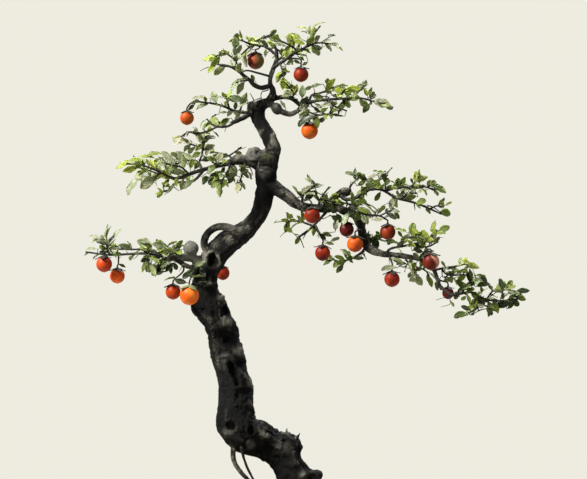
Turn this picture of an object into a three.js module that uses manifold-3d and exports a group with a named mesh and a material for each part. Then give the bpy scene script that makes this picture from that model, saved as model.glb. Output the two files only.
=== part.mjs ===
// A Diospyros armata bonsai with ripe fruit, growing in a plain clay pot.
// Millimetres, +Z up, +X to the right, and the front of the tree faces -Y.
import * as THREE from 'three';
import { mergeVertices } from 'three/addons/utils/BufferGeometryUtils.js';
import Module from 'manifold-3d';

const wasm = await Module();
wasm.setup();
const { Manifold } = wasm;

// Driving sizes of the whole tree.
const FRUIT_ACROSS = 19.2;
const FRUIT_ACROSS_IN_PHOTO = 16;
const PIXEL = FRUIT_ACROSS / FRUIT_ACROSS_IN_PHOTO;
const DEPTH_SPREAD = 1.6;
const POT_MIDDLE_COLUMN = 300;
const GROUND_ROW = 560;
const GAP = 0.3;
const UP = new THREE.Vector3(0, 0, 1);
const BACK = new THREE.Vector3(0, 1, 0);

// Pot, soil and drain screens, in millimetres. The wall's stations are [inset, height].
const POT_HALF_LENGTH = 160;
const POT_HALF_WIDTH = 108;
const POT_HEIGHT = 62;
const POT_FOOT_HEIGHT = 10;
const POT_WALL = 8;
const POT_FLOOR = 8;
const POT_SQUARENESS = 3.4;
const POT_SEGMENTS = 32;
const POT_OUTSIDE = [
  [16, POT_FOOT_HEIGHT], [9, POT_FOOT_HEIGHT + 5], [4, POT_HEIGHT - 12], [0, POT_HEIGHT - 10],
  [0, POT_HEIGHT],
];
const WALL_BOTTOM = POT_FOOT_HEIGHT + POT_FLOOR;
const WALL_FLARE = 9;
const FOOT = { length: 46, width: 26, sunk: 3, xOffset: 94, yOffset: 62 };
const SOIL_EDGE_HEIGHT = 56;
const SOIL_MOUND = 15;
const SOIL_MOUND_POWER = 1.3;
const SOIL_RINGS = [1, 0.7, 0.42];
const STUMP_RADIUS = 24;
const STUMP_BOTTOM = 30;
const STUMP_SIDES = 16;
const DRAIN_RADIUS = 8;
const DRAIN_SIDES = 12;
const DRAIN_OFFSET = 72;
const SCREEN_SIDE = 28;
const SCREEN_THICKNESS = 1.4;
const SCREEN_SLOT_WIDTH = 4;
const SCREEN_SLOT_LENGTH = 12;
const CUT_THROUGH = 2;

// Every route below was traced by eye. A point is [column, row, depth] or
// [column, row, depth, radius] in pixels of the photo. Depth grows away from the viewer and
// is spread to the fullness that such a tree has.

// Thick wood: the trunk, its limbs, its loops and its roots, all one grown piece.
// The trunk's flutes are shallow waves round it that wander from ring to ring.
const FLUTES = [
  { waves: 3, depth: 0.055, wander: 0.45 }, { waves: 5, depth: 0.04, wander: -0.7 },
];
const TRUNK_ROUTE = [
  [303, 512, 0, 31], [303, 500, 0, 26.5], [300.5, 489, 0, 22.5], [297, 478, 0, 19.5],
  [291, 466, 0, 17], [280.5, 453, 0, 16], [265.5, 442, -1, 16.5], [250.5, 434, -3, 19.5],
  [238.5, 422, -4, 20.5], [235.5, 407, -3, 18.5], [235.5, 393, -1, 16.6], [233, 378, 1, 15.3],
  [228.5, 364, 3, 15.3], [225, 350, 4, 15.6], [221.5, 334, 4, 15], [215.5, 318, 1, 15.7],
  [207.5, 301, -1, 16.4], [205.5, 287, -2, 12.6], [207, 275, -3, 11.5], [212, 262, -3, 12],
  [219.5, 250.5, -2, 12.3], [230, 241, -1, 11.8], [242, 231, 0, 11], [252, 221, 2, 10],
  [259, 210.5, 3, 9.6], [263.5, 198, 4, 9.4], [265.5, 184, 4, 9.8], [265.5, 169, 1, 10.6],
  [269.5, 157.5, -1, 9.2], [273, 148.5, -2, 7.7], [270, 139.5, -2, 7.2], [263, 127, 0, 7],
  [258.5, 117, 1, 7.1], [257.5, 110, 2, 7.6], [262.5, 104.5, 1, 5.6], [270, 100.5, 0, 4.4],
  [273.3, 92, -2, 3.4], [270.2, 84, -1, 2.7], [270.6, 76, 0, 2.4], [276, 61, 3, 2.1],
  [276.8, 53, 2, 1.7], [275, 46, 2, 1.2],
];
const RIGHT_BRANCH_ROUTE = [
  [266, 181, 3, 8], [275, 187.5, 1, 7], [284, 194, -2, 6.2], [294, 202, -2, 5.5],
  [304, 207, -1, 4.9], [314, 208.5, 1, 4.4], [328, 208.5, 3, 4.1], [337, 207.5, 2, 4],
  [345, 211.5, 0, 4.3], [352, 213.5, -1, 4.5], [358, 219, -1, 4.5], [361.5, 228, 0, 4.4],
  [363, 238, 1, 4.4], [367, 246.5, 1, 4.3], [374, 251, 0, 4], [387, 254.5, -1, 3.3],
  [404, 256, 0, 2.8], [420, 259.5, 2, 2.4], [429, 264.5, 2, 2.2], [434.5, 271, 1, 2.1],
  [437.5, 280, 0, 2], [441, 288.5, 0, 1.7],
];
const RIGHT_KNOB_ROUTE = [
  [328, 208, 3, 3.4], [332, 201, 5, 3.6], [337, 195, 6, 3.5], [343, 192, 6, 3.6],
  [349, 191, 6, 3.1],
];
const LEFT_LIMB_ROUTE = [
  [209, 260, -3, 6.5], [200, 260, -5, 4.6], [191, 258.5, -6, 3.7], [183, 257, -7, 3.5],
  [175, 257.5, -7, 3.2], [168, 260, -6, 3.1], [162.5, 265, -5, 2.9], [158, 270, -4, 2.7],
  [155, 273.5, -4, 2],
];
const LEFT_TWIN_ROUTE = [
  [199, 264, -6, 2.8], [191, 267, -9, 2.6], [183, 263.5, -9, 2.3], [175, 259, -7, 1.9],
];
const PAD_LIMB_ROUTE = [
  [262, 165, 0, 7], [252, 163, -3, 5.2], [244, 160.5, -5, 4.8], [237.5, 160, -6, 4.9],
  [230, 163, -7, 3.6], [221, 165, -7, 2.9], [211, 168, -8, 2.4],
];
const BARE_LOOP_ROUTE = [
  [236, 232, -2, 3.8], [229, 227.5, -4, 3.3], [221.5, 226.5, -5, 3.2], [214, 228.5, -6, 3.1],
  [208, 233.5, -6, 3.1], [204.8, 240, -6, 3.1], [205, 246, -5, 3.2], [210, 253, -4, 3.6],
];
const SHELF_LOOP_LOW_ROUTE = [
  [260, 107, 1, 5], [268, 104, -2, 3.6], [276, 107.5, -4, 3.4], [283, 112.5, -5, 3],
  [290.5, 114.5, -5, 2.7], [297, 111.5, -4, 2.4], [302, 107, -3, 2.1],
];
const SHELF_LOOP_TOP_ROUTE = [
  [269, 100, 0, 3], [277, 98, -1, 2.5], [285, 97.2, -2, 2.4], [292, 98.5, -2, 2.3],
  [297.5, 103, -3, 2.2], [302, 107, -3, 2.1],
];
const SHELF_LIMB_ROUTE = [
  [257, 110, 2, 4.5], [248.5, 114.5, -1, 3], [241, 119.5, -4, 2.5], [233, 123, -6, 2.1],
];
const AERIAL_ROOT_ROUTE = [
  [236, 436, -4, 4.5], [233.5, 447, -6, 3], [234, 459, -6, 2.5], [240, 470, -5, 2.3],
  [249, 480, -4, 2.3], [258, 491, -4, 2.5], [266, 502, -5, 2.8], [270, 512, -5, 3.2],
];
const THIN_ROOT_ROUTE = [
  [242, 446, -12, 2], [244, 456, -11.5, 1.4], [248, 467, -10.5, 1.3], [254, 479, -10, 1.2],
  [259, 491, -11, 1.3], [262, 502, -12, 1.5], [263, 512, -12, 1.8],
];
const WOOD_ROUTES = [
  { route: TRUNK_ROUTE, sides: 10, fluted: true },
  { route: RIGHT_BRANCH_ROUTE, sides: 6 },
  { route: RIGHT_KNOB_ROUTE, sides: 5 },
  { route: LEFT_LIMB_ROUTE, sides: 6 },
  { route: LEFT_TWIN_ROUTE, sides: 5 },
  { route: PAD_LIMB_ROUTE, sides: 6 },
  { route: BARE_LOOP_ROUTE, sides: 6 },
  { route: SHELF_LOOP_LOW_ROUTE, sides: 5 },
  { route: SHELF_LOOP_TOP_ROUTE, sides: 5 },
  { route: SHELF_LIMB_ROUTE, sides: 5 },
  { route: AERIAL_ROOT_ROUTE, sides: 5 },
  { route: THIN_ROOT_ROUTE, sides: 4 },
];

// Surface roots below the photo's edge: direction in degrees from +X, reach and radius in pixels.
const SURFACE_ROOTS = [
  { turn: 12, reach: 46, radius: 8 }, { turn: 62, reach: 38, radius: 7 },
  { turn: 118, reach: 40, radius: 7.5 }, { turn: 172, reach: 44, radius: 8.5 },
  { turn: 236, reach: 40, radius: 7.5 }, { turn: 300, reach: 42, radius: 8 },
];
const ROOT_CROWN = [303, 497, 0];
const ROOT_STATIONS = [0, 0.6, 1];
const ROOT_DROP = 16;
const ROOT_TAPER = 0.45;
const ROOT_BEND = 0.35;
const ROOT_SIDES = 5;

// Burls and knots: [column, row, depth, across x, deep y, high z] with half sizes in pixels.
// Their depths, unlike those of the routes, aren't spread.
const BURLS = [
  [255, 156, -7, 9, 7, 8.5], [267, 161, -8, 9.5, 8, 9], [238, 160, -10, 5.6, 5, 5.4],
  [191.5, 248, -11, 7.6, 7, 7.6], [277, 109, -7, 5.4, 5, 6], [253, 108, 2, 6.5, 7, 6.5],
  [313, 474, 0, 9, 11, 8], [345, 192, 9.5, 7, 4.6, 4.8], [360, 222, -1.5, 6, 5.4, 6],
  [284, 447, -2, 18.5, 13, 14.5],
];
// Splintered dead wood on the ridge of the lowest bend: [root column, row, tip column, row, radius].
const SPLINTERS = [
  [262, 434, 262.5, 421.5, 5.5], [271, 438, 271, 423, 5], [287, 440, 286.5, 426.5, 5],
  [295, 443, 301, 430.5, 5],
];
const SPLINTER_TIP = 0.9;
const SPLINTER_DEPTHS = [-2, -3];
const SPLINTER_SIDES = 5;
// Rot hollows in the front of the trunk: centre and half sizes as for the burls.
const HOLLOWS = [
  [213.5, 259, -18, 4.4, 6.4, 6.2], [223, 310.5, -16, 4.2, 6, 5.4], [232.5, 371, -12, 3.4, 6, 12],
];
const LUMP_SIDES = 7;
const LUMP_ROWS = 4;

// Fruit: [column, row, depth, width] in pixels, hanging from the stalks below.
const FRUITS = {
  crown_hidden: [255.5, 60, 7, 17], crown_right: [301, 75, -5, 15], shelf_left: [187, 118, 0, 14],
  shelf_right: [309.5, 131, -6, 17], far_left: [105, 264, -7, 16], far_left_low: [117, 276, 3, 15],
  low_left: [174, 291.5, -12, 15], low_front: [191, 294.5, -25, 19],
  behind_trunk: [222, 273.5, 17, 14], fork: [312, 215.5, -13, 16], hanging: [322.5, 253, -9, 15.5],
  dark_middle: [346.5, 229.5, -5, 14.5], front_middle: [354.5, 244, -14, 16],
  middle_right: [387.5, 232, -4, 15.5], low_right: [391.5, 279, -7, 15.5],
  right_front: [430, 261.5, -12, 17], far_right: [449, 293.5, 10, 12],
};

// Leafy sprays. Each shoot has a route, its first and last radius, and how its leaves stand:
// how many, from which part of the route on, how long in millimetres and of which tone.
// A shoot with a fruit is that fruit's stalk and ends in its calyx.
const SPRAYS = {
  crown_left: [
    { route: [[270.5, 85, -1], [261, 87.5, -4], [254, 84.5, -7], [248, 79, -8], [239.5, 73, -9],
      [228, 66.5, -7], [217, 65, -5]], radii: [2, 0.9], leaves: 6, from: 0.3, size: 16,
      tone: 'grey' },
    { route: [[239.5, 73, -9], [236.5, 62, -11], [235, 52, -11], [236, 45, -10]],
      radii: [1.2, 0.8], leaves: 4, from: 0.4, size: 15, tone: 'old' },
    { route: [[236.5, 62, -11], [226, 55, -12], [216, 58, -14]], radii: [1, 0.8], leaves: 4,
      from: 0.35, size: 16, tone: 'new' },
    { route: [[250, 81, -7.5], [244, 82, -12], [237, 84, -15]], radii: [1, 0.8], leaves: 3,
      from: 0.4, size: 19, tone: 'grey' },
  ],
  crown_top: [
    { route: [[276.5, 55, 2], [266, 46.5, 5], [257, 44.5, 7], [249, 43, 6], [241, 39.5, 4]],
      radii: [1.5, 0.8], leaves: 6, from: 0.25, size: 17, tone: 'old' },
    { route: [[260, 45.2, 6.3], [259, 39.5, 9], [272, 33.5, 12]], radii: [1.1, 0.8], leaves: 4,
      from: 0.25, size: 15, tone: 'old' },
    { route: [[252, 43.7, 6.4], [247, 49, 2], [241, 55, -1]], radii: [1, 0.8], leaves: 3,
      from: 0.35, size: 16, tone: 'grey' },
    { route: [[260.5, 45.3, 6.4], [258, 48, 7]], radii: [0.9, 0.8], fruit: 'crown_hidden' },
  ],
  crown_right: [
    { route: [[272.8, 68, 1], [279, 64, -2], [286, 60, -4], [298, 51.5, -5], [305, 48, -4],
      [310, 41, -3], [312, 33, -1]], radii: [2, 0.8], leaves: 7, from: 0.3, size: 15,
      tone: 'old' },
    { route: [[298, 51.5, -5], [289, 46, -9], [280, 42, -12]], radii: [1.1, 0.8], leaves: 4,
      from: 0.2, size: 16, tone: 'new' },
    { route: [[305, 48, -4], [317, 43, 0], [331, 43.5, 3]], radii: [1.1, 0.8], leaves: 5,
      from: 0.25, size: 15, tone: 'old' },
    { route: [[311, 38, -2], [320, 27, -7]], radii: [0.9, 0.8], leaves: 2, from: 0.5, size: 13,
      tone: 'new' },
    { route: [[280, 63.5, -2.4], [282, 70, -6], [284, 77, -8]], radii: [1, 0.8], leaves: 3,
      from: 0.35, size: 15, tone: 'new' },
    { route: [[288, 58.6, -4.2], [300, 60, -6]], radii: [1, 0.8], fruit: 'crown_right' },
  ],
  crown_back: [
    { route: [[275.5, 62, 3], [284, 55, 11], [296, 52, 17], [306, 53, 19]], radii: [1.4, 0.8],
      leaves: 5, from: 0.25, size: 16, tone: 'mid' },
    { route: [[284, 55, 11], [278, 48, 16], [272, 45, 18]], radii: [1, 0.8], leaves: 3,
      from: 0.35, size: 16, tone: 'old' },
  ],
  shelf_right: [
    { route: [[302, 107, -3], [309, 103, -4], [318, 101, -5], [328, 100, -5], [345, 99, -4],
      [362, 98.5, -1], [377, 102.5, 2], [393, 107, 3]], radii: [2, 0.7], leaves: 8,
      from: 0.15, size: 15, tone: 'old' },
    { route: [[309, 103, -4], [312, 95, 0], [322, 92, 5], [334, 86, 9]], radii: [1.2, 0.8],
      leaves: 4, from: 0.25, size: 15, tone: 'grey' },
    { route: [[328, 100, -5], [334, 107, -11], [346, 112, -15]], radii: [1.1, 0.8],
      leaves: 5, from: 0.25, size: 15, tone: 'old' },
    { route: [[338, 99.4, -4.4], [345, 90, -11]], radii: [1, 0.8], leaves: 3, from: 0.4,
      size: 18, tone: 'new' },
    { route: [[353, 98.8, -2.6], [358, 92, 1], [364, 87.5, 3]], radii: [1, 0.8], leaves: 3,
      from: 0.4, size: 14, tone: 'mid' },
    { route: [[305, 105.3, -3.4], [308, 112, -8], [318, 116, -12], [330, 115, -16]],
      radii: [1.1, 0.8], leaves: 4, from: 0.25, size: 15, tone: 'old' },
    { route: [[306, 104.7, -3.6], [307, 111, -5], [309, 116, -6]], radii: [1, 0.8],
      fruit: 'shelf_right' },
  ],
  shelf_tuft: [
    { route: [[292, 98.5, -2], [293.5, 93, -4], [287, 85, -7]], radii: [1.1, 0.8], leaves: 4,
      from: 0.35, size: 15, tone: 'new' },
  ],
  shelf_left_low: [
    { route: [[235, 122.3, -5.5], [227, 127, -7], [215, 126.5, -7], [207, 119.5, -5]],
      radii: [1.6, 0.8], leaves: 4, from: 0.3, size: 14, tone: 'mid' },
    { route: [[219, 126.7, -7], [203, 133.5, -11], [190, 133, -13], [182, 137.5, -13]],
      radii: [1.2, 0.8], leaves: 5, from: 0.2, size: 14, tone: 'new' },
  ],
  shelf_left_top: [
    { route: [[254, 109, 3], [245, 112, 6], [236, 111, 8], [223, 105.5, 9], [213, 103, 7],
      [199, 101.5, 3]], radii: [1.8, 0.9], leaves: 6, from: 0.25, size: 15, tone: 'grey' },
    { route: [[229, 108, 8.6], [226, 96, 4]], radii: [1, 0.8], leaves: 3, from: 0.4,
      size: 15, tone: 'new' },
    { route: [[239, 111.3, 7.4], [241, 105, 12], [239, 99, 14]], radii: [1, 0.8], leaves: 3,
      from: 0.35, size: 18, tone: 'grey' },
    { route: [[200, 101.6, 3.2], [195, 101, 1], [190, 104, 0]], radii: [1, 0.8],
      fruit: 'shelf_left' },
  ],
  pad_left: [
    { route: [[212, 167.7, -8], [196, 172.5, -11], [180, 178.5, -14], [172, 178, -15],
      [160, 172, -18], [146, 167, -20], [129, 164.5, -21]], radii: [2.2, 0.8], leaves: 10,
      from: 0.3, size: 17, tone: 'new' },
    { route: [[162, 173, -17.5], [156, 178, -16], [144, 184, -14]], radii: [1.1, 0.8],
      leaves: 4, from: 0.3, size: 19, tone: 'grey' },
    { route: [[205, 169.8, -9.3], [193, 181, 0], [176, 182.5, 5], [170, 189, 7],
      [162, 191, 8]], radii: [1.6, 0.8], leaves: 6, from: 0.3, size: 15, tone: 'old' },
    { route: [[180, 182.3, 3.8], [168, 177, 10], [142, 168, 16]], radii: [1.1, 0.8], leaves: 5,
      from: 0.25, size: 16, tone: 'new' },
    { route: [[203, 170.4, -9.7], [198, 162, -3], [185, 160, 5], [177, 163, 9],
      [161, 162, 14]], radii: [1.3, 0.8], leaves: 7, from: 0.2, size: 16, tone: 'grey' },
    { route: [[199, 163.7, -4.4], [202, 156, -8], [205.5, 140, -9], [207, 133, -8]],
      radii: [1.1, 0.8], leaves: 5, from: 0.25, size: 15, tone: 'grey' },
    { route: [[203.5, 149, -8.5], [186, 142.5, -3]], radii: [0.9, 0.8], leaves: 3, from: 0.4,
      size: 16, tone: 'grey' },
    { route: [[190, 174.8, -12.1], [182, 168, -19], [168, 165, -24]], radii: [1, 0.8],
      leaves: 4, from: 0.3, size: 16, tone: 'grey' },
  ],
  pad_under_left: [
    { route: [[230, 163, -7], [229, 170, -12], [221, 184, -16]], radii: [1.2, 0.8], leaves: 5,
      from: 0.3, size: 16, tone: 'old' },
    { route: [[225.6, 176, -13.7], [211, 177, -10]], radii: [0.9, 0.8], leaves: 3, from: 0.3,
      size: 15, tone: 'old' },
  ],
  pad_under_right: [
    { route: [[245, 161, -5], [244, 169, -11], [240, 184, -15]], radii: [1.2, 0.8], leaves: 5,
      from: 0.3, size: 16, tone: 'grey' },
  ],
  pad_top: [
    { route: [[233, 161.5, -6.5], [229, 156, -3], [215, 152, 5]], radii: [1.1, 0.8], leaves: 5,
      from: 0.3, size: 15, tone: 'grey' },
    { route: [[229, 156, -3], [236, 151, 2], [241, 147, 5]], radii: [0.9, 0.8], leaves: 2,
      from: 0.5, size: 14, tone: 'mid' },
  ],
  pad_front: [
    { route: [[224, 164.3, -6.7], [221, 166, -13], [213, 163, -17]], radii: [1.1, 0.8],
      leaves: 4, from: 0.3, size: 17, tone: 'grey' },
  ],
  fork_left: [
    { route: [[303, 206.5, -1], [303, 196, -6], [314, 185, -7], [309, 178, -6]],
      radii: [1.3, 0.8], leaves: 5, from: 0.2, size: 18, tone: 'grey' },
    { route: [[303, 200, -4.1], [309, 200, -11]], radii: [0.9, 0.8], fruit: 'fork' },
  ],
  fork_right: [
    { route: [[319, 208.5, 2.5], [320, 200, 0], [329, 187, -3]], radii: [1.2, 0.8], leaves: 5,
      from: 0.25, size: 16, tone: 'grey' },
    { route: [[320, 200, 0], [333, 201, -9]], radii: [0.9, 0.8], leaves: 3, from: 0.35,
      size: 16, tone: 'old' },
  ],
  right_top: [
    { route: [[340, 193, 6], [345, 199, 3], [355, 198, 1], [369, 190, -1], [382, 190, -2],
      [396, 198, -4], [415, 203, -3], [430, 209, -1], [441, 214, 0]], radii: [2.2, 0.8],
      leaves: 8, from: 0.2, size: 15, tone: 'old' },
    { route: [[384, 191.1, -2.3], [402, 187, -7], [420, 186.5, -8], [436, 190, -6]],
      radii: [1.3, 0.8], leaves: 7, from: 0.15, size: 15, tone: 'mid' },
    { route: [[411, 186.7, -7.5], [418, 177, -11]], radii: [0.9, 0.8], leaves: 3,
      from: 0.5, size: 18, tone: 'new' },
    { route: [[373, 190, -1.3], [377, 182, 4], [388, 175, 8]], radii: [1.1, 0.8], leaves: 4,
      from: 0.25, size: 15, tone: 'old' },
    { route: [[430, 209, -1], [436, 206, -4], [443, 207, -6]], radii: [0.9, 0.8], leaves: 2,
      from: 0.6, size: 12, tone: 'mid' },
    { route: [[402, 199.6, -3.8], [408, 194, 1], [417, 193, 4]], radii: [1, 0.8], leaves: 3,
      from: 0.4, size: 14, tone: 'mid' },
  ],
  right_knob_tip: [
    { route: [[349, 191, 6], [352, 184, 5], [363, 175, 3]], radii: [1.2, 0.8], leaves: 4,
      from: 0.35, size: 15, tone: 'mid' },
  ],
  right_middle: [
    { route: [[345, 211.5, 0], [352, 207, -7], [365, 214, -9], [379, 216, -8], [385, 219, -6]],
      radii: [1.4, 0.9], leaves: 5, from: 0.25, size: 16, tone: 'old' },
    { route: [[379, 216, -8], [394, 209, -11]], radii: [0.9, 0.8], leaves: 3, from: 0.4,
      size: 15, tone: 'mid' },
    { route: [[383, 218, -6.7], [387, 220, -5]], radii: [0.9, 0.8], fruit: 'middle_right' },
  ],
  right_core: [
    { route: [[354, 215, -1], [353, 208, 7], [361, 202, 13], [371, 205, 15]],
      radii: [1.3, 0.8], leaves: 5, from: 0.3, size: 18, tone: 'old' },
    { route: [[354.5, 206.9, 8.1], [348, 203, 13], [338, 204, 15]], radii: [1, 0.8], leaves: 3,
      from: 0.35, size: 16, tone: 'old' },
  ],
  right_dark_fruit: [
    { route: [[350, 213, -1], [345, 216, -6], [346, 218, -5.5]], radii: [1, 0.8],
      fruit: 'dark_middle' },
  ],
  right_front_fruit: [
    { route: [[362, 229, 0], [359, 230, -9], [355, 231.5, -14]], radii: [1, 0.8],
      fruit: 'front_middle' },
  ],
  right_down: [
    { route: [[329, 209, 3], [318, 221, 0], [306, 232.5, 0], [299, 237, 1]],
      radii: [1.6, 0.8], leaves: 4, from: 0.5, size: 13, tone: 'old' },
    { route: [[313, 225.8, 0], [298, 221, 3], [286, 222, 2]], radii: [1.1, 0.8], leaves: 6,
      from: 0.35, size: 15, tone: 'new' },
    { route: [[315, 223.9, 0], [321, 236, -6], [323, 241, -8]], radii: [1, 0.8], leaves: 1,
      from: 0.6, size: 14, tone: 'old', fruit: 'hanging' },
  ],
  right_under: [
    { route: [[366, 246, 1], [361, 253, 4], [348, 260, 5], [335, 261, 4]], radii: [1.4, 0.8],
      leaves: 6, from: 0.25, size: 16, tone: 'mid' },
  ],
  right_inner: [
    { route: [[363.5, 240, 1], [374, 238, 8], [385, 241, 11]], radii: [1.2, 0.8], leaves: 5,
      from: 0.25, size: 15, tone: 'old' },
  ],
  right_low_top: [
    { route: [[385, 254.3, -1], [391, 248.5, -3], [406, 245.5, -5], [423, 241, -6],
      [439, 231, -5]], radii: [1.5, 0.8], leaves: 8, from: 0.3, size: 16, tone: 'new' },
    { route: [[400, 246.7, -4.2], [405, 238.5, -10], [416, 236.5, -14]], radii: [1, 0.8],
      leaves: 4, from: 0.35, size: 15, tone: 'new' },
    { route: [[414, 243.4, -5.5], [426, 247, -1], [438, 242, 2]], radii: [1, 0.8], leaves: 4,
      from: 0.25, size: 15, tone: 'mid' },
  ],
  right_low_fruit: [
    { route: [[388, 254.5, -1], [391, 261, -5], [392, 265, -7]], radii: [1.1, 0.8], leaves: 2,
      from: 0.4, size: 15, tone: 'grey', fruit: 'low_right' },
  ],
  right_low_under: [
    { route: [[404, 256, 0], [411, 268, 4], [413, 275, 4]], radii: [1.2, 0.8], leaves: 6,
      from: 0.3, size: 15, tone: 'grey' },
    { route: [[409, 264.6, 2.9], [425, 270, 9], [430, 276, 9]], radii: [1, 0.8], leaves: 4,
      from: 0.3, size: 15, tone: 'old' },
  ],
  right_front_stalk: [
    { route: [[419, 259, 2], [423, 253, -5], [428, 249, -11]], radii: [1.1, 0.8], leaves: 1,
      from: 0.5, size: 13, tone: 'old', fruit: 'right_front' },
  ],
  right_end: [
    { route: [[440, 286, 0], [446, 291.5, -2], [453, 295, -4], [470, 292, -5], [486, 299.5, -3],
      [505, 300.5, -1], [516, 296, 0]], radii: [1.7, 0.8], leaves: 9, from: 0.25, size: 16,
      tone: 'old' },
    { route: [[461, 293.6, -4.5], [468, 282, -11], [480, 277, -14]], radii: [1.1, 0.8],
      leaves: 5, from: 0.3, size: 16, tone: 'grey' },
    { route: [[477, 295.3, -4.1], [479, 304, -7], [468, 313, -10]], radii: [1, 0.8], leaves: 4,
      from: 0.35, size: 15, tone: 'old' },
    { route: [[478.7, 303.5, -6.9], [492, 308, -3]], radii: [0.9, 0.8], leaves: 3, from: 0.4,
      size: 14, tone: 'old' },
    { route: [[486, 299.5, -3], [492, 292, 1], [500, 287, 4]], radii: [1, 0.8], leaves: 4,
      from: 0.3, size: 15, tone: 'mid' },
  ],
  right_end_top: [
    { route: [[434, 270.5, 1], [441, 268.5, -3], [453, 266.5, -8], [464, 264, -9]],
      radii: [1.3, 0.8], leaves: 5, from: 0.35, size: 16, tone: 'new' },
    { route: [[441, 268.5, -3], [447, 274.5, -8], [463, 274.5, -12]], radii: [1, 0.8],
      leaves: 5, from: 0.35, size: 15, tone: 'old' },
  ],
  right_end_fruit: [
    { route: [[437.3, 279, 0], [442, 281, 6], [448, 282.5, 10]], radii: [1, 0.8], leaves: 1,
      from: 0.5, size: 13, tone: 'old', fruit: 'far_right' },
  ],
  low_left: [
    { route: [[169, 259.5, -6], [161, 256, -8], [146, 253.5, -9], [129, 254, -6],
      [110, 255, -3], [86, 252, 0]], radii: [1.8, 0.8], leaves: 6, from: 0.25, size: 14,
      tone: 'old' },
    { route: [[155, 254.8, -8.4], [148, 249.5, -4], [130, 249.5, 1], [113, 249, 3]],
      radii: [1.1, 0.8], leaves: 5, from: 0.2, size: 15, tone: 'grey' },
    { route: [[110, 255, -3], [108, 248, -7], [107, 240, -9]], radii: [1, 0.8], leaves: 5,
      from: 0.35, size: 16, tone: 'mid' },
    { route: [[147, 253.5, -8.9], [149, 259, -14], [150, 264, -16]], radii: [1, 0.8],
      leaves: 4, from: 0.35, size: 16, tone: 'old' },
    { route: [[160, 255.8, -8.1], [163, 250, -12], [168, 246, -14]], radii: [1, 0.8],
      leaves: 4, from: 0.35, size: 15, tone: 'new' },
    { route: [[112, 254.9, -3.4], [107, 251, -8], [105, 252.5, -7.5]], radii: [0.9, 0.8],
      fruit: 'far_left' },
    { route: [[119, 254.6, -4.4], [118, 264, 3]], radii: [0.9, 0.8], fruit: 'far_left_low' },
  ],
  low_front: [
    { route: [[193, 266.3, -8.5], [195, 268, -15], [192, 278, -25]], radii: [1.1, 0.8],
      leaves: 2, from: 0.2, size: 18, tone: 'old', fruit: 'low_front' },
  ],
  low_stalk: [
    { route: [[184, 263.7, -9], [184, 271, -12], [176, 278.5, -12.5]], radii: [1.1, 0.8],
      leaves: 2, from: 0.2, size: 15, tone: 'old', fruit: 'low_left' },
  ],
  low_top: [
    { route: [[178, 257.3, -7], [176, 250, -10], [182, 246, -13]], radii: [1, 0.8], leaves: 4,
      from: 0.35, size: 16, tone: 'old' },
  ],
  low_back: [
    { route: [[186, 257.8, -6.5], [180, 254, 3], [168, 253, 8], [156, 258, 10]],
      radii: [1.2, 0.8], leaves: 5, from: 0.3, size: 16, tone: 'old' },
  ],
  behind_trunk: [
    { route: [[214, 259, -2], [221, 257, 12], [222, 260, 17]], radii: [1.1, 0.8], leaves: 1,
      from: 0.6, size: 14, tone: 'old', fruit: 'behind_trunk' },
  ],
};

// Shape of a leaf, in fractions of its length; its probes are tested against what is near.
const LEAF_THICKNESS = 0.7;
const LEAF_HALF_WIDTH = 0.31;
const LEAF_WIDEST = 0.56;
const LEAF_DROOP = 0.14;
const LEAF_PROBES = [[0.3, 0], [0.56, 0], [0.8, 0], [1, 0], [0.3, 0.5], [0.56, 1],
  [0.3, -0.5], [0.56, -1], [0.8, 0.5], [0.8, -0.5]];
const TWIG_SIDES = 3;

// How a leaf stands: how far it leans along its twig, which way it faces and its spread of
// sizes. A leaf that isn't clear is tried again, at last smaller.
const LEAF_TRIES = 9;
const SMALLER_AFTER = 5;
const SMALLER_LEAF = 0.8;
const LAST_LEAF = 0.97;
const LEAST_LEAN = 0.35;
const LEAN_SPREAD = 0.75;
const TIP_LEAN = 1.8;
const LEAF_LIFT = 0.15;
const FRONT_SHARE = 0.72;
const FACE_FRONT = -0.62;
const FACE_BACK = 0.5;
const FACE_SWING = 0.9;
const FACE_UP = 0.35;
const FACE_UP_SPREAD = 0.5;
const LEAST_SIZE = 0.96;
const SIZE_SPREAD = 0.32;

// Clear room that a leaf's probes keep, in millimetres.
const CLEAR_OF_WOOD = 1.6;
const CLEAR_OF_FRUIT = 1.2;
const CLEAR_OF_TWIG = 2.2;
const CLEAR_OF_LEAF = 3.2;
const CLEAR_OF_OWN_LEAF = 2.4;
const CLEAR_OF_OWN_TWIG = 0.3;
const LEAVES_NEAR = 60;

// Fruit: sides, rows and how far the tip at the bottom is drawn out.
const FRUIT_SIDES = 8;
const FRUIT_ROWS = 6;
const FRUIT_TIP = 1.05;

// Calyx: four dry lobes, as fractions of the fruit's radius, turned at random.
const CALYX_POINTS = 8;
const CALYX_TURN = 1.5;
const CALYX_REACH = 0.8;
const CALYX_NOTCH = 0.3;
const CALYX_DROP = 0.1;
const CALYX_THICKNESS = 0.8;
const STALK_DROP = 3.2;

const FRUIT_COLOURS = { orange: 0xe2691f, red: 0xc23a16, dark: 0x8c1c10 };
const FRUIT_TONES = {
  crown_hidden: 'dark', behind_trunk: 'red', dark_middle: 'dark', far_right: 'dark', fork: 'red',
  right_front: 'red', crown_right: 'red', middle_right: 'red',
};
const LEAF_COLOURS = { old: 0x33502a, mid: 0x54763a, new: 0x86a032, grey: 0x8b9c7c };
const BARK_COLOUR = 0x46403a;
const CLAY_COLOUR = 0x5d4338;
const SOIL_COLOUR = 0x4c4234;
const SCREEN_COLOUR = 0x26302a;

const finish = (color, roughness) =>
  new THREE.MeshStandardMaterial({ color, roughness, metalness: 0, flatShading: true });

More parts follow.
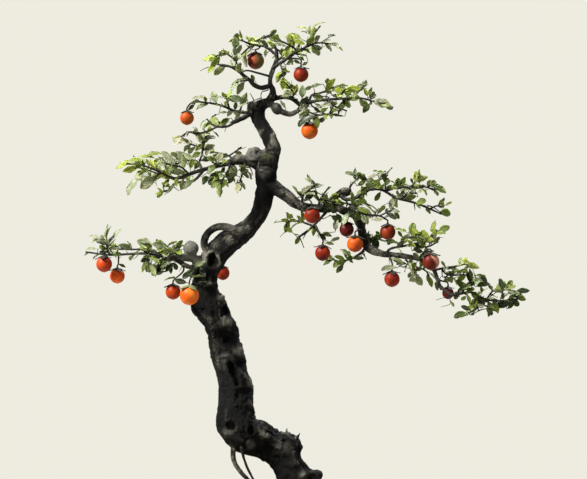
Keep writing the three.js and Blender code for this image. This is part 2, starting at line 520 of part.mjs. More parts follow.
// Place of a traced point, in millimetres.
const place = ([column, row, depth]) => new THREE.Vector3(
  (column - POT_MIDDLE_COLUMN) * PIXEL, depth * DEPTH_SPREAD * PIXEL,
  (GROUND_ROW - row) * PIXEL);

// A repeatable draw between 0 and 1.
function draw(seed, count) {
  const value = Math.sin(seed * 12.9898 + count * 78.233) * 43758.5453;
  return value - Math.floor(value);
}

function solid(vertices, triangles) {
  const vertProperties = new Float32Array(vertices.flatMap((v) => [v.x, v.y, v.z]));
  return new Manifold(new wasm.Mesh({
    numProp: 3, vertProperties, triVerts: new Uint32Array(triangles.flat()),
  }));
}

function solidOf(geometry) {
  const bare = geometry.clone();
  bare.deleteAttribute('normal');
  bare.deleteAttribute('uv');
  const merged = mergeVertices(bare, 1e-4);
  return new Manifold(new wasm.Mesh({
    numProp: 3,
    vertProperties: new Float32Array(merged.attributes.position.array),
    triVerts: new Uint32Array(merged.index.array),
  }));
}

// Closed skin over rings of equal count, each ring turning left about the way forward.
function loft(rings) {
  const count = rings[0].length;
  const last = (rings.length - 1) * count;
  const triangles = [];
  for (let ring = 0; ring < rings.length - 1; ring += 1) {
    for (let k = 0; k < count; k += 1) {
      const a = ring * count + k;
      const b = ring * count + ((k + 1) % count);
      triangles.push([a, b, b + count], [a, b + count, a + count]);
    }
  }
  for (let k = 1; k < count - 1; k += 1) {
    triangles.push([0, k + 1, k], [last, last + k, last + k + 1]);
  }
  return solid(rings.flat(), triangles);
}

// Points, forward directions and side directions along a route, without twist.
function frames(points) {
  const forward = points.map((point, i) => new THREE.Vector3().subVectors(
    points[Math.min(i + 1, points.length - 1)], points[Math.max(i - 1, 0)]).normalize());
  const start = Math.abs(forward[0].y) < 0.9 ? BACK : UP;
  let side = start.clone();
  return points.map((point, i) => {
    side = side.clone().addScaledVector(forward[i], -side.dot(forward[i])).normalize();
    const across = new THREE.Vector3().crossVectors(forward[i], side);
    return { point, forward: forward[i], side, across };
  });
}

// A round bar along points; grow makes it thicker and longer all over.
function bar(points, radii, sides, grow = 0, relief = () => 1) {
  const along = frames(points);
  const rings = along.map(({ point, forward, side, across }, i) => {
    const isFirst = i === 0 ? -grow : 0;
    const isLast = i === points.length - 1 ? grow : 0;
    const centre = point.clone().addScaledVector(forward, isFirst + isLast);
    return Array.from({ length: sides }, (_, k) => {
      const turn = (2 * Math.PI * k) / sides;
      const radius = radii[i] * relief(turn, i) + grow;
      return centre.clone().addScaledVector(side, Math.cos(turn) * radius)
        .addScaledVector(across, Math.sin(turn) * radius);
    });
  });
  return loft(rings);
}

const trunkFlutes = (turn, ring) => FLUTES.reduce(
  (sum, { waves, depth, wander }) => sum + depth * Math.sin(waves * turn + ring * wander), 1);

function lump([column, row, depth, across, deep, high], grow) {
  const geometry = new THREE.SphereGeometry(1, LUMP_SIDES, LUMP_ROWS);
  geometry.rotateX(Math.PI / 2);
  geometry.scale(across * PIXEL + grow, deep * PIXEL + grow, high * PIXEL + grow);
  const middle = place([column, row, depth / DEPTH_SPREAD]);
  geometry.translate(middle.x, middle.y, middle.z);
  return solidOf(geometry);
}

function splinter([rootColumn, rootRow, tipColumn, tipRow, radius], grow) {
  const points = [
    place([rootColumn, rootRow, SPLINTER_DEPTHS[0]]), place([tipColumn, tipRow, SPLINTER_DEPTHS[1]]),
  ];
  return bar(points, [radius * PIXEL, SPLINTER_TIP * PIXEL], SPLINTER_SIDES, grow);
}

function surfaceRoot({ turn, reach, radius }, grow) {
  const way = THREE.MathUtils.degToRad(turn);
  const crown = place(ROOT_CROWN);
  const points = ROOT_STATIONS.map((part) => {
    const bend = way + ROOT_BEND * part * Math.sin(turn);
    const out = reach * PIXEL * part;
    return new THREE.Vector3(crown.x + Math.cos(bend) * out, crown.y + Math.sin(bend) * out,
      crown.z - ROOT_DROP * part * PIXEL);
  });
  const radii = ROOT_STATIONS.map((part) => radius * PIXEL * (1 - ROOT_TAPER * part));
  return bar(points, radii, ROOT_SIDES, grow);
}

function allWood(grow) {
  const parts = WOOD_ROUTES.map(({ route, sides, fluted }) => bar(
    route.map(place), route.map((point) => point[3] * PIXEL), sides, grow,
    fluted ? trunkFlutes : undefined));
  parts.push(...BURLS.map((burl) => lump(burl, grow)));
  parts.push(...SPLINTERS.map((entry) => splinter(entry, grow)));
  parts.push(...SURFACE_ROOTS.map((root) => surfaceRoot(root, grow)));
  return Manifold.union(parts);
}

// Outline of the pot, a rounded oblong, at a given inset and height.
function oblong(inset, height, shrink = 1) {
  return Array.from({ length: POT_SEGMENTS }, (_, k) => {
    const turn = (2 * Math.PI * k) / POT_SEGMENTS;
    const power = 2 / POT_SQUARENESS;
    const x = Math.sign(Math.cos(turn)) * Math.abs(Math.cos(turn)) ** power;
    const y = Math.sign(Math.sin(turn)) * Math.abs(Math.sin(turn)) ** power;
    return new THREE.Vector3(
      x * (POT_HALF_LENGTH - inset) * shrink, y * (POT_HALF_WIDTH - inset) * shrink, height);
  });
}

function block(xSize, ySize, zSize, x, y, zBottom) {
  const geometry = new THREE.BoxGeometry(xSize, ySize, zSize);
  geometry.translate(x, y, zBottom + zSize / 2);
  return solidOf(geometry);
}

function rod(radius, height, x, y, zBottom, segments) {
  const geometry = new THREE.CylinderGeometry(radius, radius, height, segments);
  geometry.rotateX(Math.PI / 2);
  geometry.translate(x, y, zBottom + height / 2);
  return solidOf(geometry);
}

// Inset of the pot's inner wall at a height.
function innerInset(height) {
  const rise = (height - WALL_BOTTOM) / (POT_HEIGHT - WALL_BOTTOM);
  return POT_WALL + WALL_FLARE * (1 - rise);
}

function makePot() {
  const outside = loft(POT_OUTSIDE.map(([inset, height]) => oblong(inset, height)));
  const inside = loft([WALL_BOTTOM, POT_HEIGHT + CUT_THROUGH].map(
    (height) => oblong(innerInset(height), height)));
  const feet = [-1, 1].flatMap((x) => [-1, 1].map((y) => block(
    FOOT.length, FOOT.width, POT_FOOT_HEIGHT + FOOT.sunk, x * FOOT.xOffset, y * FOOT.yOffset, 0)));
  const drains = [-1, 1].map((x) => rod(
    DRAIN_RADIUS, POT_FLOOR + 2 * CUT_THROUGH, x * DRAIN_OFFSET, 0,
    POT_FOOT_HEIGHT - CUT_THROUGH, DRAIN_SIDES));
  return Manifold.union([outside, ...feet]).subtract(Manifold.union([inside, ...drains]));
}

function makeScreen(x) {
  const bottom = WALL_BOTTOM + GAP;
  const plate = block(SCREEN_SIDE, SCREEN_SIDE, SCREEN_THICKNESS, x, 0, bottom);
  const slots = [-1, 1].map((i) => block(
    SCREEN_SLOT_WIDTH, SCREEN_SLOT_LENGTH, SCREEN_THICKNESS + 2 * CUT_THROUGH,
    x + i * SCREEN_SLOT_WIDTH, 0, bottom - CUT_THROUGH));
  return plate.subtract(Manifold.union(slots));
}

// Soil: fills the pot and rises to a low mound round the trunk.
function soilBody(grow) {
  const top = SOIL_RINGS.map((share) => oblong(
    innerInset(SOIL_EDGE_HEIGHT) + GAP, SOIL_EDGE_HEIGHT + grow
      + SOIL_MOUND * (1 - share) ** SOIL_MOUND_POWER, share));
  const bottom = WALL_BOTTOM + GAP;
  return loft([oblong(innerInset(bottom) + GAP, bottom), ...top]);
}

function makeSoil() {
  const foot = place(TRUNK_ROUTE[0]);
  const hole = rod(
    STUMP_RADIUS + GAP, POT_HEIGHT * 2, foot.x, foot.y, STUMP_BOTTOM - GAP, STUMP_SIDES);
  const screens = [-1, 1].map((x) => block(
    SCREEN_SIDE + 2 * GAP, SCREEN_SIDE + 2 * GAP, SCREEN_THICKNESS + 2 * GAP,
    x * DRAIN_OFFSET, 0, WALL_BOTTOM));
  return soilBody(0).subtract(Manifold.union([hole, ...screens]));
}

function makeTrunk() {
  const foot = place(TRUNK_ROUTE[0]);
  const below = Manifold.union([
    soilBody(GAP), block(2 * POT_HALF_LENGTH, 2 * POT_HALF_WIDTH, SOIL_EDGE_HEIGHT, 0, 0, 0),
  ]);
  const hollows = HOLLOWS.map((hollow) => lump(hollow, 0));
  const above = allWood(0).subtract(Manifold.union([below, ...hollows]));
  const stumpTop = SOIL_EDGE_HEIGHT + SOIL_MOUND;
  const stump = rod(
    STUMP_RADIUS, stumpTop - STUMP_BOTTOM, foot.x, foot.y, STUMP_BOTTOM, STUMP_SIDES);
  return above.add(stump);
}

function shootRadii(shoot) {
  const last = shoot.route.length - 1;
  return shoot.route.map((_, i) => PIXEL * THREE.MathUtils.lerp(
    shoot.radii[0], shoot.radii[1], i / last));
}

function fruitOf(name) {
  const [column, row, depth, width] = FRUITS[name];
  const radius = (width / 2) * PIXEL;
  const middle = place([column, row, depth]);
  return { middle, radius, top: middle.clone().addScaledVector(UP, radius + GAP) };
}

// A stalk comes down on its calyx from straight above.
function shootPoints(shoot) {
  const points = shoot.route.map(place);
  if (shoot.fruit) {
    const { top } = fruitOf(shoot.fruit);
    points.push(top.clone().addScaledVector(UP, STALK_DROP));
    points.push(top.clone().addScaledVector(UP, CALYX_THICKNESS / 2));
  }
  return points;
}

// A four-lobed star over the fruit: two middles and two rims of tips and notches.
function calyx({ radius, top }, seed) {
  const skin = (lift) => [top.clone().addScaledVector(UP, lift),
    ...Array.from({ length: CALYX_POINTS }, (_, k) => {
      const turn = (2 * Math.PI * k) / CALYX_POINTS + CALYX_TURN * draw(seed, 3);
      const isTip = k % 2 === 0;
      const reach = radius * (isTip ? CALYX_REACH : CALYX_NOTCH);
      return new THREE.Vector3(top.x + Math.cos(turn) * reach, top.y + Math.sin(turn) * reach,
        top.z + lift - (isTip ? radius * CALYX_DROP : 0));
    })];
  const above = CALYX_POINTS + 1;
  const triangles = [];
  for (let k = 0; k < CALYX_POINTS; k += 1) {
    const here = 1 + k;
    const next = 1 + ((k + 1) % CALYX_POINTS);
    triangles.push([0, next, here], [above, above + here, above + next],
      [here, next, above + next], [here, above + next, above + here]);
  }
  return solid([...skin(0), ...skin(CALYX_THICKNESS)], triangles);
}

function leafPoint(leaf, along, aside, lift) {
  const drop = LEAF_DROOP * leaf.size * Math.max(0, along - LEAF_WIDEST) / (1 - LEAF_WIDEST);
  return leaf.base.clone().addScaledVector(leaf.aim, along * leaf.size)
    .addScaledVector(leaf.side, aside * leaf.size * LEAF_HALF_WIDTH)
    .addScaledVector(leaf.face, lift - drop);
}

// A leaf: pointed where it sits in its twig, widest past the middle, bent there to its tip.
function blade(leaf) {
  const half = LEAF_THICKNESS / 2;
  const corners = [[LEAF_WIDEST, 1], [1, 0], [LEAF_WIDEST, -1]];
  const vertices = [leafPoint(leaf, 0, 0, 0),
    ...corners.map(([along, aside]) => leafPoint(leaf, along, aside, -half)),
    ...corners.map(([along, aside]) => leafPoint(leaf, along, aside, half))];
  const [base, right, tip, left, rightTop, tipTop, leftTop] = vertices.keys();
  return solid(vertices, [
    [base, left, right], [right, left, tip], [base, rightTop, leftTop], [rightTop, tipTop, leftTop],
    [base, right, rightTop], [right, tip, tipTop], [right, tipTop, rightTop],
    [tip, left, leftTop], [tip, leftTop, tipTop], [left, base, leftTop],
  ]);
}

// Where along the shoot a share of its length lies, with the twig's directions there.
function pointAlong(points, share) {
  const lengths = points.slice(1).map((point, i) => point.distanceTo(points[i]));
  let left = share * lengths.reduce((sum, length) => sum + length, 0);
  let i = 0;
  while (i < lengths.length - 1 && left > lengths[i]) {
    left -= lengths[i];
    i += 1;
  }
  const forward = new THREE.Vector3().subVectors(points[i + 1], points[i]).normalize();
  const { side, across } = frames(points)[i];
  return { base: points[i].clone().addScaledVector(forward, left), forward, side, across };
}

function distanceToBar(point, start, end) {
  const way = new THREE.Vector3().subVectors(end, start);
  const share = THREE.MathUtils.clamp(
    new THREE.Vector3().subVectors(point, start).dot(way) / way.lengthSq(), 0, 1);
  return point.distanceTo(start.clone().addScaledVector(way, share));
}

// What a leaf must keep clear of.
const woodBars = WOOD_ROUTES.flatMap(({ route }) => route.slice(1).map((point, i) => ({
  start: place(route[i]), end: place(point), radius: Math.max(route[i][3], point[3]) * PIXEL,
})));
const burlBalls = BURLS.map(([column, row, depth, ...halfSizes]) => ({
  middle: place([column, row, depth / DEPTH_SPREAD]), radius: Math.max(...halfSizes) * PIXEL,
}));
const fruitBalls = Object.keys(FRUITS).map((name) => fruitOf(name));
const twigBars = Object.entries(SPRAYS).flatMap(([spray, shoots]) => shoots.flatMap((shoot) => {
  const points = shootPoints(shoot);
  return points.slice(1).map((end, i) => ({
    spray, shoot, start: points[i], end, radius: Math.max(...shoot.radii) * PIXEL,
  }));
}));

function isClear(probes, spray, shoot, placed) {
  const clearOfBars = (bars, margin) => bars.every(({ start, end, radius }) => probes.every(
    (probe) => distanceToBar(probe, start, end) > radius + margin));
  const clearOfBalls = (balls, margin) => balls.every(({ middle, radius }) => probes.every(
    (probe) => probe.distanceTo(middle) > radius + margin));
  const near = placed.filter((leaf) => leaf.base.distanceTo(probes[3]) < LEAVES_NEAR);
  return clearOfBars(woodBars, CLEAR_OF_WOOD) && clearOfBalls(burlBalls, CLEAR_OF_WOOD)
    && clearOfBalls(fruitBalls, CLEAR_OF_FRUIT)
    && clearOfBalls(fruitBalls.map(({ top, radius }) => ({
      middle: top, radius: radius * CALYX_REACH,
    })), CLEAR_OF_FRUIT)
    && clearOfBars(twigBars.filter((twig) => twig.spray !== spray), CLEAR_OF_TWIG)
    && clearOfBars(twigBars.filter((twig) => twig.spray === spray && twig.shoot !== shoot),
      CLEAR_OF_OWN_TWIG)
    && near.every((leaf) => {
      const margin = leaf.spray === spray ? CLEAR_OF_OWN_LEAF : CLEAR_OF_LEAF;
      return leaf.probes.every((other) => probes.every(
        (probe) => probe.distanceTo(other) > margin));
    });
}

// One leaf of a shoot: it stands on one of the twig's faces, each leaf on the next face,
// and is turned and aimed anew until it is clear of everything else.
function tryLeaf(spray, shoot, seed, index, placed) {
  const points = shoot.route.map(place);
  const share = shoot.leaves === 1 ? shoot.from
    : THREE.MathUtils.lerp(shoot.from, LAST_LEAF, index / (shoot.leaves - 1));
  const { base, forward, side: edge, across } = pointAlong(points, share);
  const isTip = index === shoot.leaves - 1 && !shoot.fruit;
  for (let attempt = 0; attempt < LEAF_TRIES; attempt += 1) {
    const key = index * 17 + attempt * 5;
    const twigFace = (index + attempt + Math.floor(draw(seed, 1) * TWIG_SIDES)) % TWIG_SIDES;
    const turn = (2 * Math.PI * (twigFace + 0.5)) / TWIG_SIDES;
    const lean = isTip ? TIP_LEAN : LEAST_LEAN + LEAN_SPREAD * draw(seed, key + 2);
    const aim = edge.clone().multiplyScalar(Math.cos(turn))
      .addScaledVector(across, Math.sin(turn)).addScaledVector(forward, lean)
      .addScaledVector(UP, LEAF_LIFT).normalize();
    const face = new THREE.Vector3(
      (draw(seed, key + 4) - 0.5) * FACE_SWING,
      draw(seed, key + 3) < FRONT_SHARE ? FACE_FRONT : FACE_BACK,
      FACE_UP + FACE_UP_SPREAD * draw(seed, key + 5));
    face.addScaledVector(aim, -face.dot(aim)).normalize();
    const side = new THREE.Vector3().crossVectors(aim, face);
    const size = shoot.size * (LEAST_SIZE + SIZE_SPREAD * draw(seed, key + 6))
      * (attempt > SMALLER_AFTER ? SMALLER_LEAF : 1);
    const leaf = { spray, base, aim, face, side, size };
    leaf.probes = LEAF_PROBES.map(([along, aside]) => leafPoint(leaf, along, aside, 0));
    if (isClear(leaf.probes, spray, shoot, placed)) return leaf;
  }
  return null;
}

function placeLeaves() {
  const placed = [];
  Object.entries(SPRAYS).forEach(([spray, shoots], sprayIndex) => {
    shoots.forEach((shoot, shootIndex) => {
      for (let index = 0; index < (shoot.leaves ?? 0); index += 1) {
        const seed = sprayIndex * 31 + shootIndex * 7 + 1;
        const leaf = tryLeaf(spray, shoot, seed, index, placed);
        if (leaf) placed.push(leaf);
      }
    });
  });
  return placed;
}

const biggest = (body) => body.decompose().sort((a, b) => b.volume() - a.volume())[0];

function makeSpray(name, index, leaves, grownWood) {
  const parts = SPRAYS[name].flatMap((shoot, shootIndex) => {
    const radii = shootRadii(shoot);
    if (!shoot.fruit) return [bar(shootPoints(shoot), radii, TWIG_SIDES)];
    const stalk = bar(shootPoints(shoot), [...radii, radii.at(-1), radii.at(-1)], TWIG_SIDES);
    return [stalk, calyx(fruitOf(shoot.fruit), index * 9 + shootIndex)];
  });
  const blades = leaves.filter((leaf) => leaf.spray === name).map(blade);
  return biggest(Manifold.union([...parts, ...blades]).subtract(grownWood));
}

// A ripe berry: round, a little flat below the calyx and drawn to a small tip at the bottom.
function fruitGeometry(radius) {
  const profile = Array.from({ length: FRUIT_ROWS + 1 }, (_, i) => {
    const turn = (Math.PI * i) / FRUIT_ROWS;
    const width = i === 0 || i === FRUIT_ROWS ? 0 : Math.sin(turn) * radius;
    const tip = i === 0 ? FRUIT_TIP : 1;
    return new THREE.Vector2(width, -Math.cos(turn) * radius * tip);
  });
  const geometry = new THREE.LatheGeometry(profile, FRUIT_SIDES);
  geometry.rotateX(Math.PI / 2);
  return geometry;
}

// A mesh's geometry from a solid.
function meshOf(body) {
  const { vertProperties, triVerts } = body.getMesh();
  const geometry = new THREE.BufferGeometry();
  geometry.setAttribute('position', new THREE.BufferAttribute(vertProperties, 3));
  geometry.setIndex(new THREE.BufferAttribute(triVerts, 1));
  geometry.computeVertexNormals();
  return geometry;
}

const bonsai = new THREE.Group();
function addPiece(name, geometry, material) {
  const mesh = new THREE.Mesh(geometry, material);
  mesh.name = name;
  bonsai.add(mesh);
  return mesh;
}

addPiece('pot', meshOf(makePot()), finish(CLAY_COLOUR, 0.75));
addPiece('soil', meshOf(makeSoil()), finish(SOIL_COLOUR, 0.95));
addPiece('drain_screen_left', meshOf(makeScreen(-DRAIN_OFFSET)), finish(SCREEN_COLOUR, 0.6));
addPiece('drain_screen_right', meshOf(makeScreen(DRAIN_OFFSET)), finish(SCREEN_COLOUR, 0.6));
addPiece('trunk', meshOf(biggest(makeTrunk())), finish(BARK_COLOUR, 0.9));

const leaves = placeLeaves();
const grownWood = allWood(GAP);
Object.keys(SPRAYS).forEach((name, index) => {
  const tone = SPRAYS[name][0].tone ?? 'old';
  const body = makeSpray(name, index, leaves, grownWood);
  addPiece(`spray_${name}`, meshOf(body), finish(LEAF_COLOURS[tone], 0.55));
});

for (const name of Object.keys(FRUITS)) {
  const { middle, radius } = fruitOf(name);
  const colour = FRUIT_COLOURS[FRUIT_TONES[name] ?? 'orange'];
  addPiece(`fruit_${name}`, fruitGeometry(radius), finish(colour, 0.35)).position.copy(middle);
}

// The origin lies at the middle of the bottom of the whole part's box.
const whole = new THREE.Group();
whole.add(bonsai);
const box = new THREE.Box3().setFromObject(bonsai);
bonsai.position.set(-(box.min.x + box.max.x) / 2, -(box.min.y + box.max.y) / 2, -box.min.z);

export default whole;
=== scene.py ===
# A Diospyros armata bonsai with ripe fruit in a plain clay pot: its finish and fine shapes.
# Metres, +Z up, the front faces -Y. The tree's tables are in pixels of the photo, and its
# leaf rule works in millimetres, so that every leaf stands where its solid stands.
import math

import bmesh
import bpy
import numpy as np
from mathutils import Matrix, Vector, noise


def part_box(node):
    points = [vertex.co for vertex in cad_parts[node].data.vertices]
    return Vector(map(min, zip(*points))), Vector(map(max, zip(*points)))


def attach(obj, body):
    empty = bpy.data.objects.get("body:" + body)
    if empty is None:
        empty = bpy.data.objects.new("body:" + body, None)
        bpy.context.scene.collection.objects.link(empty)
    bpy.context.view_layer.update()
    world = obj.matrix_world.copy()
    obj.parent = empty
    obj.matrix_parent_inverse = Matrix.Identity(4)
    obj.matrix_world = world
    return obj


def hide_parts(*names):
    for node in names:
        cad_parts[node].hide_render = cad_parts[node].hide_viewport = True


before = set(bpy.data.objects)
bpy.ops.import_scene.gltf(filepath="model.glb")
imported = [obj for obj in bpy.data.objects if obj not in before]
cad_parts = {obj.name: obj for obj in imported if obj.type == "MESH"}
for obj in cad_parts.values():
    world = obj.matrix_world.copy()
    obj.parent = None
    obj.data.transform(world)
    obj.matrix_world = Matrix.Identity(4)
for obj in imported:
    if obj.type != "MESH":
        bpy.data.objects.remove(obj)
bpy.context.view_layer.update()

# Scale and place of the tracing.
PIXEL = 1.2
DEPTH_SPREAD = 1.6
POT_MIDDLE_COLUMN = 300
GROUND_ROW = 560
MM = 0.001
GAP = 0.3
UP = np.array([0.0, 0.0, 1.0])
BACK = np.array([0.0, 1.0, 0.0])
pot_low, pot_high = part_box("pot")
ORIGIN = np.array([(pot_low.x + pot_high.x) / 2, (pot_low.y + pot_high.y) / 2, pot_low.z])

# Routes of the wood: (column, row, depth, radius) in pixels of the photo.
TRUNK_ROUTE = [
    (303, 512, 0, 31), (303, 500, 0, 26.5), (300.5, 489, 0, 22.5), (297, 478, 0, 19.5), (291, 466, 0, 17),
    (280.5, 453, 0, 16), (265.5, 442, -1, 16.5), (250.5, 434, -3, 19.5), (238.5, 422, -4, 20.5),
    (235.5, 407, -3, 18.5), (235.5, 393, -1, 16.6), (233, 378, 1, 15.3), (228.5, 364, 3, 15.3),
    (225, 350, 4, 15.6), (221.5, 334, 4, 15), (215.5, 318, 1, 15.7), (207.5, 301, -1, 16.4),
    (205.5, 287, -2, 12.6), (207, 275, -3, 11.5), (212, 262, -3, 12), (219.5, 250.5, -2, 12.3),
    (230, 241, -1, 11.8), (242, 231, 0, 11), (252, 221, 2, 10), (259, 210.5, 3, 9.6), (263.5, 198, 4, 9.4),
    (265.5, 184, 4, 9.8), (265.5, 169, 1, 10.6), (269.5, 157.5, -1, 9.2), (273, 148.5, -2, 7.7),
    (270, 139.5, -2, 7.2), (263, 127, 0, 7), (258.5, 117, 1, 7.1), (257.5, 110, 2, 7.6),
    (262.5, 104.5, 1, 5.6), (270, 100.5, 0, 4.4), (273.3, 92, -2, 3.4), (270.2, 84, -1, 2.7),
    (270.6, 76, 0, 2.4), (276, 61, 3, 2.1), (276.8, 53, 2, 1.7), (275, 46, 2, 1.2),
]
RIGHT_BRANCH_ROUTE = [
    (266, 181, 3, 8), (275, 187.5, 1, 7), (284, 194, -2, 6.2), (294, 202, -2, 5.5), (304, 207, -1, 4.9),
    (314, 208.5, 1, 4.4), (328, 208.5, 3, 4.1), (337, 207.5, 2, 4), (345, 211.5, 0, 4.3),
    (352, 213.5, -1, 4.5), (358, 219, -1, 4.5), (361.5, 228, 0, 4.4), (363, 238, 1, 4.4),
    (367, 246.5, 1, 4.3), (374, 251, 0, 4), (387, 254.5, -1, 3.3), (404, 256, 0, 2.8), (420, 259.5, 2, 2.4),
    (429, 264.5, 2, 2.2), (434.5, 271, 1, 2.1), (437.5, 280, 0, 2), (441, 288.5, 0, 1.7),
]
RIGHT_KNOB_ROUTE = [
    (328, 208, 3, 3.4), (332, 201, 5, 3.6), (337, 195, 6, 3.5), (343, 192, 6, 3.6),
    (349, 191, 6, 3.1),
]
LEFT_LIMB_ROUTE = [
    (209, 260, -3, 6.5), (200, 260, -5, 4.6), (191, 258.5, -6, 3.7), (183, 257, -7, 3.5),
    (175, 257.5, -7, 3.2), (168, 260, -6, 3.1), (162.5, 265, -5, 2.9), (158, 270, -4, 2.7),
    (155, 273.5, -4, 2),
]
LEFT_TWIN_ROUTE = [
    (199, 264, -6, 2.8), (191, 267, -9, 2.6), (183, 263.5, -9, 2.3), (175, 259, -7, 1.9),
]
PAD_LIMB_ROUTE = [
    (262, 165, 0, 7), (252, 163, -3, 5.2), (244, 160.5, -5, 4.8), (237.5, 160, -6, 4.9),
    (230, 163, -7, 3.6), (221, 165, -7, 2.9), (211, 168, -8, 2.4),
]
BARE_LOOP_ROUTE = [
    (236, 232, -2, 3.8), (229, 227.5, -4, 3.3), (221.5, 226.5, -5, 3.2), (214, 228.5, -6, 3.1),
    (208, 233.5, -6, 3.1), (204.8, 240, -6, 3.1), (205, 246, -5, 3.2), (210, 253, -4, 3.6),
]
SHELF_LOOP_LOW_ROUTE = [
    (260, 107, 1, 5), (268, 104, -2, 3.6), (276, 107.5, -4, 3.4), (283, 112.5, -5, 3),
    (290.5, 114.5, -5, 2.7), (297, 111.5, -4, 2.4), (302, 107, -3, 2.1),
]
SHELF_LOOP_TOP_ROUTE = [
    (269, 100, 0, 3), (277, 98, -1, 2.5), (285, 97.2, -2, 2.4), (292, 98.5, -2, 2.3),
    (297.5, 103, -3, 2.2), (302, 107, -3, 2.1),
]
SHELF_LIMB_ROUTE = [
    (257, 110, 2, 4.5), (248.5, 114.5, -1, 3), (241, 119.5, -4, 2.5), (233, 123, -6, 2.1),
]
AERIAL_ROOT_ROUTE = [
    (236, 436, -4, 4.5), (233.5, 447, -6, 3), (234, 459, -6, 2.5), (240, 470, -5, 2.3),
    (249, 480, -4, 2.3), (258, 491, -4, 2.5), (266, 502, -5, 2.8), (270, 512, -5, 3.2),
]
THIN_ROOT_ROUTE = [
    (242, 446, -12, 2), (244, 456, -11.5, 1.4), (248, 467, -10.5, 1.3), (254, 479, -10, 1.2),
    (259, 491, -11, 1.3), (262, 502, -12, 1.5), (263, 512, -12, 1.8),
]
# Direction in degrees from +X, reach and radius in pixels.
SURFACE_ROOTS = [(12, 46, 8), (62, 38, 7), (118, 40, 7.5), (172, 44, 8.5), (236, 40, 7.5), (300, 42, 8)]
# Burls: column, row, depth and half sizes across x, deep y and high z.
BURLS = [
    (255, 156, -7, 9, 7, 8.5), (267, 161, -8, 9.5, 8, 9), (238, 160, -10, 5.6, 5, 5.4),
    (191.5, 248, -11, 7.6, 7, 7.6), (277, 109, -7, 5.4, 5, 6), (253, 108, 2, 6.5, 7, 6.5),
    (313, 474, 0, 9, 11, 8), (345, 192, 9.5, 7, 4.6, 4.8), (360, 222, -1.5, 6, 5.4, 6),
    (284, 447, -2, 18.5, 13, 14.5),
]
# Splinters of dead wood: root column, row, tip column, row and radius.
SPLINTERS = [
    (262, 434, 262.5, 421.5, 5.5), (271, 438, 271, 423, 5), (287, 440, 286.5, 426.5, 5),
    (295, 443, 301, 430.5, 5),
]
# Fruit: column, row, depth and width.
FRUITS = {
    "crown_hidden": (255.5, 60, 7, 17), "crown_right": (301, 75, -5, 15), "shelf_left": (187, 118, 0, 14),
    "shelf_right": (309.5, 131, -6, 17), "far_left": (105, 264, -7, 16), "far_left_low": (117, 276, 3, 15),
    "low_left": (174, 291.5, -12, 15), "low_front": (191, 294.5, -25, 19),
    "behind_trunk": (222, 273.5, 17, 14), "fork": (312, 215.5, -13, 16), "hanging": (322.5, 253, -9, 15.5),
    "dark_middle": (346.5, 229.5, -5, 14.5), "front_middle": (354.5, 244, -14, 16),
    "middle_right": (387.5, 232, -4, 15.5), "low_right": (391.5, 279, -7, 15.5),
    "right_front": (430, 261.5, -12, 17), "far_right": (449, 293.5, 10, 12),
}
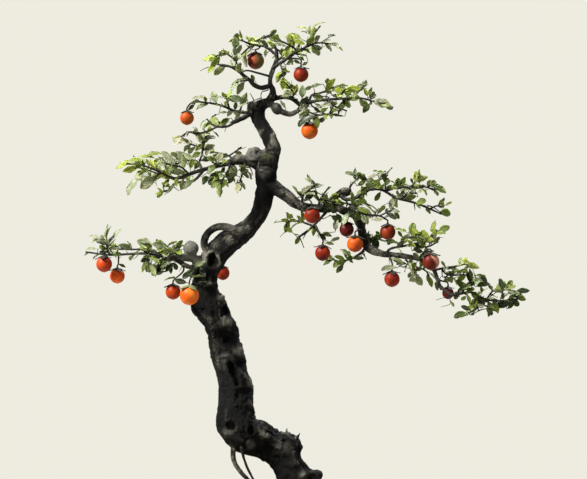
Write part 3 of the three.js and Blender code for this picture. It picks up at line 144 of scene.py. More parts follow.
# Leafy sprays. Each shoot: (first and last radius), leaves, from which part of its route on,
# leaf length in millimetres, tone, fruit that it carries, [route of (column, row, depth)].
SPRAYS = {
    "crown_left": [
        ((2, 0.9), 6, 0.3, 16, "grey", None, [(270.5, 85, -1), (261, 87.5, -4), (254, 84.5, -7),
         (248, 79, -8), (239.5, 73, -9), (228, 66.5, -7), (217, 65, -5)]),
        ((1.2, 0.8), 4, 0.4, 15, "grey", None, [(239.5, 73, -9), (236.5, 62, -11), (235, 52, -11),
         (236, 45, -10)]),
        ((1, 0.8), 4, 0.35, 16, "new", None, [(236.5, 62, -11), (226, 55, -12), (216, 58, -14)]),
        ((1, 0.8), 3, 0.4, 19, "grey", None, [(250, 81, -7.5), (244, 82, -12), (237, 84, -15)]),
    ],
    "crown_top": [
        ((1.5, 0.8), 6, 0.25, 17, "new", None, [(276.5, 55, 2), (266, 46.5, 5), (257, 44.5, 7),
         (249, 43, 6), (241, 39.5, 4)]),
        ((1.1, 0.8), 4, 0.25, 15, "grey", None, [(260, 45.2, 6.3), (259, 39.5, 9), (272, 33.5, 12)]),
        ((1, 0.8), 3, 0.35, 16, "pale", None, [(252, 43.7, 6.4), (247, 49, 2), (241, 55, -1)]),
        ((0.9, 0.8), 0, 0, 0, "old", "crown_hidden", [(260.5, 45.3, 6.4), (258, 48, 7)]),
    ],
    "crown_right": [
        ((2, 0.8), 7, 0.3, 15, "mid", None, [(272.8, 68, 1), (279, 64, -2), (286, 60, -4), (298, 51.5, -5),
         (305, 48, -4), (310, 41, -3), (312, 33, -1)]),
        ((1.1, 0.8), 4, 0.2, 16, "new", None, [(298, 51.5, -5), (289, 46, -9), (280, 42, -12)]),
        ((1.1, 0.8), 5, 0.25, 15, "grey", None, [(305, 48, -4), (317, 43, 0), (331, 43.5, 3)]),
        ((0.9, 0.8), 2, 0.5, 13, "new", None, [(311, 38, -2), (320, 27, -7)]),
        ((1, 0.8), 3, 0.35, 15, "new", None, [(280, 63.5, -2.4), (282, 70, -6), (284, 77, -8)]),
        ((1, 0.8), 0, 0, 0, "old", "crown_right", [(288, 58.6, -4.2), (300, 60, -6)]),
    ],
    "crown_back": [
        ((1.4, 0.8), 5, 0.25, 16, "new", None, [(275.5, 62, 3), (284, 55, 11), (296, 52, 17),
         (306, 53, 19)]),
        ((1, 0.8), 3, 0.35, 16, "mid", None, [(284, 55, 11), (278, 48, 16), (272, 45, 18)]),
    ],
    "shelf_right": [
        ((2, 0.7), 8, 0.15, 15, "mid", None, [(302, 107, -3), (309, 103, -4), (318, 101, -5),
         (328, 100, -5), (345, 99, -4), (362, 98.5, -1), (377, 102.5, 2), (393, 107, 3)]),
        ((1.2, 0.8), 4, 0.25, 15, "new", None, [(309, 103, -4), (312, 95, 0), (322, 92, 5), (334, 86, 9)]),
        ((1.1, 0.8), 5, 0.25, 15, "old", None, [(328, 100, -5), (334, 107, -11), (346, 112, -15)]),
        ((1, 0.8), 3, 0.4, 18, "new", None, [(338, 99.4, -4.4), (345, 90, -11)]),
        ((1, 0.8), 3, 0.4, 14, "grey", None, [(353, 98.8, -2.6), (358, 92, 1), (364, 87.5, 3)]),
        ((1.1, 0.8), 4, 0.25, 15, "old", None, [(305, 105.3, -3.4), (308, 112, -8), (318, 116, -12),
         (330, 115, -16)]),
        ((1, 0.8), 0, 0, 0, "old", "shelf_right", [(306, 104.7, -3.6), (307, 111, -5), (309, 116, -6)]),
    ],
    "shelf_tuft": [
        ((1.1, 0.8), 4, 0.35, 15, "new", None, [(292, 98.5, -2), (293.5, 93, -4), (287, 85, -7)]),
    ],
    "shelf_left_low": [
        ((1.6, 0.8), 4, 0.3, 14, "mid", None, [(235, 122.3, -5.5), (227, 127, -7), (215, 126.5, -7),
         (207, 119.5, -5)]),
        ((1.2, 0.8), 5, 0.2, 14, "pale", None, [(219, 126.7, -7), (203, 133.5, -11), (190, 133, -13),
         (182, 137.5, -13)]),
    ],
    "shelf_left_top": [
        ((1.8, 0.9), 6, 0.25, 15, "grey", None, [(254, 109, 3), (245, 112, 6), (236, 111, 8),
         (223, 105.5, 9), (213, 103, 7), (199, 101.5, 3)]),
        ((1, 0.8), 3, 0.4, 15, "new", None, [(229, 108, 8.6), (226, 96, 4)]),
        ((1, 0.8), 3, 0.35, 18, "pale", None, [(239, 111.3, 7.4), (241, 105, 12), (239, 99, 14)]),
        ((1, 0.8), 0, 0, 0, "old", "shelf_left", [(200, 101.6, 3.2), (195, 101, 1), (190, 104, 0)]),
    ],
    "pad_left": [
        ((2.2, 0.8), 10, 0.3, 17, "new", None, [(212, 167.7, -8), (196, 172.5, -11), (180, 178.5, -14),
         (172, 178, -15), (160, 172, -18), (146, 167, -20), (129, 164.5, -21)]),
        ((1.1, 0.8), 4, 0.3, 19, "grey", None, [(162, 173, -17.5), (156, 178, -16), (144, 184, -14)]),
        ((1.6, 0.8), 6, 0.3, 15, "old", None, [(205, 169.8, -9.3), (193, 181, 0), (176, 182.5, 5),
         (170, 189, 7), (162, 191, 8)]),
        ((1.1, 0.8), 5, 0.25, 16, "new", None, [(180, 182.3, 3.8), (168, 177, 10), (142, 168, 16)]),
        ((1.3, 0.8), 7, 0.2, 16, "grey", None, [(203, 170.4, -9.7), (198, 162, -3), (185, 160, 5),
         (177, 163, 9), (161, 162, 14)]),
        ((1.1, 0.8), 5, 0.25, 15, "pale", None, [(199, 163.7, -4.4), (202, 156, -8), (205.5, 140, -9),
         (207, 133, -8)]),
        ((0.9, 0.8), 3, 0.4, 16, "pale", None, [(203.5, 149, -8.5), (186, 142.5, -3)]),
        ((1, 0.8), 4, 0.3, 16, "grey", None, [(190, 174.8, -12.1), (182, 168, -19), (168, 165, -24)]),
    ],
    "pad_under_left": [
        ((1.2, 0.8), 5, 0.3, 16, "mid", None, [(230, 163, -7), (229, 170, -12), (221, 184, -16)]),
        ((0.9, 0.8), 3, 0.3, 15, "old", None, [(225.6, 176, -13.7), (211, 177, -10)]),
    ],
    "pad_under_right": [
        ((1.2, 0.8), 5, 0.3, 16, "grey", None, [(245, 161, -5), (244, 169, -11), (240, 184, -15)]),
    ],
    "pad_top": [
        ((1.1, 0.8), 5, 0.3, 15, "grey", None, [(233, 161.5, -6.5), (229, 156, -3), (215, 152, 5)]),
        ((0.9, 0.8), 2, 0.5, 14, "mid", None, [(229, 156, -3), (236, 151, 2), (241, 147, 5)]),
    ],
    "pad_front": [
        ((1.1, 0.8), 4, 0.3, 17, "old", None, [(224, 164.3, -6.7), (221, 166, -13), (213, 163, -17)]),
    ],
    "fork_left": [
        ((1.3, 0.8), 5, 0.2, 18, "grey", None, [(303, 206.5, -1), (303, 196, -6), (314, 185, -7),
         (309, 178, -6)]),
        ((0.9, 0.8), 0, 0, 0, "old", "fork", [(303, 200, -4.1), (309, 200, -11)]),
    ],
    "fork_right": [
        ((1.2, 0.8), 5, 0.25, 16, "old", None, [(319, 208.5, 2.5), (320, 200, 0), (329, 187, -3)]),
        ((0.9, 0.8), 3, 0.35, 16, "old", None, [(320, 200, 0), (333, 201, -9)]),
    ],
    "right_top": [
        ((2.2, 0.8), 8, 0.2, 15, "mid", None, [(340, 193, 6), (345, 199, 3), (355, 198, 1), (369, 190, -1),
         (382, 190, -2), (396, 198, -4), (415, 203, -3), (430, 209, -1), (441, 214, 0)]),
        ((1.3, 0.8), 7, 0.15, 15, "mid", None, [(384, 191.1, -2.3), (402, 187, -7), (420, 186.5, -8),
         (436, 190, -6)]),
        ((0.9, 0.8), 3, 0.5, 18, "new", None, [(411, 186.7, -7.5), (418, 177, -11)]),
        ((1.1, 0.8), 4, 0.25, 15, "old", None, [(373, 190, -1.3), (377, 182, 4), (388, 175, 8)]),
        ((0.9, 0.8), 2, 0.6, 12, "mid", None, [(430, 209, -1), (436, 206, -4), (443, 207, -6)]),
        ((1, 0.8), 3, 0.4, 14, "grey", None, [(402, 199.6, -3.8), (408, 194, 1), (417, 193, 4)]),
    ],
    "right_knob_tip": [
        ((1.2, 0.8), 4, 0.35, 15, "grey", None, [(349, 191, 6), (352, 184, 5), (363, 175, 3)]),
    ],
    "right_middle": [
        ((1.4, 0.9), 5, 0.25, 16, "old", None, [(345, 211.5, 0), (352, 207, -7), (365, 214, -9),
         (379, 216, -8), (385, 219, -6)]),
        ((0.9, 0.8), 3, 0.4, 15, "pale", None, [(379, 216, -8), (394, 209, -11)]),
        ((0.9, 0.8), 0, 0, 0, "old", "middle_right", [(383, 218, -6.7), (387, 220, -5)]),
    ],
    "right_core": [
        ((1.3, 0.8), 5, 0.3, 18, "mid", None, [(354, 215, -1), (353, 208, 7), (361, 202, 13),
         (371, 205, 15)]),
        ((1, 0.8), 3, 0.35, 16, "old", None, [(354.5, 206.9, 8.1), (348, 203, 13), (338, 204, 15)]),
    ],
    "right_dark_fruit": [
        ((1, 0.8), 0, 0, 0, "old", "dark_middle", [(350, 213, -1), (345, 216, -6), (346, 218, -5.5)]),
    ],
    "right_front_fruit": [
        ((1, 0.8), 0, 0, 0, "old", "front_middle", [(362, 229, 0), (359, 230, -9), (355, 231.5, -14)]),
    ],
    "right_down": [
        ((1.6, 0.8), 4, 0.5, 13, "mid", None, [(329, 209, 3), (318, 221, 0), (306, 232.5, 0),
         (299, 237, 1)]),
        ((1.1, 0.8), 6, 0.35, 15, "new", None, [(313, 225.8, 0), (298, 221, 3), (286, 222, 2)]),
        ((1, 0.8), 1, 0.6, 14, "old", "hanging", [(315, 223.9, 0), (321, 236, -6), (323, 241, -8)]),
    ],
    "right_under": [
        ((1.4, 0.8), 6, 0.25, 16, "mid", None, [(366, 246, 1), (361, 253, 4), (348, 260, 5),
         (335, 261, 4)]),
    ],
    "right_inner": [
        ((1.2, 0.8), 5, 0.25, 15, "old", None, [(363.5, 240, 1), (374, 238, 8), (385, 241, 11)]),
    ],
    "right_low_top": [
        ((1.5, 0.8), 8, 0.3, 16, "new", None, [(385, 254.3, -1), (391, 248.5, -3), (406, 245.5, -5),
         (423, 241, -6), (439, 231, -5)]),
        ((1, 0.8), 4, 0.35, 15, "mid", None, [(400, 246.7, -4.2), (405, 238.5, -10), (416, 236.5, -14)]),
        ((1, 0.8), 4, 0.25, 15, "old", None, [(414, 243.4, -5.5), (426, 247, -1), (438, 242, 2)]),
    ],
    "right_low_fruit": [
        ((1.1, 0.8), 2, 0.4, 15, "grey", "low_right", [(388, 254.5, -1), (391, 261, -5), (392, 265, -7)]),
    ],
    "right_low_under": [
        ((1.2, 0.8), 6, 0.3, 15, "pale", None, [(404, 256, 0), (411, 268, 4), (413, 275, 4)]),
        ((1, 0.8), 4, 0.3, 15, "mid", None, [(409, 264.6, 2.9), (425, 270, 9), (430, 276, 9)]),
    ],
    "right_front_stalk": [
        ((1.1, 0.8), 1, 0.5, 13, "old", "right_front", [(419, 259, 2), (423, 253, -5), (428, 249, -11)]),
    ],
    "right_end": [
        ((1.7, 0.8), 9, 0.25, 16, "mid", None, [(440, 286, 0), (446, 291.5, -2), (453, 295, -4),
         (470, 292, -5), (486, 299.5, -3), (505, 300.5, -1), (516, 296, 0)]),
        ((1.1, 0.8), 5, 0.3, 16, "grey", None, [(461, 293.6, -4.5), (468, 282, -11), (480, 277, -14)]),
        ((1, 0.8), 4, 0.35, 15, "old", None, [(477, 295.3, -4.1), (479, 304, -7), (468, 313, -10)]),
        ((0.9, 0.8), 3, 0.4, 14, "mid", None, [(478.7, 303.5, -6.9), (492, 308, -3)]),
        ((1, 0.8), 4, 0.3, 15, "mid", None, [(486, 299.5, -3), (492, 292, 1), (500, 287, 4)]),
    ],
    "right_end_top": [
        ((1.3, 0.8), 5, 0.35, 16, "new", None, [(434, 270.5, 1), (441, 268.5, -3), (453, 266.5, -8),
         (464, 264, -9)]),
        ((1, 0.8), 5, 0.35, 15, "mid", None, [(441, 268.5, -3), (447, 274.5, -8), (463, 274.5, -12)]),
    ],
    "right_end_fruit": [
        ((1, 0.8), 1, 0.5, 13, "old", "far_right", [(437.3, 279, 0), (442, 281, 6), (448, 282.5, 10)]),
    ],
    "low_left": [
        ((1.8, 0.8), 6, 0.25, 14, "old", None, [(169, 259.5, -6), (161, 256, -8), (146, 253.5, -9),
         (129, 254, -6), (110, 255, -3), (86, 252, 0)]),
        ((1.1, 0.8), 5, 0.2, 15, "grey", None, [(155, 254.8, -8.4), (148, 249.5, -4), (130, 249.5, 1),
         (113, 249, 3)]),
        ((1, 0.8), 5, 0.35, 16, "grey", None, [(110, 255, -3), (108, 248, -7), (107, 240, -9)]),
        ((1, 0.8), 4, 0.35, 16, "old", None, [(147, 253.5, -8.9), (149, 259, -14), (150, 264, -16)]),
        ((1, 0.8), 4, 0.35, 15, "mid", None, [(160, 255.8, -8.1), (163, 250, -12), (168, 246, -14)]),
        ((0.9, 0.8), 0, 0, 0, "old", "far_left", [(112, 254.9, -3.4), (107, 251, -8), (105, 252.5, -7.5)]),
        ((0.9, 0.8), 0, 0, 0, "old", "far_left_low", [(119, 254.6, -4.4), (118, 264, 3)]),
    ],
    # These leaves take the dark tone: painted shade, for they lie in shade between the fruit and the trunk.
    "low_front": [
        ((1.1, 0.8), 2, 0.2, 18, "dark", "low_front", [(193, 266.3, -8.5), (195, 268, -15),
         (192, 278, -25)]),
    ],
    "low_stalk": [
        ((1.1, 0.8), 2, 0.2, 15, "old", "low_left", [(184, 263.7, -9), (184, 271, -12),
         (176, 278.5, -12.5)]),
    ],
    "low_top": [
        ((1, 0.8), 4, 0.35, 16, "old", None, [(178, 257.3, -7), (176, 250, -10), (182, 246, -13)]),
    ],
    "low_back": [
        ((1.2, 0.8), 5, 0.3, 16, "old", None, [(186, 257.8, -6.5), (180, 254, 3), (168, 253, 8),
         (156, 258, 10)]),
    ],
    "behind_trunk": [
        ((1.1, 0.8), 1, 0.6, 14, "old", "behind_trunk", [(214, 259, -2), (221, 257, 12), (222, 260, 17)]),
    ],
}
# Leaves traced one by one on the photo, on top of those of the solids: base column and row,
# tip column and row, width as seen, and how far the leaf bows upward, all in pixels.
TRACED_LEAVES = {
    "new": [
        (219, 62, 208, 55, 9), (216, 63, 208, 73, 6), (249, 40, 232, 39, 3, 1.5), (303, 40, 284, 37, 5, 2),
        (311, 31, 326, 22, 3, 2.5), (309, 33, 297, 27, 2.6, 2), (277, 50, 291, 56, 8),
        (295, 95, 297, 84, 5), (297, 90, 289, 84, 4), (322, 47.5, 343, 50, 2.4, 4), (225, 98, 222, 92, 4),
        (211, 125, 208, 134, 5), (203, 143, 195, 151, 5), (345, 90, 333, 90, 5), (352, 95, 344, 92, 6),
        (368, 97, 364, 88, 4), (369, 97, 372, 87, 4), (135, 164, 119, 163, 5), (139, 167, 122, 171, 7),
        (143, 160, 129, 160, 4), (147, 159, 134, 165, 5), (159, 158, 151, 168, 6.5),
        (150, 173, 139, 166, 5), (163, 192, 157, 188, 2.6), (163, 193, 155, 194, 2),
        (163, 192, 161, 196, 2), (166, 252, 156, 243, 8), (420, 184, 415, 171, 9),
        (291, 222, 281, 219, 3.4), (289, 222, 284, 228, 3.4), (288, 220, 288, 214, 3),
        (424, 238, 408, 232, 6), (413, 244, 407, 240, 3.4), (420, 234, 412, 229, 4),
        (430, 238, 421, 230, 5), (436, 238, 434, 229, 4), (474, 273, 460, 260, 4, 3),
        (118, 246, 110, 244, 3), (293, 40, 305, 44, 5), (157, 158.5, 138, 156, 3),
    ],
    "mid": [
        (252, 50, 252, 37, 8), (251, 49, 240, 57, 3, -1), (300, 53, 290, 52, 5), (334, 88, 348, 85, 4),
        (299, 54, 307, 56, 2), (297, 95, 284, 91, 4), (163, 154, 146, 156, 4.4, 1),
        (158, 172, 161, 160, 3.4), (166, 172, 156, 171, 4), (201, 152, 192, 157, 6),
        (190, 170, 192, 159, 5), (173, 177, 164, 178, 4), (170, 178, 163, 187, 4.6),
        (224, 175, 214, 172, 4.4), (228, 179, 217, 189, 6.4), (168, 256, 160, 250, 5),
        (108, 250, 99, 246, 5), (385, 181, 381, 174, 3), (387, 173, 373, 170, 3, -1),
        (382, 186, 373, 181, 6), (407, 184, 400, 186, 3.4), (386, 188, 373, 187, 3),
        (348, 205, 359, 202, 4), (371, 213, 357, 209, 5), (367, 196, 361, 186, 6), (443, 208, 442, 200, 4),
        (444, 206, 452, 202, 2.6), (346, 262, 337, 263, 5), (346, 260, 334, 256, 4),
        (420, 241, 408, 237, 5), (424, 243, 416, 240, 5), (440, 232, 430, 230, 4),
        (438, 239, 428, 238, 3.2), (417, 262, 410, 269, 6), (426, 241, 421, 249, 5),
        (444, 269, 456, 267, 3), (456, 282, 466, 274, 6), (474, 275, 487, 282, 5, 2),
        (478, 297, 472, 307, 8), (506, 290, 512, 280, 6), (506, 289, 516, 286, 4), (467, 296, 461, 300, 4),
        (451, 301, 454, 307, 3), (512, 293, 523, 295, 3), (279, 79.5, 291, 85, 3, 1),
        (428, 187, 411, 187, 5), (142, 170, 137, 174, 4.4), (327, 85, 328, 78, 5.4),
        (357, 186, 366, 180, 5), (293, 233, 286, 227, 5), (409, 233, 395, 228, 3), (470, 303, 468, 295, 4),
        (470, 292, 480, 298, 7),
    ],
    "old": [
        (234.5, 58, 236, 43, 4), (286, 66, 282, 77, 6), (226, 99, 211, 96.5, 2.6, 1),
        (235, 111, 236, 101, 4.4), (231, 118, 221, 126, 6.4, 1.5), (213, 131, 219, 137, 1.6),
        (306, 103, 307, 96, 4), (309, 112, 299, 115, 4), (350, 101, 338, 106, 4.6),
        (343, 103, 338, 112, 6.6), (345, 116, 331, 114, 1.6, -1), (354, 90, 368, 84, 2, 2),
        (370, 103, 363, 113, 6.4), (165, 170, 168, 160, 3), (194, 170, 200, 160, 5),
        (152, 247, 145, 243, 4), (157, 250, 141, 250, 3.4), (170, 260, 162, 270, 5),
        (119, 247, 112, 246, 3), (317, 198, 314, 190, 4.4), (317, 186, 310, 182, 2.6),
        (322, 205, 330, 200, 5), (345, 213, 357, 217, 5, 1), (330, 215, 342, 222, 6.6),
        (384, 186, 390, 180, 4), (396, 187, 399, 178, 5.4), (413, 184, 411, 178, 3),
        (430, 186, 445, 189, 5, 1), (400, 198, 404, 190, 4), (381, 191, 375, 201, 5.4),
        (334, 258, 323, 265, 4.4), (344, 264, 336, 273, 5.6), (346, 261, 352, 256, 5),
        (372, 236, 362, 236, 5), (373, 237, 366, 245, 6), (380, 236, 376, 231, 4),
        (403, 238, 398, 231, 3.4), (412, 251, 420, 246, 5), (424, 252, 415, 250, 5),
        (409, 265, 396, 264, 3.2, 1), (414, 270, 423, 268, 4.4), (446, 276, 456, 272, 3.2),
        (456, 282, 468, 288, 7), (458, 290, 468, 285, 6), (472, 287, 469, 275, 4),
        (475, 287, 491, 284, 5, 1), (482, 293, 481, 286, 3), (513, 300, 519, 306, 6),
        (478, 299, 485, 304, 5), (459, 295, 454, 299, 4), (467, 312, 454, 318, 6.6, 1),
        (491, 309, 488, 317, 4), (488, 302, 492, 309, 3), (463, 270, 469, 266, 2.6),
        (416, 194, 409, 192, 2), (394, 210, 399, 219, 4.2), (391, 206, 394, 210, 2.6),
        (225, 166, 222, 173, 4), (174, 262, 177, 270, 5), (222, 159, 227, 153, 3), (285, 65, 294, 61, 4.4),
        (301, 64, 294, 60, 3.4), (195, 104, 188, 110, 4), (308, 62, 302, 65, 3.4), (276, 45, 287, 46, 2.4),
        (324, 243, 334, 244, 3), (507, 309, 514, 304, 3.4), (118, 264, 126, 267, 3),
        (360, 212, 366, 223, 6), (336, 218, 334, 229, 3.5), (336, 213, 342, 222, 6),
        (355, 200, 361, 205, 5), (330, 205, 337, 198, 5), (358, 174, 366, 181, 5), (466, 288, 456, 280, 6),
        (484, 296, 474, 305, 8), (468, 300, 476, 308, 6), (460, 284, 470, 290, 6), (506, 288, 503, 282, 4),
        (300, 116, 308, 111, 5), (313, 106, 320, 113, 4), (172, 258, 160, 268, 6), (368, 188, 380, 181, 7),
        (386, 188, 384, 172, 5), (398, 190, 398, 180, 5), (410, 188, 420, 186, 5), (428, 184, 443, 190, 5),
        (384, 190, 394, 185, 4), (368, 186, 361, 193, 6),
    ],
    # Dark leaves: painted shade on leaves that lie in shade.
    "dark": [
        (311, 45, 322, 49, 4.6), (300, 106, 310, 99, 6), (318, 117, 300, 124, 6, 2.5),
        (302, 118, 299, 127, 5), (326, 117, 319, 122, 5), (331, 94, 343, 99, 4.4), (352, 99, 342, 101, 4),
        (219, 176, 208, 184, 8), (235, 176, 228, 184, 4.4), (200, 161, 213, 158, 5),
        (239, 169, 249, 172, 5), (237, 180, 240, 191, 6), (152, 254, 144, 260, 5),
        (168, 270, 151, 274, 4.6, -1), (172, 254, 179, 248, 5), (191, 270, 183, 279, 6),
        (304, 202, 315, 190, 7), (360, 209, 351, 208, 3.4), (367, 180, 358, 174, 4),
        (319, 233, 326, 240, 5), (374, 236, 377, 249, 8), (503, 292, 500, 278, 5.6),
        (515, 291, 530, 290.5, 5), (512, 301, 495, 307, 8), (503, 300, 503, 293, 4),
        (472, 311, 461, 306, 4.4), (470, 282, 468, 271, 4), (492, 290, 488, 284, 3),
        (488, 300, 502, 301.5, 3), (107, 253, 99, 252, 5), (353, 263, 349, 259, 3), (470, 315, 475, 313, 3),
        (188, 283, 175, 280, 6), (170, 263, 171, 274, 4.6), (197, 268, 187, 277, 7),
        (196, 284, 208, 282, 3.4), (200, 266, 205, 277, 6), (350, 210, 358, 221, 7),
        (347, 204, 361, 209, 6), (322, 212, 331, 206, 5), (338, 207, 332, 213, 5), (472, 284, 466, 272, 5),
        (480, 274, 487, 283, 4), (519, 298, 507, 306, 7), (500, 306, 514, 301, 6), (480, 300, 491, 300, 5),
        (452, 282, 444, 276, 5), (456, 276, 447, 272, 5), (298, 99, 283, 98, 3.5), (307, 97, 300, 105, 6),
        (345, 102, 337, 111, 6), (343, 98, 331, 95, 4), (320, 113, 328, 116, 3), (148, 252, 140, 247, 4),
        (166, 252, 154, 256, 6), (160, 262, 152, 274, 6), (176, 262, 164, 272, 5), (182, 246, 172, 252, 4),
        (150, 250, 160, 256, 5), (366, 192, 361, 187, 5),
    ],
    # Grey leaves: partly grey-green leaf colour and partly painted sheen.
    "grey": [
        (243, 79, 230, 91, 5, 1), (226, 98, 243, 99, 8), (211, 99, 192, 98, 2.6, 1),
        (210, 103, 197, 107, 5), (228, 112, 220, 113, 3), (247, 103, 238, 107, 2), (219, 114, 211, 117, 2),
        (208, 119, 200, 127, 2, 1.5), (210, 134, 203, 143, 6), (300, 108, 310, 104, 6),
        (323, 84, 310, 87, 4.4), (354, 99, 345, 97, 3.4), (334, 104, 318, 106, 4), (328, 104, 338, 103, 3),
        (357, 99, 354, 90, 4), (371, 101, 385, 107, 5), (176, 165, 161, 151, 6.4),
        (143, 176, 127, 195, 6.6, 2), (187, 172, 170, 172, 6.6), (206, 157, 208, 147, 4),
        (209, 150, 215, 145, 1.6), (228, 161, 237, 176, 8), (230, 163, 214, 159, 4),
        (107, 240, 107.5, 224, 1.8), (102, 239, 89, 236, 2.6, 1), (100, 240, 91, 243, 2, 1),
        (104, 240, 106, 230, 2), (98, 249, 86, 249, 1.6), (152, 246, 137, 240, 6, 2),
        (152, 261, 146, 272, 6), (160, 258, 155, 266, 3), (297, 198, 312, 186, 6.4),
        (310, 181, 307, 174, 3), (322, 205, 334, 198, 6), (358, 175, 345, 173.5, 2),
        (361, 213, 367, 224, 5.4), (377, 175, 368, 179, 1.6), (394, 188, 410, 188, 4),
        (398, 196, 397, 190, 3), (418, 197, 411, 195, 2), (438, 231, 449, 225, 2, 1),
        (329, 242, 340, 238, 4), (352, 259, 364, 258, 4), (420, 260, 413, 253, 5), (419, 275, 409, 281, 8),
        (427, 273, 429, 283, 4), (446, 268, 441, 261, 3), (504, 289, 516, 294, 4), (484, 282, 475, 278, 4),
        (309, 34, 301, 31, 2), (314, 41, 320, 35, 4.4), (328, 35, 336, 35.5, 2.4), (390, 240, 388, 245, 4),
        (302, 99, 303, 85, 7), (372, 220, 383, 219, 4), (335, 232, 338, 220, 4), (286, 109, 280, 100, 3.4),
        (265, 57, 266, 49, 4), (314, 103, 322, 108, 3.6), (425, 268, 421, 253, 7), (353, 207, 372, 215, 8),
        (349, 211, 343, 225, 5), (372, 234, 363, 238, 4.5), (344, 202, 336, 206, 4),
        (372, 186, 380, 179, 5), (322, 204, 327, 194, 7), (503, 290, 513, 286, 5), (506, 294, 517, 291, 4),
        (487, 301, 493, 309, 5), (297, 91, 281, 97, 6), (308, 104, 300, 110, 6), (309, 112, 299, 118, 7),
        (331, 91, 345, 87, 6), (229, 164, 236, 176, 7), (238, 163, 247, 170, 5), (236, 172, 228, 181, 6),
        (150, 247, 137, 240, 7), (170, 248, 153, 243, 8), (150, 256, 144, 270, 7), (400, 186, 412, 190, 5),
        (404, 193, 396, 198, 5), (394, 211, 399, 219, 4),
    ],
    # Pale leaves: partly pale leaf colour and partly painted sheen.
    "pale": [
        (188, 165, 178, 151, 8), (184, 152, 174, 153, 2.6), (197, 144, 176, 141, 4),
        (200, 168, 193, 161, 5), (374, 100, 389, 102, 4), (384, 106, 393, 109, 4), (219, 161, 222, 152, 6),
        (112, 240, 121, 228, 4.4), (157, 262, 150, 271, 5), (350, 213, 344, 223, 4),
        (398, 268, 381, 270, 5.6, 1), (411, 269, 398, 266, 2.6), (358, 90, 367, 88, 2),
        (371, 98, 377, 96, 1.6), (358, 177, 345, 172, 3.5), (367, 179, 378, 173, 3), (313, 86, 304, 90, 4),
        (240, 170, 249, 178, 3.5),
    ],
}
# Bare twiglets traced on the photo: half width and the route in pixels.
TWIGLETS = [
    (0.6, [(238, 60), (230, 56), (224, 53), (221, 57)]),
    (0.8, [(256, 41), (264, 37), (273, 34), (276, 38)]), (0.9, [(311, 46), (310.5, 38), (310.5, 32)]),
    (0.6, [(320, 43), (328, 38), (334, 35)]), (0.5, [(206, 68), (200, 71)]),
    (0.8, [(210, 130), (201, 134)]), (0.8, [(197, 135), (188, 132), (183, 138)]),
    (0.9, [(203, 152), (202, 137)]), (0.9, [(149, 172), (147, 182)]), (0.7, [(148, 179), (155, 183)]),
    (0.7, [(148, 180), (145, 187)]), (0.9, [(163, 174), (158, 175), (154, 180)]),
    (0.6, [(164, 191), (163, 182)]), (0.6, [(174, 187), (179, 191)]),
    (0.9, [(173, 184), (170, 191), (163, 192)]), (0.5, [(240, 170), (248, 178)]),
    (0.8, [(129, 249), (129, 243)]), (0.7, [(122, 250), (122, 246)]), (0.6, [(178, 250), (184, 249)]),
    (0.7, [(320, 200), (324, 193), (329, 188)]), (0.6, [(317, 192), (314, 185), (307, 175)]),
    (0.6, [(297, 221), (293, 218), (292, 214)]), (0.6, [(302, 221), (308, 225)]),
    (0.9, [(311, 228), (305, 232), (297, 237.5)]), (0.7, [(306, 232), (303, 239)]),
    (0.9, [(311, 225), (317, 231), (319, 235)]), (0.8, [(385, 187), (386, 173)]),
    (0.8, [(390, 189), (396, 184)]), (0.7, [(429, 187), (436, 192)]), (0.7, [(428, 188), (429, 183)]),
    (0.8, [(401, 199), (409, 191)]), (0.9, [(397, 198), (397, 204)]), (0.8, [(414, 203), (415, 210)]),
    (0.8, [(428, 206), (433, 207), (440, 212), (443, 215)]), (0.5, [(375, 215), (379, 208), (390, 202)]),
    (0.6, [(385, 217), (394, 209)]), (0.5, [(366, 250), (360, 255), (351, 258), (344, 261)]),
    (0.6, [(441, 270), (443, 277), (450, 275), (458, 275)]), (0.6, [(449, 280), (460, 276)]),
    (0.6, [(488, 300), (491, 296), (497, 292), (501, 293)]), (0.7, [(478, 306), (478, 311), (472, 314)]),
    (0.7, [(478, 311), (484, 309), (490, 309)]), (0.5, [(450, 299), (450, 304), (441, 307)]),
    (0.5, [(447, 297), (436, 300)]), (0.8, [(328, 97), (320, 96), (311, 95)]),
    (0.8, [(327, 102), (326, 96), (329, 93)]), (0.9, [(312, 106), (320, 111), (325, 114), (327, 117)]),
    (0.7, [(415, 190), (416, 186)]), (0.6, [(192, 257), (192.5, 266), (192, 280)]),
    (0.5, [(286, 230), (280, 237)]), (0.5, [(438, 238), (443, 237.5)]), (0.5, [(434, 239), (439, 242)]),
    (1.5, [(269, 76), (258, 73), (247, 70.5), (240, 73)]), (0.9, [(300, 238), (304, 248)]),
    (0.7, [(268, 90), (262, 92), (261, 97), (263, 102)]), (0.6, [(261, 98), (250, 102)]),
    (0.6, [(254, 100), (250, 93)]), (0.9, [(250, 168), (253, 175)]), (0.6, [(208, 172), (201, 177)]),
    (0.7, [(323, 219), (329, 216)]),
    (2.0, [(268, 87), (262, 88.5), (255, 86.5), (251, 83), (248, 79), (243, 76), (239, 72)]),
    (1.4, [(240, 72), (236, 68), (228, 66.5), (220, 66)]),
]

# Each route of the wood with how many sides its tube has and whether it is fluted.
WOOD_ROUTES = [
    (TRUNK_ROUTE, 36, True), (RIGHT_BRANCH_ROUTE, 20, False), (RIGHT_KNOB_ROUTE, 16, False),
    (LEFT_LIMB_ROUTE, 18, False), (LEFT_TWIN_ROUTE, 14, False), (PAD_LIMB_ROUTE, 18, False),
    (BARE_LOOP_ROUTE, 16, False), (SHELF_LOOP_LOW_ROUTE, 16, False),
    (SHELF_LOOP_TOP_ROUTE, 14, False), (SHELF_LIMB_ROUTE, 14, False),
    (AERIAL_ROOT_ROUTE, 14, False), (THIN_ROOT_ROUTE, 12, False),
]
FLUTES = [(3, 0.055, 0.45), (5, 0.04, -0.7)]
ROOT_CROWN = (303, 497, 0)
ROOT_DROP = 16
ROOT_TAPER = 0.45
ROOT_BEND = 0.35

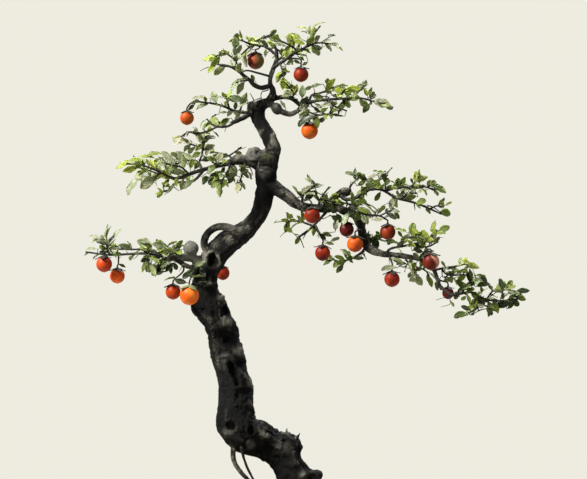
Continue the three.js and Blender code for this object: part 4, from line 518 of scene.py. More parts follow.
# The leaf rule, as the solids have it.
LEAF_HALF_WIDTH = 0.31
LEAF_WIDEST = 0.56
LEAF_DROOP = 0.14
LEAF_PROBES = [(0.3, 0), (0.56, 0), (0.8, 0), (1, 0), (0.3, 0.5), (0.56, 1), (0.3, -0.5),
               (0.56, -1), (0.8, 0.5), (0.8, -0.5)]
TWIG_SIDES = 3
LEAF_TRIES = 9
SMALLER_AFTER = 5
SMALLER_LEAF = 0.8
LAST_LEAF = 0.97
LEAST_LEAN = 0.35
LEAN_SPREAD = 0.75
TIP_LEAN = 1.8
LEAF_LIFT = 0.15
FRONT_SHARE = 0.72
FACE_FRONT = -0.62
FACE_BACK = 0.5
FACE_SWING = 0.9
FACE_UP = 0.35
FACE_UP_SPREAD = 0.5
LEAST_SIZE = 0.96
SIZE_SPREAD = 0.32
CLEAR_OF_WOOD = 1.6
CLEAR_OF_FRUIT = 1.2
CLEAR_OF_TWIG = 2.2
CLEAR_OF_LEAF = 3.2
CLEAR_OF_OWN_LEAF = 2.4
CLEAR_OF_OWN_TWIG = 0.3
LEAVES_NEAR = 60
CALYX_REACH = 0.8
CALYX_THICKNESS = 0.8
STALK_DROP = 3.2


def draw(seed, count):
    """A repeatable draw between 0 and 1."""
    value = math.sin(seed * 12.9898 + count * 78.233) * 43758.5453
    return value - math.floor(value)


def drawn(least, spread, seed, count):
    """A repeatable draw between a least value and what the spread adds to it."""
    return least + spread * draw(seed, count)


def unit(vector):
    return vector / np.linalg.norm(vector)


def place(point):
    """Place of a traced point, in millimetres from the pot's middle."""
    column, row, depth = point[:3]
    return np.array([(column - POT_MIDDLE_COLUMN) * PIXEL, depth * DEPTH_SPREAD * PIXEL,
                     (GROUND_ROW - row) * PIXEL])


def place_unspread(column, row, depth):
    """Place of a burl, whose depth isn't spread."""
    return place((column, row, depth / DEPTH_SPREAD))


def frames(points):
    """Forward, side and across directions along a route, without twist."""
    last = len(points) - 1
    forward = [unit(points[min(i + 1, last)] - points[max(i - 1, 0)])
               for i in range(last + 1)]
    side = BACK if abs(forward[0][1]) < 0.9 else UP
    found = []
    for way in forward:
        side = unit(side - way * side.dot(way))
        found.append((way, side, np.cross(way, side)))
    return found


def fruit_of(name):
    """Middle, radius and top of a fruit, in millimetres."""
    column, row, depth, width = FRUITS[name]
    radius = width / 2 * PIXEL
    middle = place((column, row, depth))
    return middle, radius, middle + UP * (radius + GAP)


def shoot_points(shoot):
    """A shoot's route; a stalk comes down on its calyx from straight above."""
    points = [place(point) for point in shoot[6]]
    if shoot[5]:
        top = fruit_of(shoot[5])[2]
        points += [top + UP * STALK_DROP, top + UP * (CALYX_THICKNESS / 2)]
    return points


def point_along(points, share):
    """Where a share of the route's length lies, with the twig's directions there."""
    lengths = [np.linalg.norm(b - a) for a, b in zip(points, points[1:])]
    left = share * sum(lengths)
    i = 0
    while i < len(lengths) - 1 and left > lengths[i]:
        left -= lengths[i]
        i += 1
    forward = unit(points[i + 1] - points[i])
    _, side, across = frames(points)[i]
    return points[i] + forward * left, forward, side, across


def bars_of(runs):
    """Arrays of the starts, ends and radii of the bars in runs of (points, radii)."""
    starts, ends, radii = [], [], []
    for points, widths in runs:
        for i in range(len(points) - 1):
            starts.append(points[i])
            ends.append(points[i + 1])
            radii.append(max(widths[i], widths[i + 1]))
    return np.array(starts), np.array(ends), np.array(radii)


def clear_of_bars(probes, bars, margin):
    start, end, radius = bars
    if not len(start):
        return True
    way = end - start
    from_start = probes[:, None] - start[None]
    share = np.clip((from_start * way).sum(2) / (way * way).sum(1), 0, 1)
    apart = np.linalg.norm(from_start - share[..., None] * way, axis=2)
    return bool((apart > radius + margin).all())


def clear_of_balls(probes, middles, radii, margin):
    apart = np.linalg.norm(probes[:, None] - middles[None], axis=2)
    return bool((apart > radii + margin).all())


WOOD_BARS = bars_of([([place(p) for p in route], [p[3] * PIXEL for p in route])
                     for route, _, _ in WOOD_ROUTES])
BURL_MIDDLES = np.array([place_unspread(*burl[:3]) for burl in BURLS])
BURL_RADII = np.array([max(burl[3:]) * PIXEL for burl in BURLS])
FRUIT_MIDDLES = np.array([fruit_of(name)[0] for name in FRUITS])
FRUIT_RADII = np.array([fruit_of(name)[1] for name in FRUITS])
CALYX_MIDDLES = np.array([fruit_of(name)[2] for name in FRUITS])
twig_runs = []
twig_owner = []
for spray, shoots in SPRAYS.items():
    for number, shoot in enumerate(shoots):
        points = shoot_points(shoot)
        twig_runs.append((points, [max(shoot[0]) * PIXEL] * len(points)))
        twig_owner += [(spray, number)] * (len(points) - 1)
TWIG_BARS = bars_of(twig_runs)


def some_bars(mask):
    return tuple(column[mask] for column in TWIG_BARS)


def twigs_round(spray, number):
    """The twigs of other sprays, and the other twigs of this spray."""
    foreign = np.array([owner[0] != spray for owner in twig_owner])
    sister = np.array([owner[0] == spray and owner[1] != number for owner in twig_owner])
    return some_bars(foreign), some_bars(sister)


def leaf_point(leaf, along, aside):
    """A point of a leaf's plain shape, as the solid has it."""
    drop = LEAF_DROOP * leaf["size"] * max(0, along - LEAF_WIDEST) / (1 - LEAF_WIDEST)
    return (leaf["base"] + leaf["aim"] * (along * leaf["size"])
            + leaf["side"] * (aside * leaf["size"] * LEAF_HALF_WIDTH)
            - leaf["face"] * drop)


def with_probes(leaf):
    """The leaf, with the points that its distance to other things is measured from."""
    leaf["probes"] = np.array([leaf_point(leaf, along, aside) for along, aside in LEAF_PROBES])
    return leaf


def is_clear(leaf, foreign, sister, placed, ease=1.0):
    """Whether a leaf's probes keep clear of all else; ease shrinks the room asked for."""
    probes = leaf["probes"]
    if not (clear_of_bars(probes, WOOD_BARS, CLEAR_OF_WOOD * ease)
            and clear_of_balls(probes, BURL_MIDDLES, BURL_RADII, CLEAR_OF_WOOD * ease)
            and clear_of_balls(probes, FRUIT_MIDDLES, FRUIT_RADII, CLEAR_OF_FRUIT)
            and clear_of_balls(probes, CALYX_MIDDLES, FRUIT_RADII * CALYX_REACH,
                               CLEAR_OF_FRUIT)
            and clear_of_bars(probes, foreign, CLEAR_OF_TWIG * ease)
            and clear_of_bars(probes, sister, CLEAR_OF_OWN_TWIG)):
        return False
    for other in placed:
        if np.linalg.norm(other["base"] - probes[3]) >= LEAVES_NEAR:
            continue
        own = other["spray"] == leaf["spray"]
        margin = (CLEAR_OF_OWN_LEAF if own else CLEAR_OF_LEAF) * ease
        apart = np.linalg.norm(other["probes"][:, None] - probes[None], axis=2)
        if not (apart > margin).all():
            return False
    return True


def new_leaf(spray, shoot, base, aim, face, size):
    face = unit(face - aim * face.dot(aim))
    return with_probes({"spray": spray, "base": base, "aim": aim, "face": face,
                        "side": np.cross(aim, face), "size": size, "tone": shoot[4]})


def try_leaf(spray, number, shoot, seed, index, placed):
    """One leaf of a shoot, turned and aimed anew until it is clear of everything else."""
    _, leaves, first, length, _, fruit, route = shoot
    points = [place(point) for point in route]
    share = first
    if leaves > 1:
        share = first + (LAST_LEAF - first) * index / (leaves - 1)
    base, forward, edge, across = point_along(points, share)
    is_tip = index == leaves - 1 and not fruit
    foreign, sister = twigs_round(spray, number)
    for attempt in range(LEAF_TRIES):
        key = index * 17 + attempt * 5
        twig_face = (index + attempt + math.floor(draw(seed, 1) * TWIG_SIDES)) % TWIG_SIDES
        turn = 2 * math.pi * (twig_face + 0.5) / TWIG_SIDES
        lean = TIP_LEAN if is_tip else LEAST_LEAN + LEAN_SPREAD * draw(seed, key + 2)
        aim = unit(edge * math.cos(turn) + across * math.sin(turn) + forward * lean
                   + UP * LEAF_LIFT)
        face = np.array([(draw(seed, key + 4) - 0.5) * FACE_SWING,
                         FACE_FRONT if draw(seed, key + 3) < FRONT_SHARE else FACE_BACK,
                         FACE_UP + FACE_UP_SPREAD * draw(seed, key + 5)])
        size = length * (LEAST_SIZE + SIZE_SPREAD * draw(seed, key + 6))
        if attempt > SMALLER_AFTER:
            size *= SMALLER_LEAF
        leaf = new_leaf(spray, shoot, base, aim, face, size)
        if is_clear(leaf, foreign, sister, placed):
            return leaf
    return None


def place_leaves():
    placed = []
    for spray_index, (spray, shoots) in enumerate(SPRAYS.items()):
        for number, shoot in enumerate(shoots):
            for index in range(shoot[1]):
                seed = spray_index * 31 + number * 7 + 1
                leaf = try_leaf(spray, number, shoot, seed, index, placed)
                if leaf:
                    placed.append(leaf)
    return placed


# Shapes.
def to_metres(points):
    """From millimetres round the pot's middle to the frame's metres."""
    return np.asarray(points) * MM + ORIGIN


def add_object(name, data):
    piece = bpy.data.objects.new(name, data)
    bpy.context.scene.collection.objects.link(piece)
    return piece


class Shape:
    """Points, faces, material numbers and per-point values of a mesh in the making."""

    def __init__(self):
        self.points, self.faces, self.slots = [], [], []
        self.tints, self.places = [], []
        self.count = 0

    def add(self, points, faces, slot=0, tint=(1, 1, 1), where=(0, 0, 0)):
        points = np.asarray(points, float).reshape(-1, 3)
        size = len(points)
        self.points.append(points)
        self.faces += [tuple(int(i) + self.count for i in face) for face in faces]
        self.slots += [slot] * len(faces)
        self.tints.append(np.broadcast_to(np.asarray(tint, float), (size, 3)))
        self.places.append(np.broadcast_to(np.asarray(where, float), (size, 3)))
        self.count += size

    def build(self, name, materials, smooth=True):
        mesh = bpy.data.meshes.new(name)
        mesh.from_pydata(to_metres(np.vstack(self.points)), [], self.faces)
        for material in materials:
            mesh.materials.append(material)
        mesh.polygons.foreach_set("material_index", self.slots)
        mesh.polygons.foreach_set("use_smooth", [smooth] * len(self.faces))
        tint = mesh.attributes.new("tint", "FLOAT_COLOR", "POINT")
        colours = np.ones((self.count, 4))
        colours[:, :3] = np.vstack(self.tints)
        tint.data.foreach_set("color", colours.ravel())
        where = mesh.attributes.new("where", "FLOAT_VECTOR", "POINT")
        where.data.foreach_set("vector", np.vstack(self.places).ravel())
        mesh.validate()
        return add_object(name, mesh)


LEAST_RADIUS_SHARE = 0.6


def spline(points, radii, step):
    """A smooth run through points, about a step apart, with its radii."""
    rows = np.column_stack([points, radii])
    rows = np.vstack([2 * rows[0] - rows[1], rows, 2 * rows[-1] - rows[-2]])
    run = []
    for i in range(1, len(rows) - 2):
        p0, p1, p2, p3 = rows[i - 1:i + 3]
        count = max(2, math.ceil(np.linalg.norm((p2 - p1)[:3]) / step))
        t = (np.arange(count) / count)[:, None]
        run.append(0.5 * (2 * p1 + (p2 - p0) * t + (2 * p0 - 5 * p1 + 4 * p2 - p3) * t ** 2
                          + (3 * p1 - p0 - 3 * p2 + p3) * t ** 3))
    run.append(rows[-2:-1])
    run = np.vstack(run)
    return run[:, :3], np.maximum(run[:, 3], min(radii) * LEAST_RADIUS_SHARE)


# Rings of a tube's domed end: how wide and how far out.
DOME = [(0.75, 0.66), (0.38, 0.92)]


def ring_faces(rows, columns):
    """Faces over rings of points, closed by two poles that follow the last ring."""
    faces = [(r * columns + k, r * columns + (k + 1) % columns,
              (r + 1) * columns + (k + 1) % columns, (r + 1) * columns + k)
             for r in range(rows - 1) for k in range(columns)]
    head, last = rows * columns, (rows - 1) * columns
    faces += [(head, (k + 1) % columns, k) for k in range(columns)]
    faces += [(head + 1, last + k, last + (k + 1) % columns) for k in range(columns)]
    return faces


def tube(points, radii, sides, relief=None):
    """A closed round skin along points, domed at both ends: its points and faces."""
    along = frames(points)
    rings = []
    turns = 2 * np.pi * np.arange(sides) / sides
    for i, (_, side, across) in enumerate(along):
        wide = radii[i] * (relief(turns, i) if relief else np.ones(sides))
        rings.append(points[i] + np.outer(np.cos(turns) * wide, side)
                     + np.outer(np.sin(turns) * wide, across))
    first, last = along[0][0] * -radii[0], along[-1][0] * radii[-1]
    heads = [points[0] + (rings[0] - points[0]) * wide + first * out for wide, out in DOME[::-1]]
    tails = [points[-1] + (rings[-1] - points[-1]) * wide + last * out for wide, out in DOME]
    rings = heads + rings + tails
    poles = [points[0] + first, points[-1] + last]
    return np.vstack(rings + [np.array(poles)]), ring_faces(len(rings), sides)


def ball(middle, halves, columns=20, rows=12):
    """A closed ellipsoid: its points and faces."""
    points = [np.array([0, 0, -1.0])]
    for row in range(1, rows):
        rise = math.pi * row / rows
        for column in range(columns):
            turn = 2 * math.pi * column / columns
            points.append(np.array([math.sin(rise) * math.cos(turn),
                                    math.sin(rise) * math.sin(turn), -math.cos(rise)]))
    points.append(np.array([0, 0, 1.0]))
    faces = [(0, 1 + (k + 1) % columns, 1 + k) for k in range(columns)]
    for row in range(rows - 2):
        base = 1 + row * columns
        for k in range(columns):
            after = (k + 1) % columns
            faces.append((base + k, base + after, base + columns + after,
                          base + columns + k))
    top = len(points) - 1
    base = 1 + (rows - 2) * columns
    faces += [(top, base + k, base + (k + 1) % columns) for k in range(columns)]
    return np.array(points) * np.asarray(halves) + middle, faces


def srgb(red, green, blue):
    """Linear colour from the usual 0 to 255 numbers."""
    def linear(value):
        value /= 255
        return value / 12.92 if value <= 0.04045 else ((value + 0.055) / 1.055) ** 2.4
    return np.array([linear(red), linear(green), linear(blue)])


# Materials.
class Nodes:
    """Short calls for the node tree of a new material, or of a new world."""

    def __init__(self, name, owners=bpy.data.materials):
        self.owner = owners.new(name)
        self.owner.use_nodes = True
        self.tree = self.owner.node_tree
        self.shader = self.tree.nodes.get("Principled BSDF")

    def add(self, kind, inputs=None, **settings):
        node = self.tree.nodes.new(kind)
        for key, value in settings.items():
            setattr(node, key, value)
        for key, value in (inputs or {}).items():
            self.set(node, key, value)
        return node

    def set(self, node, key, value):
        if hasattr(value, "is_output"):
            self.tree.links.new(value, node.inputs[key])
        else:
            node.inputs[key].default_value = value

    def attribute(self, name, output="Vector"):
        return self.add("ShaderNodeAttribute", attribute_name=name).outputs[output]

    def spot(self):
        return self.add("ShaderNodeTexCoord").outputs["Object"]

    def noise(self, scale, vector=None, detail=4.0, roughness=0.55, distortion=0.0):
        node = self.add("ShaderNodeTexNoise", {
            "Vector": vector or self.spot(), "Scale": scale, "Detail": detail,
            "Roughness": roughness, "Distortion": distortion})
        return node.outputs["Fac"]

    def voronoi(self, scale, vector=None, feature="F1"):
        node = self.add("ShaderNodeTexVoronoi", {"Vector": vector or self.spot(),
                                                 "Scale": scale}, feature=feature)
        return node.outputs["Distance"]

    def ramp(self, value, stops):
        """Colour along a value; stops are (position, colour) or (position, grey)."""
        node = self.add("ShaderNodeValToRGB", {"Fac": value})
        bar = node.color_ramp.elements
        while len(bar) < len(stops):
            bar.new(0.5)
        for element, (position, colour) in zip(bar, stops):
            element.position = position
            if np.isscalar(colour):
                colour = (colour, colour, colour)
            element.color = (*colour, 1)
        return node.outputs["Color"]

    def mix(self, share, one, two, mode="MIX"):
        node = self.add("ShaderNodeMix", data_type="RGBA", blend_type=mode)
        for socket, value in ((0, share), (6, one), (7, two)):
            if hasattr(value, "is_output"):
                self.tree.links.new(value, node.inputs[socket])
            elif socket:
                node.inputs[socket].default_value = (*value, 1)
            else:
                node.inputs[socket].default_value = value
        return node.outputs[2]

    def math(self, operation, *values):
        node = self.add("ShaderNodeMath", operation=operation)
        for i, value in enumerate(values):
            self.set(node, i, value)
        return node.outputs[0]

    def bump(self, height, distance, strength=1.0, under=None):
        inputs = {"Height": height, "Distance": distance, "Strength": strength}
        if under:
            inputs["Normal"] = under
        return self.add("ShaderNodeBump", inputs).outputs["Normal"]

    def finish(self, colour, roughness, normal=None, **constants):
        self.set(self.shader, "Base Color", colour if hasattr(colour, "is_output")
                 else (*colour, 1))
        self.set(self.shader, "Roughness", roughness)
        if normal:
            self.set(self.shader, "Normal", normal)
        for key, value in constants.items():
            self.shader.inputs[key.replace("_", " ")].default_value = value
        return self.owner


def bark_material():
    """Nearly black bark, grey on its ridges (wear and painted highlight) and black in its hollows (painted
    shade), with lichen and moss where it is marked.
    """
    n = Nodes("bark")
    along = n.attribute("where")
    tint = n.attribute("tint", "Color")
    parts = n.add("ShaderNodeSeparateColor", {"Color": tint}).outputs
    height, moss, pale = parts[0], parts[1], parts[2]
    broad = n.noise(0.55, along, detail=6, roughness=0.6)
    fine = n.noise(9.0, along, detail=6, roughness=0.7)
    cracks = n.voronoi(5.5, along, "DISTANCE_TO_EDGE")
    lightness_level = n.math("ADD", height, n.math("MULTIPLY", n.math("SUBTRACT", broad, 0.5), 0.5))
    lightness_level = n.math("ADD", lightness_level, n.math("MULTIPLY", n.math("SUBTRACT", fine, 0.5), 0.5))
    # The ramp turns the lightness into colour: wear with painted highlight on ridges, painted shade in
    # fissures and holes, and the painted light of the stains.
    colour = n.ramp(lightness_level, [
        (0.1, srgb(1, 1, 1)), (0.36, srgb(7, 6, 4)), (0.54, srgb(27, 25, 20)),
        (0.7, srgb(72, 69, 59)), (0.9, srgb(140, 136, 122))])
    crack = n.ramp(cracks, [(0.0, 0.2), (0.11, 1.0)])
    colour = n.mix(0.8, colour, crack, "MULTIPLY")
    # Pale grey in the pale spots: lichen, and painted highlight on lit bulges and lips.
    colour = n.mix(pale, colour, n.ramp(fine, [(0.3, srgb(92, 92, 86)),
                                               (0.7, srgb(158, 158, 148))]))
    green = n.ramp(fine, [(0.3, srgb(32, 36, 16)), (0.7, srgb(74, 78, 38))])
    colour = n.mix(n.ramp(n.math("ADD", moss, n.math("MULTIPLY", fine, 0.35)),
                          [(0.42, 0.0), (0.75, 0.85)]), colour, green)
    normal = n.bump(fine, 0.0018, 1.0)
    normal = n.bump(crack, 0.0009, 0.8, normal)
    grain = n.noise(26.0, along, detail=3)
    normal = n.bump(grain, 0.0005, 0.6, normal)
    rough = n.ramp(fine, [(0.3, 0.5), (0.7, 0.8)])
    return n.finish(colour, rough, normal, Specular_IOR_Level=0.2)


def twig_material():
    """Thin grey-brown bark of the twigs, with small pale pores."""
    n = Nodes("twig")
    grain = n.noise(420.0, detail=5, roughness=0.65)
    colour = n.ramp(grain, [(0.3, srgb(9, 7, 5)), (0.52, srgb(27, 23, 17)),
                            (0.75, srgb(74, 66, 50))])
    pores = n.ramp(n.voronoi(600.0), [(0.0, 1.0), (0.16, 0.0)])
    colour = n.mix(n.math("MULTIPLY", pores, 0.3), colour, srgb(140, 130, 110))
    return n.finish(colour, 0.75, n.bump(grain, 0.0004, 0.7))


def leaf_material():
    """Leathery leaf: its tint by point, a pale midrib, side veins and a soft gloss."""
    n = Nodes("leaf")
    tint = n.attribute("tint", "Color")
    where = n.add("ShaderNodeSeparateXYZ", {"Vector": n.attribute("where")}).outputs
    along, across = where[0], where[1]
    aside = n.math("ABSOLUTE", across)
    midrib = n.ramp(aside, [(0.0, 1.0), (0.09, 0.0)])
    wave = n.math("SINE", n.math("MULTIPLY", n.math(
        "SUBTRACT", along, n.math("MULTIPLY", aside, 0.17)), 46.0))
    veins = n.ramp(wave, [(0.82, 0.0), (1.0, 1.0)])
    veins = n.math("MULTIPLY", veins, n.ramp(aside, [(0.05, 1.0), (0.85, 0.0)]))
    mottle = n.noise(320.0, detail=4)
    shade = n.mix(0.55, tint, n.ramp(mottle, [(0.28, 0.45), (0.72, 1.0)]), "MULTIPLY")
    pale = n.mix(0.5, tint, srgb(196, 202, 150))
    colour = n.mix(n.math("MULTIPLY", veins, 0.28), shade, pale)
    colour = n.mix(n.math("MULTIPLY", midrib, 0.5), colour, pale)
    normal = n.bump(n.math("MULTIPLY", veins, -1.0), 0.0004, 0.5)
    normal = n.bump(n.math("MULTIPLY", midrib, -1.0), 0.0006, 0.6, normal)
    normal = n.bump(mottle, 0.0003, 0.35, normal)
    rough = n.ramp(mottle, [(0.3, 0.3), (0.7, 0.46)])
    return n.finish(colour, rough, normal, Specular_IOR_Level=0.3, Subsurface_Weight=0.3,
                    Subsurface_Radius=(0.8, 1.0, 0.3), Subsurface_Scale=0.0012)


def calyx_material():
    """Dry brown calyx lobes, darker towards their tips."""
    n = Nodes("calyx")
    tint = n.attribute("tint", "Color")
    grain = n.noise(500.0, detail=4)
    colour = n.mix(0.6, tint, n.ramp(grain, [(0.3, 0.4), (0.75, 1.0)]), "MULTIPLY")
    return n.finish(colour, 0.65, n.bump(grain, 0.0004, 0.6))


def fruit_material(name, deep, middle, light):
    """Smooth ripe skin: mottled in its depth, finely dotted and softly waxed."""
    n = Nodes(name)
    blush = n.noise(55.0, detail=3, roughness=0.5, distortion=0.4)
    fleck = n.noise(700.0, detail=3)
    tint = n.attribute("tint", "Color")
    colour = n.ramp(blush, [(0.3, deep), (0.5, middle), (0.72, light)])
    dots = n.ramp(n.voronoi(620.0), [(0.0, 1.0), (0.13, 0.0)])
    colour = n.mix(n.math("MULTIPLY", dots, 0.35), colour, light)
    colour = n.mix(1.0, colour, tint, "MULTIPLY")
    patches = n.add("ShaderNodeSeparateXYZ", {"Vector": n.attribute("where")}).outputs
    # The first patch paints a pale pink highlight; the second is a dull olive patch.
    colour = n.mix(patches[0], colour, srgb(226, 160, 132))
    colour = n.mix(patches[1], colour, srgb(112, 98, 52))
    normal = n.bump(fleck, 0.00012, 0.35)
    rough = n.ramp(fleck, [(0.3, 0.42), (0.7, 0.55)])
    return n.finish(colour, rough, normal, Specular_IOR_Level=0.22)


def clay_material():
    """Unglazed dark clay: fine sand, a few iron specks and rubbed, paler patches."""
    n = Nodes("clay")
    sand = n.noise(900.0, detail=3)
    cloud = n.noise(14.0, detail=5, roughness=0.6)
    colour = n.ramp(cloud, [(0.3, srgb(58, 40, 32)), (0.52, srgb(84, 60, 48)),
                            (0.75, srgb(112, 84, 68))])
    colour = n.mix(0.35, colour, n.ramp(sand, [(0.3, 0.45), (0.7, 1.0)]), "MULTIPLY")
    specks = n.ramp(n.voronoi(260.0), [(0.05, 1.0), (0.11, 0.0)])
    colour = n.mix(n.math("MULTIPLY", specks, 0.5), colour, srgb(34, 24, 20))
    normal = n.bump(sand, 0.0005, 0.6)
    rough = n.ramp(cloud, [(0.3, 0.62), (0.7, 0.78)])
    return n.finish(colour, rough, n.bump(cloud, 0.0015, 0.3, normal))


def soil_material():
    """Damp dark soil between the grains."""
    n = Nodes("soil")
    crumbs = n.noise(300.0, detail=6, roughness=0.7)
    colour = n.ramp(crumbs, [(0.3, srgb(28, 22, 16)), (0.6, srgb(62, 50, 38)),
                             (0.8, srgb(92, 76, 58))])
    return n.finish(colour, 0.95, n.bump(crumbs, 0.002, 0.8))


def grain_material():
    """Grains of baked clay and lava, each of its own tint."""
    n = Nodes("grain")
    rough = n.noise(800.0, detail=4)
    colour = n.mix(0.6, n.attribute("tint", "Color"),
                   n.ramp(rough, [(0.3, 0.5), (0.7, 1.0)]), "MULTIPLY")
    return n.finish(colour, 0.92, n.bump(rough, 0.0004, 0.7))


def moss_material():
    """Short velvety moss, its tufts tinted by point."""
    n = Nodes("moss")
    tuft = n.noise(900.0, detail=5, roughness=0.7)
    cloud = n.noise(60.0, detail=3)
    colour = n.mix(0.7, n.attribute("tint", "Color"),
                   n.ramp(tuft, [(0.3, 0.4), (0.7, 1.3)]), "MULTIPLY")
    colour = n.mix(0.4, colour, n.ramp(cloud, [(0.3, 0.6), (0.7, 1.1)]), "MULTIPLY")
    return n.finish(colour, 0.95, n.bump(tuft, 0.0012, 1.0))


def screen_material():
    n = Nodes("drain_screen")
    lightness_level = n.noise(200.0, detail=3)
    colour = n.ramp(lightness_level, [(0.3, srgb(24, 30, 26)), (0.7, srgb(46, 52, 46))])
    return n.finish(colour, 0.6, n.bump(lightness_level, 0.0002, 0.4))


BARK = bark_material()
TWIG = twig_material()
LEAF = leaf_material()
CALYX = calyx_material()
FRUIT_MATERIALS = {
    "orange": fruit_material("fruit_orange", srgb(172, 54, 6), srgb(206, 80, 14),
                             srgb(228, 118, 36)),
    "red": fruit_material("fruit_red", srgb(102, 20, 5), srgb(146, 38, 8),
                          srgb(176, 70, 22)),
    # The dark tone is partly painted shade, for fruit that hangs in shade.
    "dark": fruit_material("fruit_dark", srgb(60, 8, 4), srgb(92, 17, 8),
                           srgb(124, 40, 18)),
}
CLAY = clay_material()
SOIL = soil_material()
GRAIN = grain_material()
MOSS = moss_material()
SCREEN = screen_material()


# The wood: trunk, limbs, loops, roots and burls.
WOOD_VOXEL = 1.22
WOOD_STEP = 2.2
SMOOTHINGS = 3
# Wood thinner than this gets a plain tube, which starts a little before the thin part does.
THIN_WOOD = 2.3
THIN_OVERLAP = 1.25
THIN_SIDES = 14
THIN_WOBBLE = 0.3
THIN_WOBBLE_SIZE = 5.0
# The voxel skin goes on for so many points past the last thick one.
PAST_THICK = 3
# How light, mossy and pale the bark is where it isn't carved.
THIN_BARK = (0.5, 0, 0.05)
STUMP_BARK = (0.3, 0, 0)
BARK_SCALE = 10
# The plain stump in the soil: radius, foot and top.
STUMP = (24, 30, 66)
STUMP_SIDES = 40
BURL_SIDES = 24
BURL_ROWS = 16
ROOT_SIDES = 18
ROOT_PARTS = (0, 0.3, 0.6, 1)
# Points on different tubes lie at least this far apart on the bark's map.
RUNS_APART = 200.0
BATCH = 4000
# Cracks between the bark's plates, as a share of a plate.
PLATE_EDGE = 0.26
# Relief of the bark in millimetres, full where the wood is thick.
THICK_WOOD = 18
THINNEST_RELIEF = 0.12
LUMP_RISE = 2.2
KNOB_RISE = 1.9
PLATE_RISE = 1.0
FISSURE_DEPTH = 1.3
GRAIN_RISE = 0.5
THIN_KNOB_RISE = 0.4
THIN_GRAIN_RISE = 0.14
CALMING = 0.6
# Size in millimetres of what the bark shows: two ways across the wood, then along it, or one
# size for all ways.
LUMP_SIZE = np.array([16, 16, 22])
KNOB_SIZE = np.array([7, 7, 9.5])
FISSURE_SIZE = np.array([4.6, 4.6, 15])
PLATE_SIZE = np.array([7, 7, 11])
FISSURED_SIZE = 24
BARK_GRAIN_SIZE = 2.1
# Fissures: how narrow they are, and where the bark has them.
FISSURE_SHARPNESS = 3.2
FISSURED = 0.55
FISSURED_SWING = 1.6
# How much the knobs warp the plates.
PLATE_WARP = 0.3
# Marks, and the bark's painted light and stains, fade out where the bark turns away from the front.
FRONT_SHARPNESS = 1.6
FRONT_REACH = 0.15
# How much the knobs and grains fray the edge of a mark.
FRAYED_BY_KNOBS = 0.32
FRAYED_BY_GRAINS = 0.16
# A mark that stands out: how sharp and how high it is, and the amount that makes it palest.
BUMP_SHARPNESS = 1.3
BUMP_RISE = 1.5
PALEST_BUMP = 2
# A hole's edge, in units of its half size, and how wide its steep or soft wall is.
HOLE_EDGE = 1.15
STEEP_WALL = 0.5
SOFT_WALL = 0.9
# The lip round a hole: where it is, how wide and how high, and how it is broken up.
LIP_AT = 1.34
LIP_WIDTH = 0.26
LIP_RISE = 0.26
LIP_SHARE = 0.6
LIP_SWING = 1.5
LIP_MOST = 1.2
# How pale the bark is, and what makes it paler or darker. It is paler on raised lumps, knobs, plates,
# grains, lips and bumps and darker in fissures and holes: partly wear, partly painted highlight on the
# ridges and painted shade in the hollows.
PALE_BARK = 0.3
PALE_LUMPS = 0.42
PALE_KNOBS = 0.34
PALE_PLATES = 0.12
FISSURE_DARKNESS_AND_PAINTED_SHADE = 0.3
PALE_GRAINS = 0.16
PALE_THIN_WOOD = 0.46
LIP_WEAR_AND_PAINTED_HIGHLIGHT = 0.3
BUMP_WEAR_AND_PAINTED_HIGHLIGHT = 0.3
HOLE_PAINTED_SHADE = 1.4
# The painted shade in a hole is darkest from this depth on, in millimetres.
DARKEST_DEPTH = 4
# How much moss an upright wall has, as a share of what an upper side has.
MOSSY_WALL = 0.55
# Marks sunk deeper than this get a lip.
LIPPED_BELOW = -5
# The torn ridge at the trunk's foot: where it is, how far it reaches and how it is torn.
TORN_COLUMN = 281
TORN_ROW = 431
TORN_REACH = 26
TORN_HEIGHT = 11
TORN_RISE = 0.8
JAG_RISE = 3.2
JAG_SIZE = np.array([4.2, 6, 30])

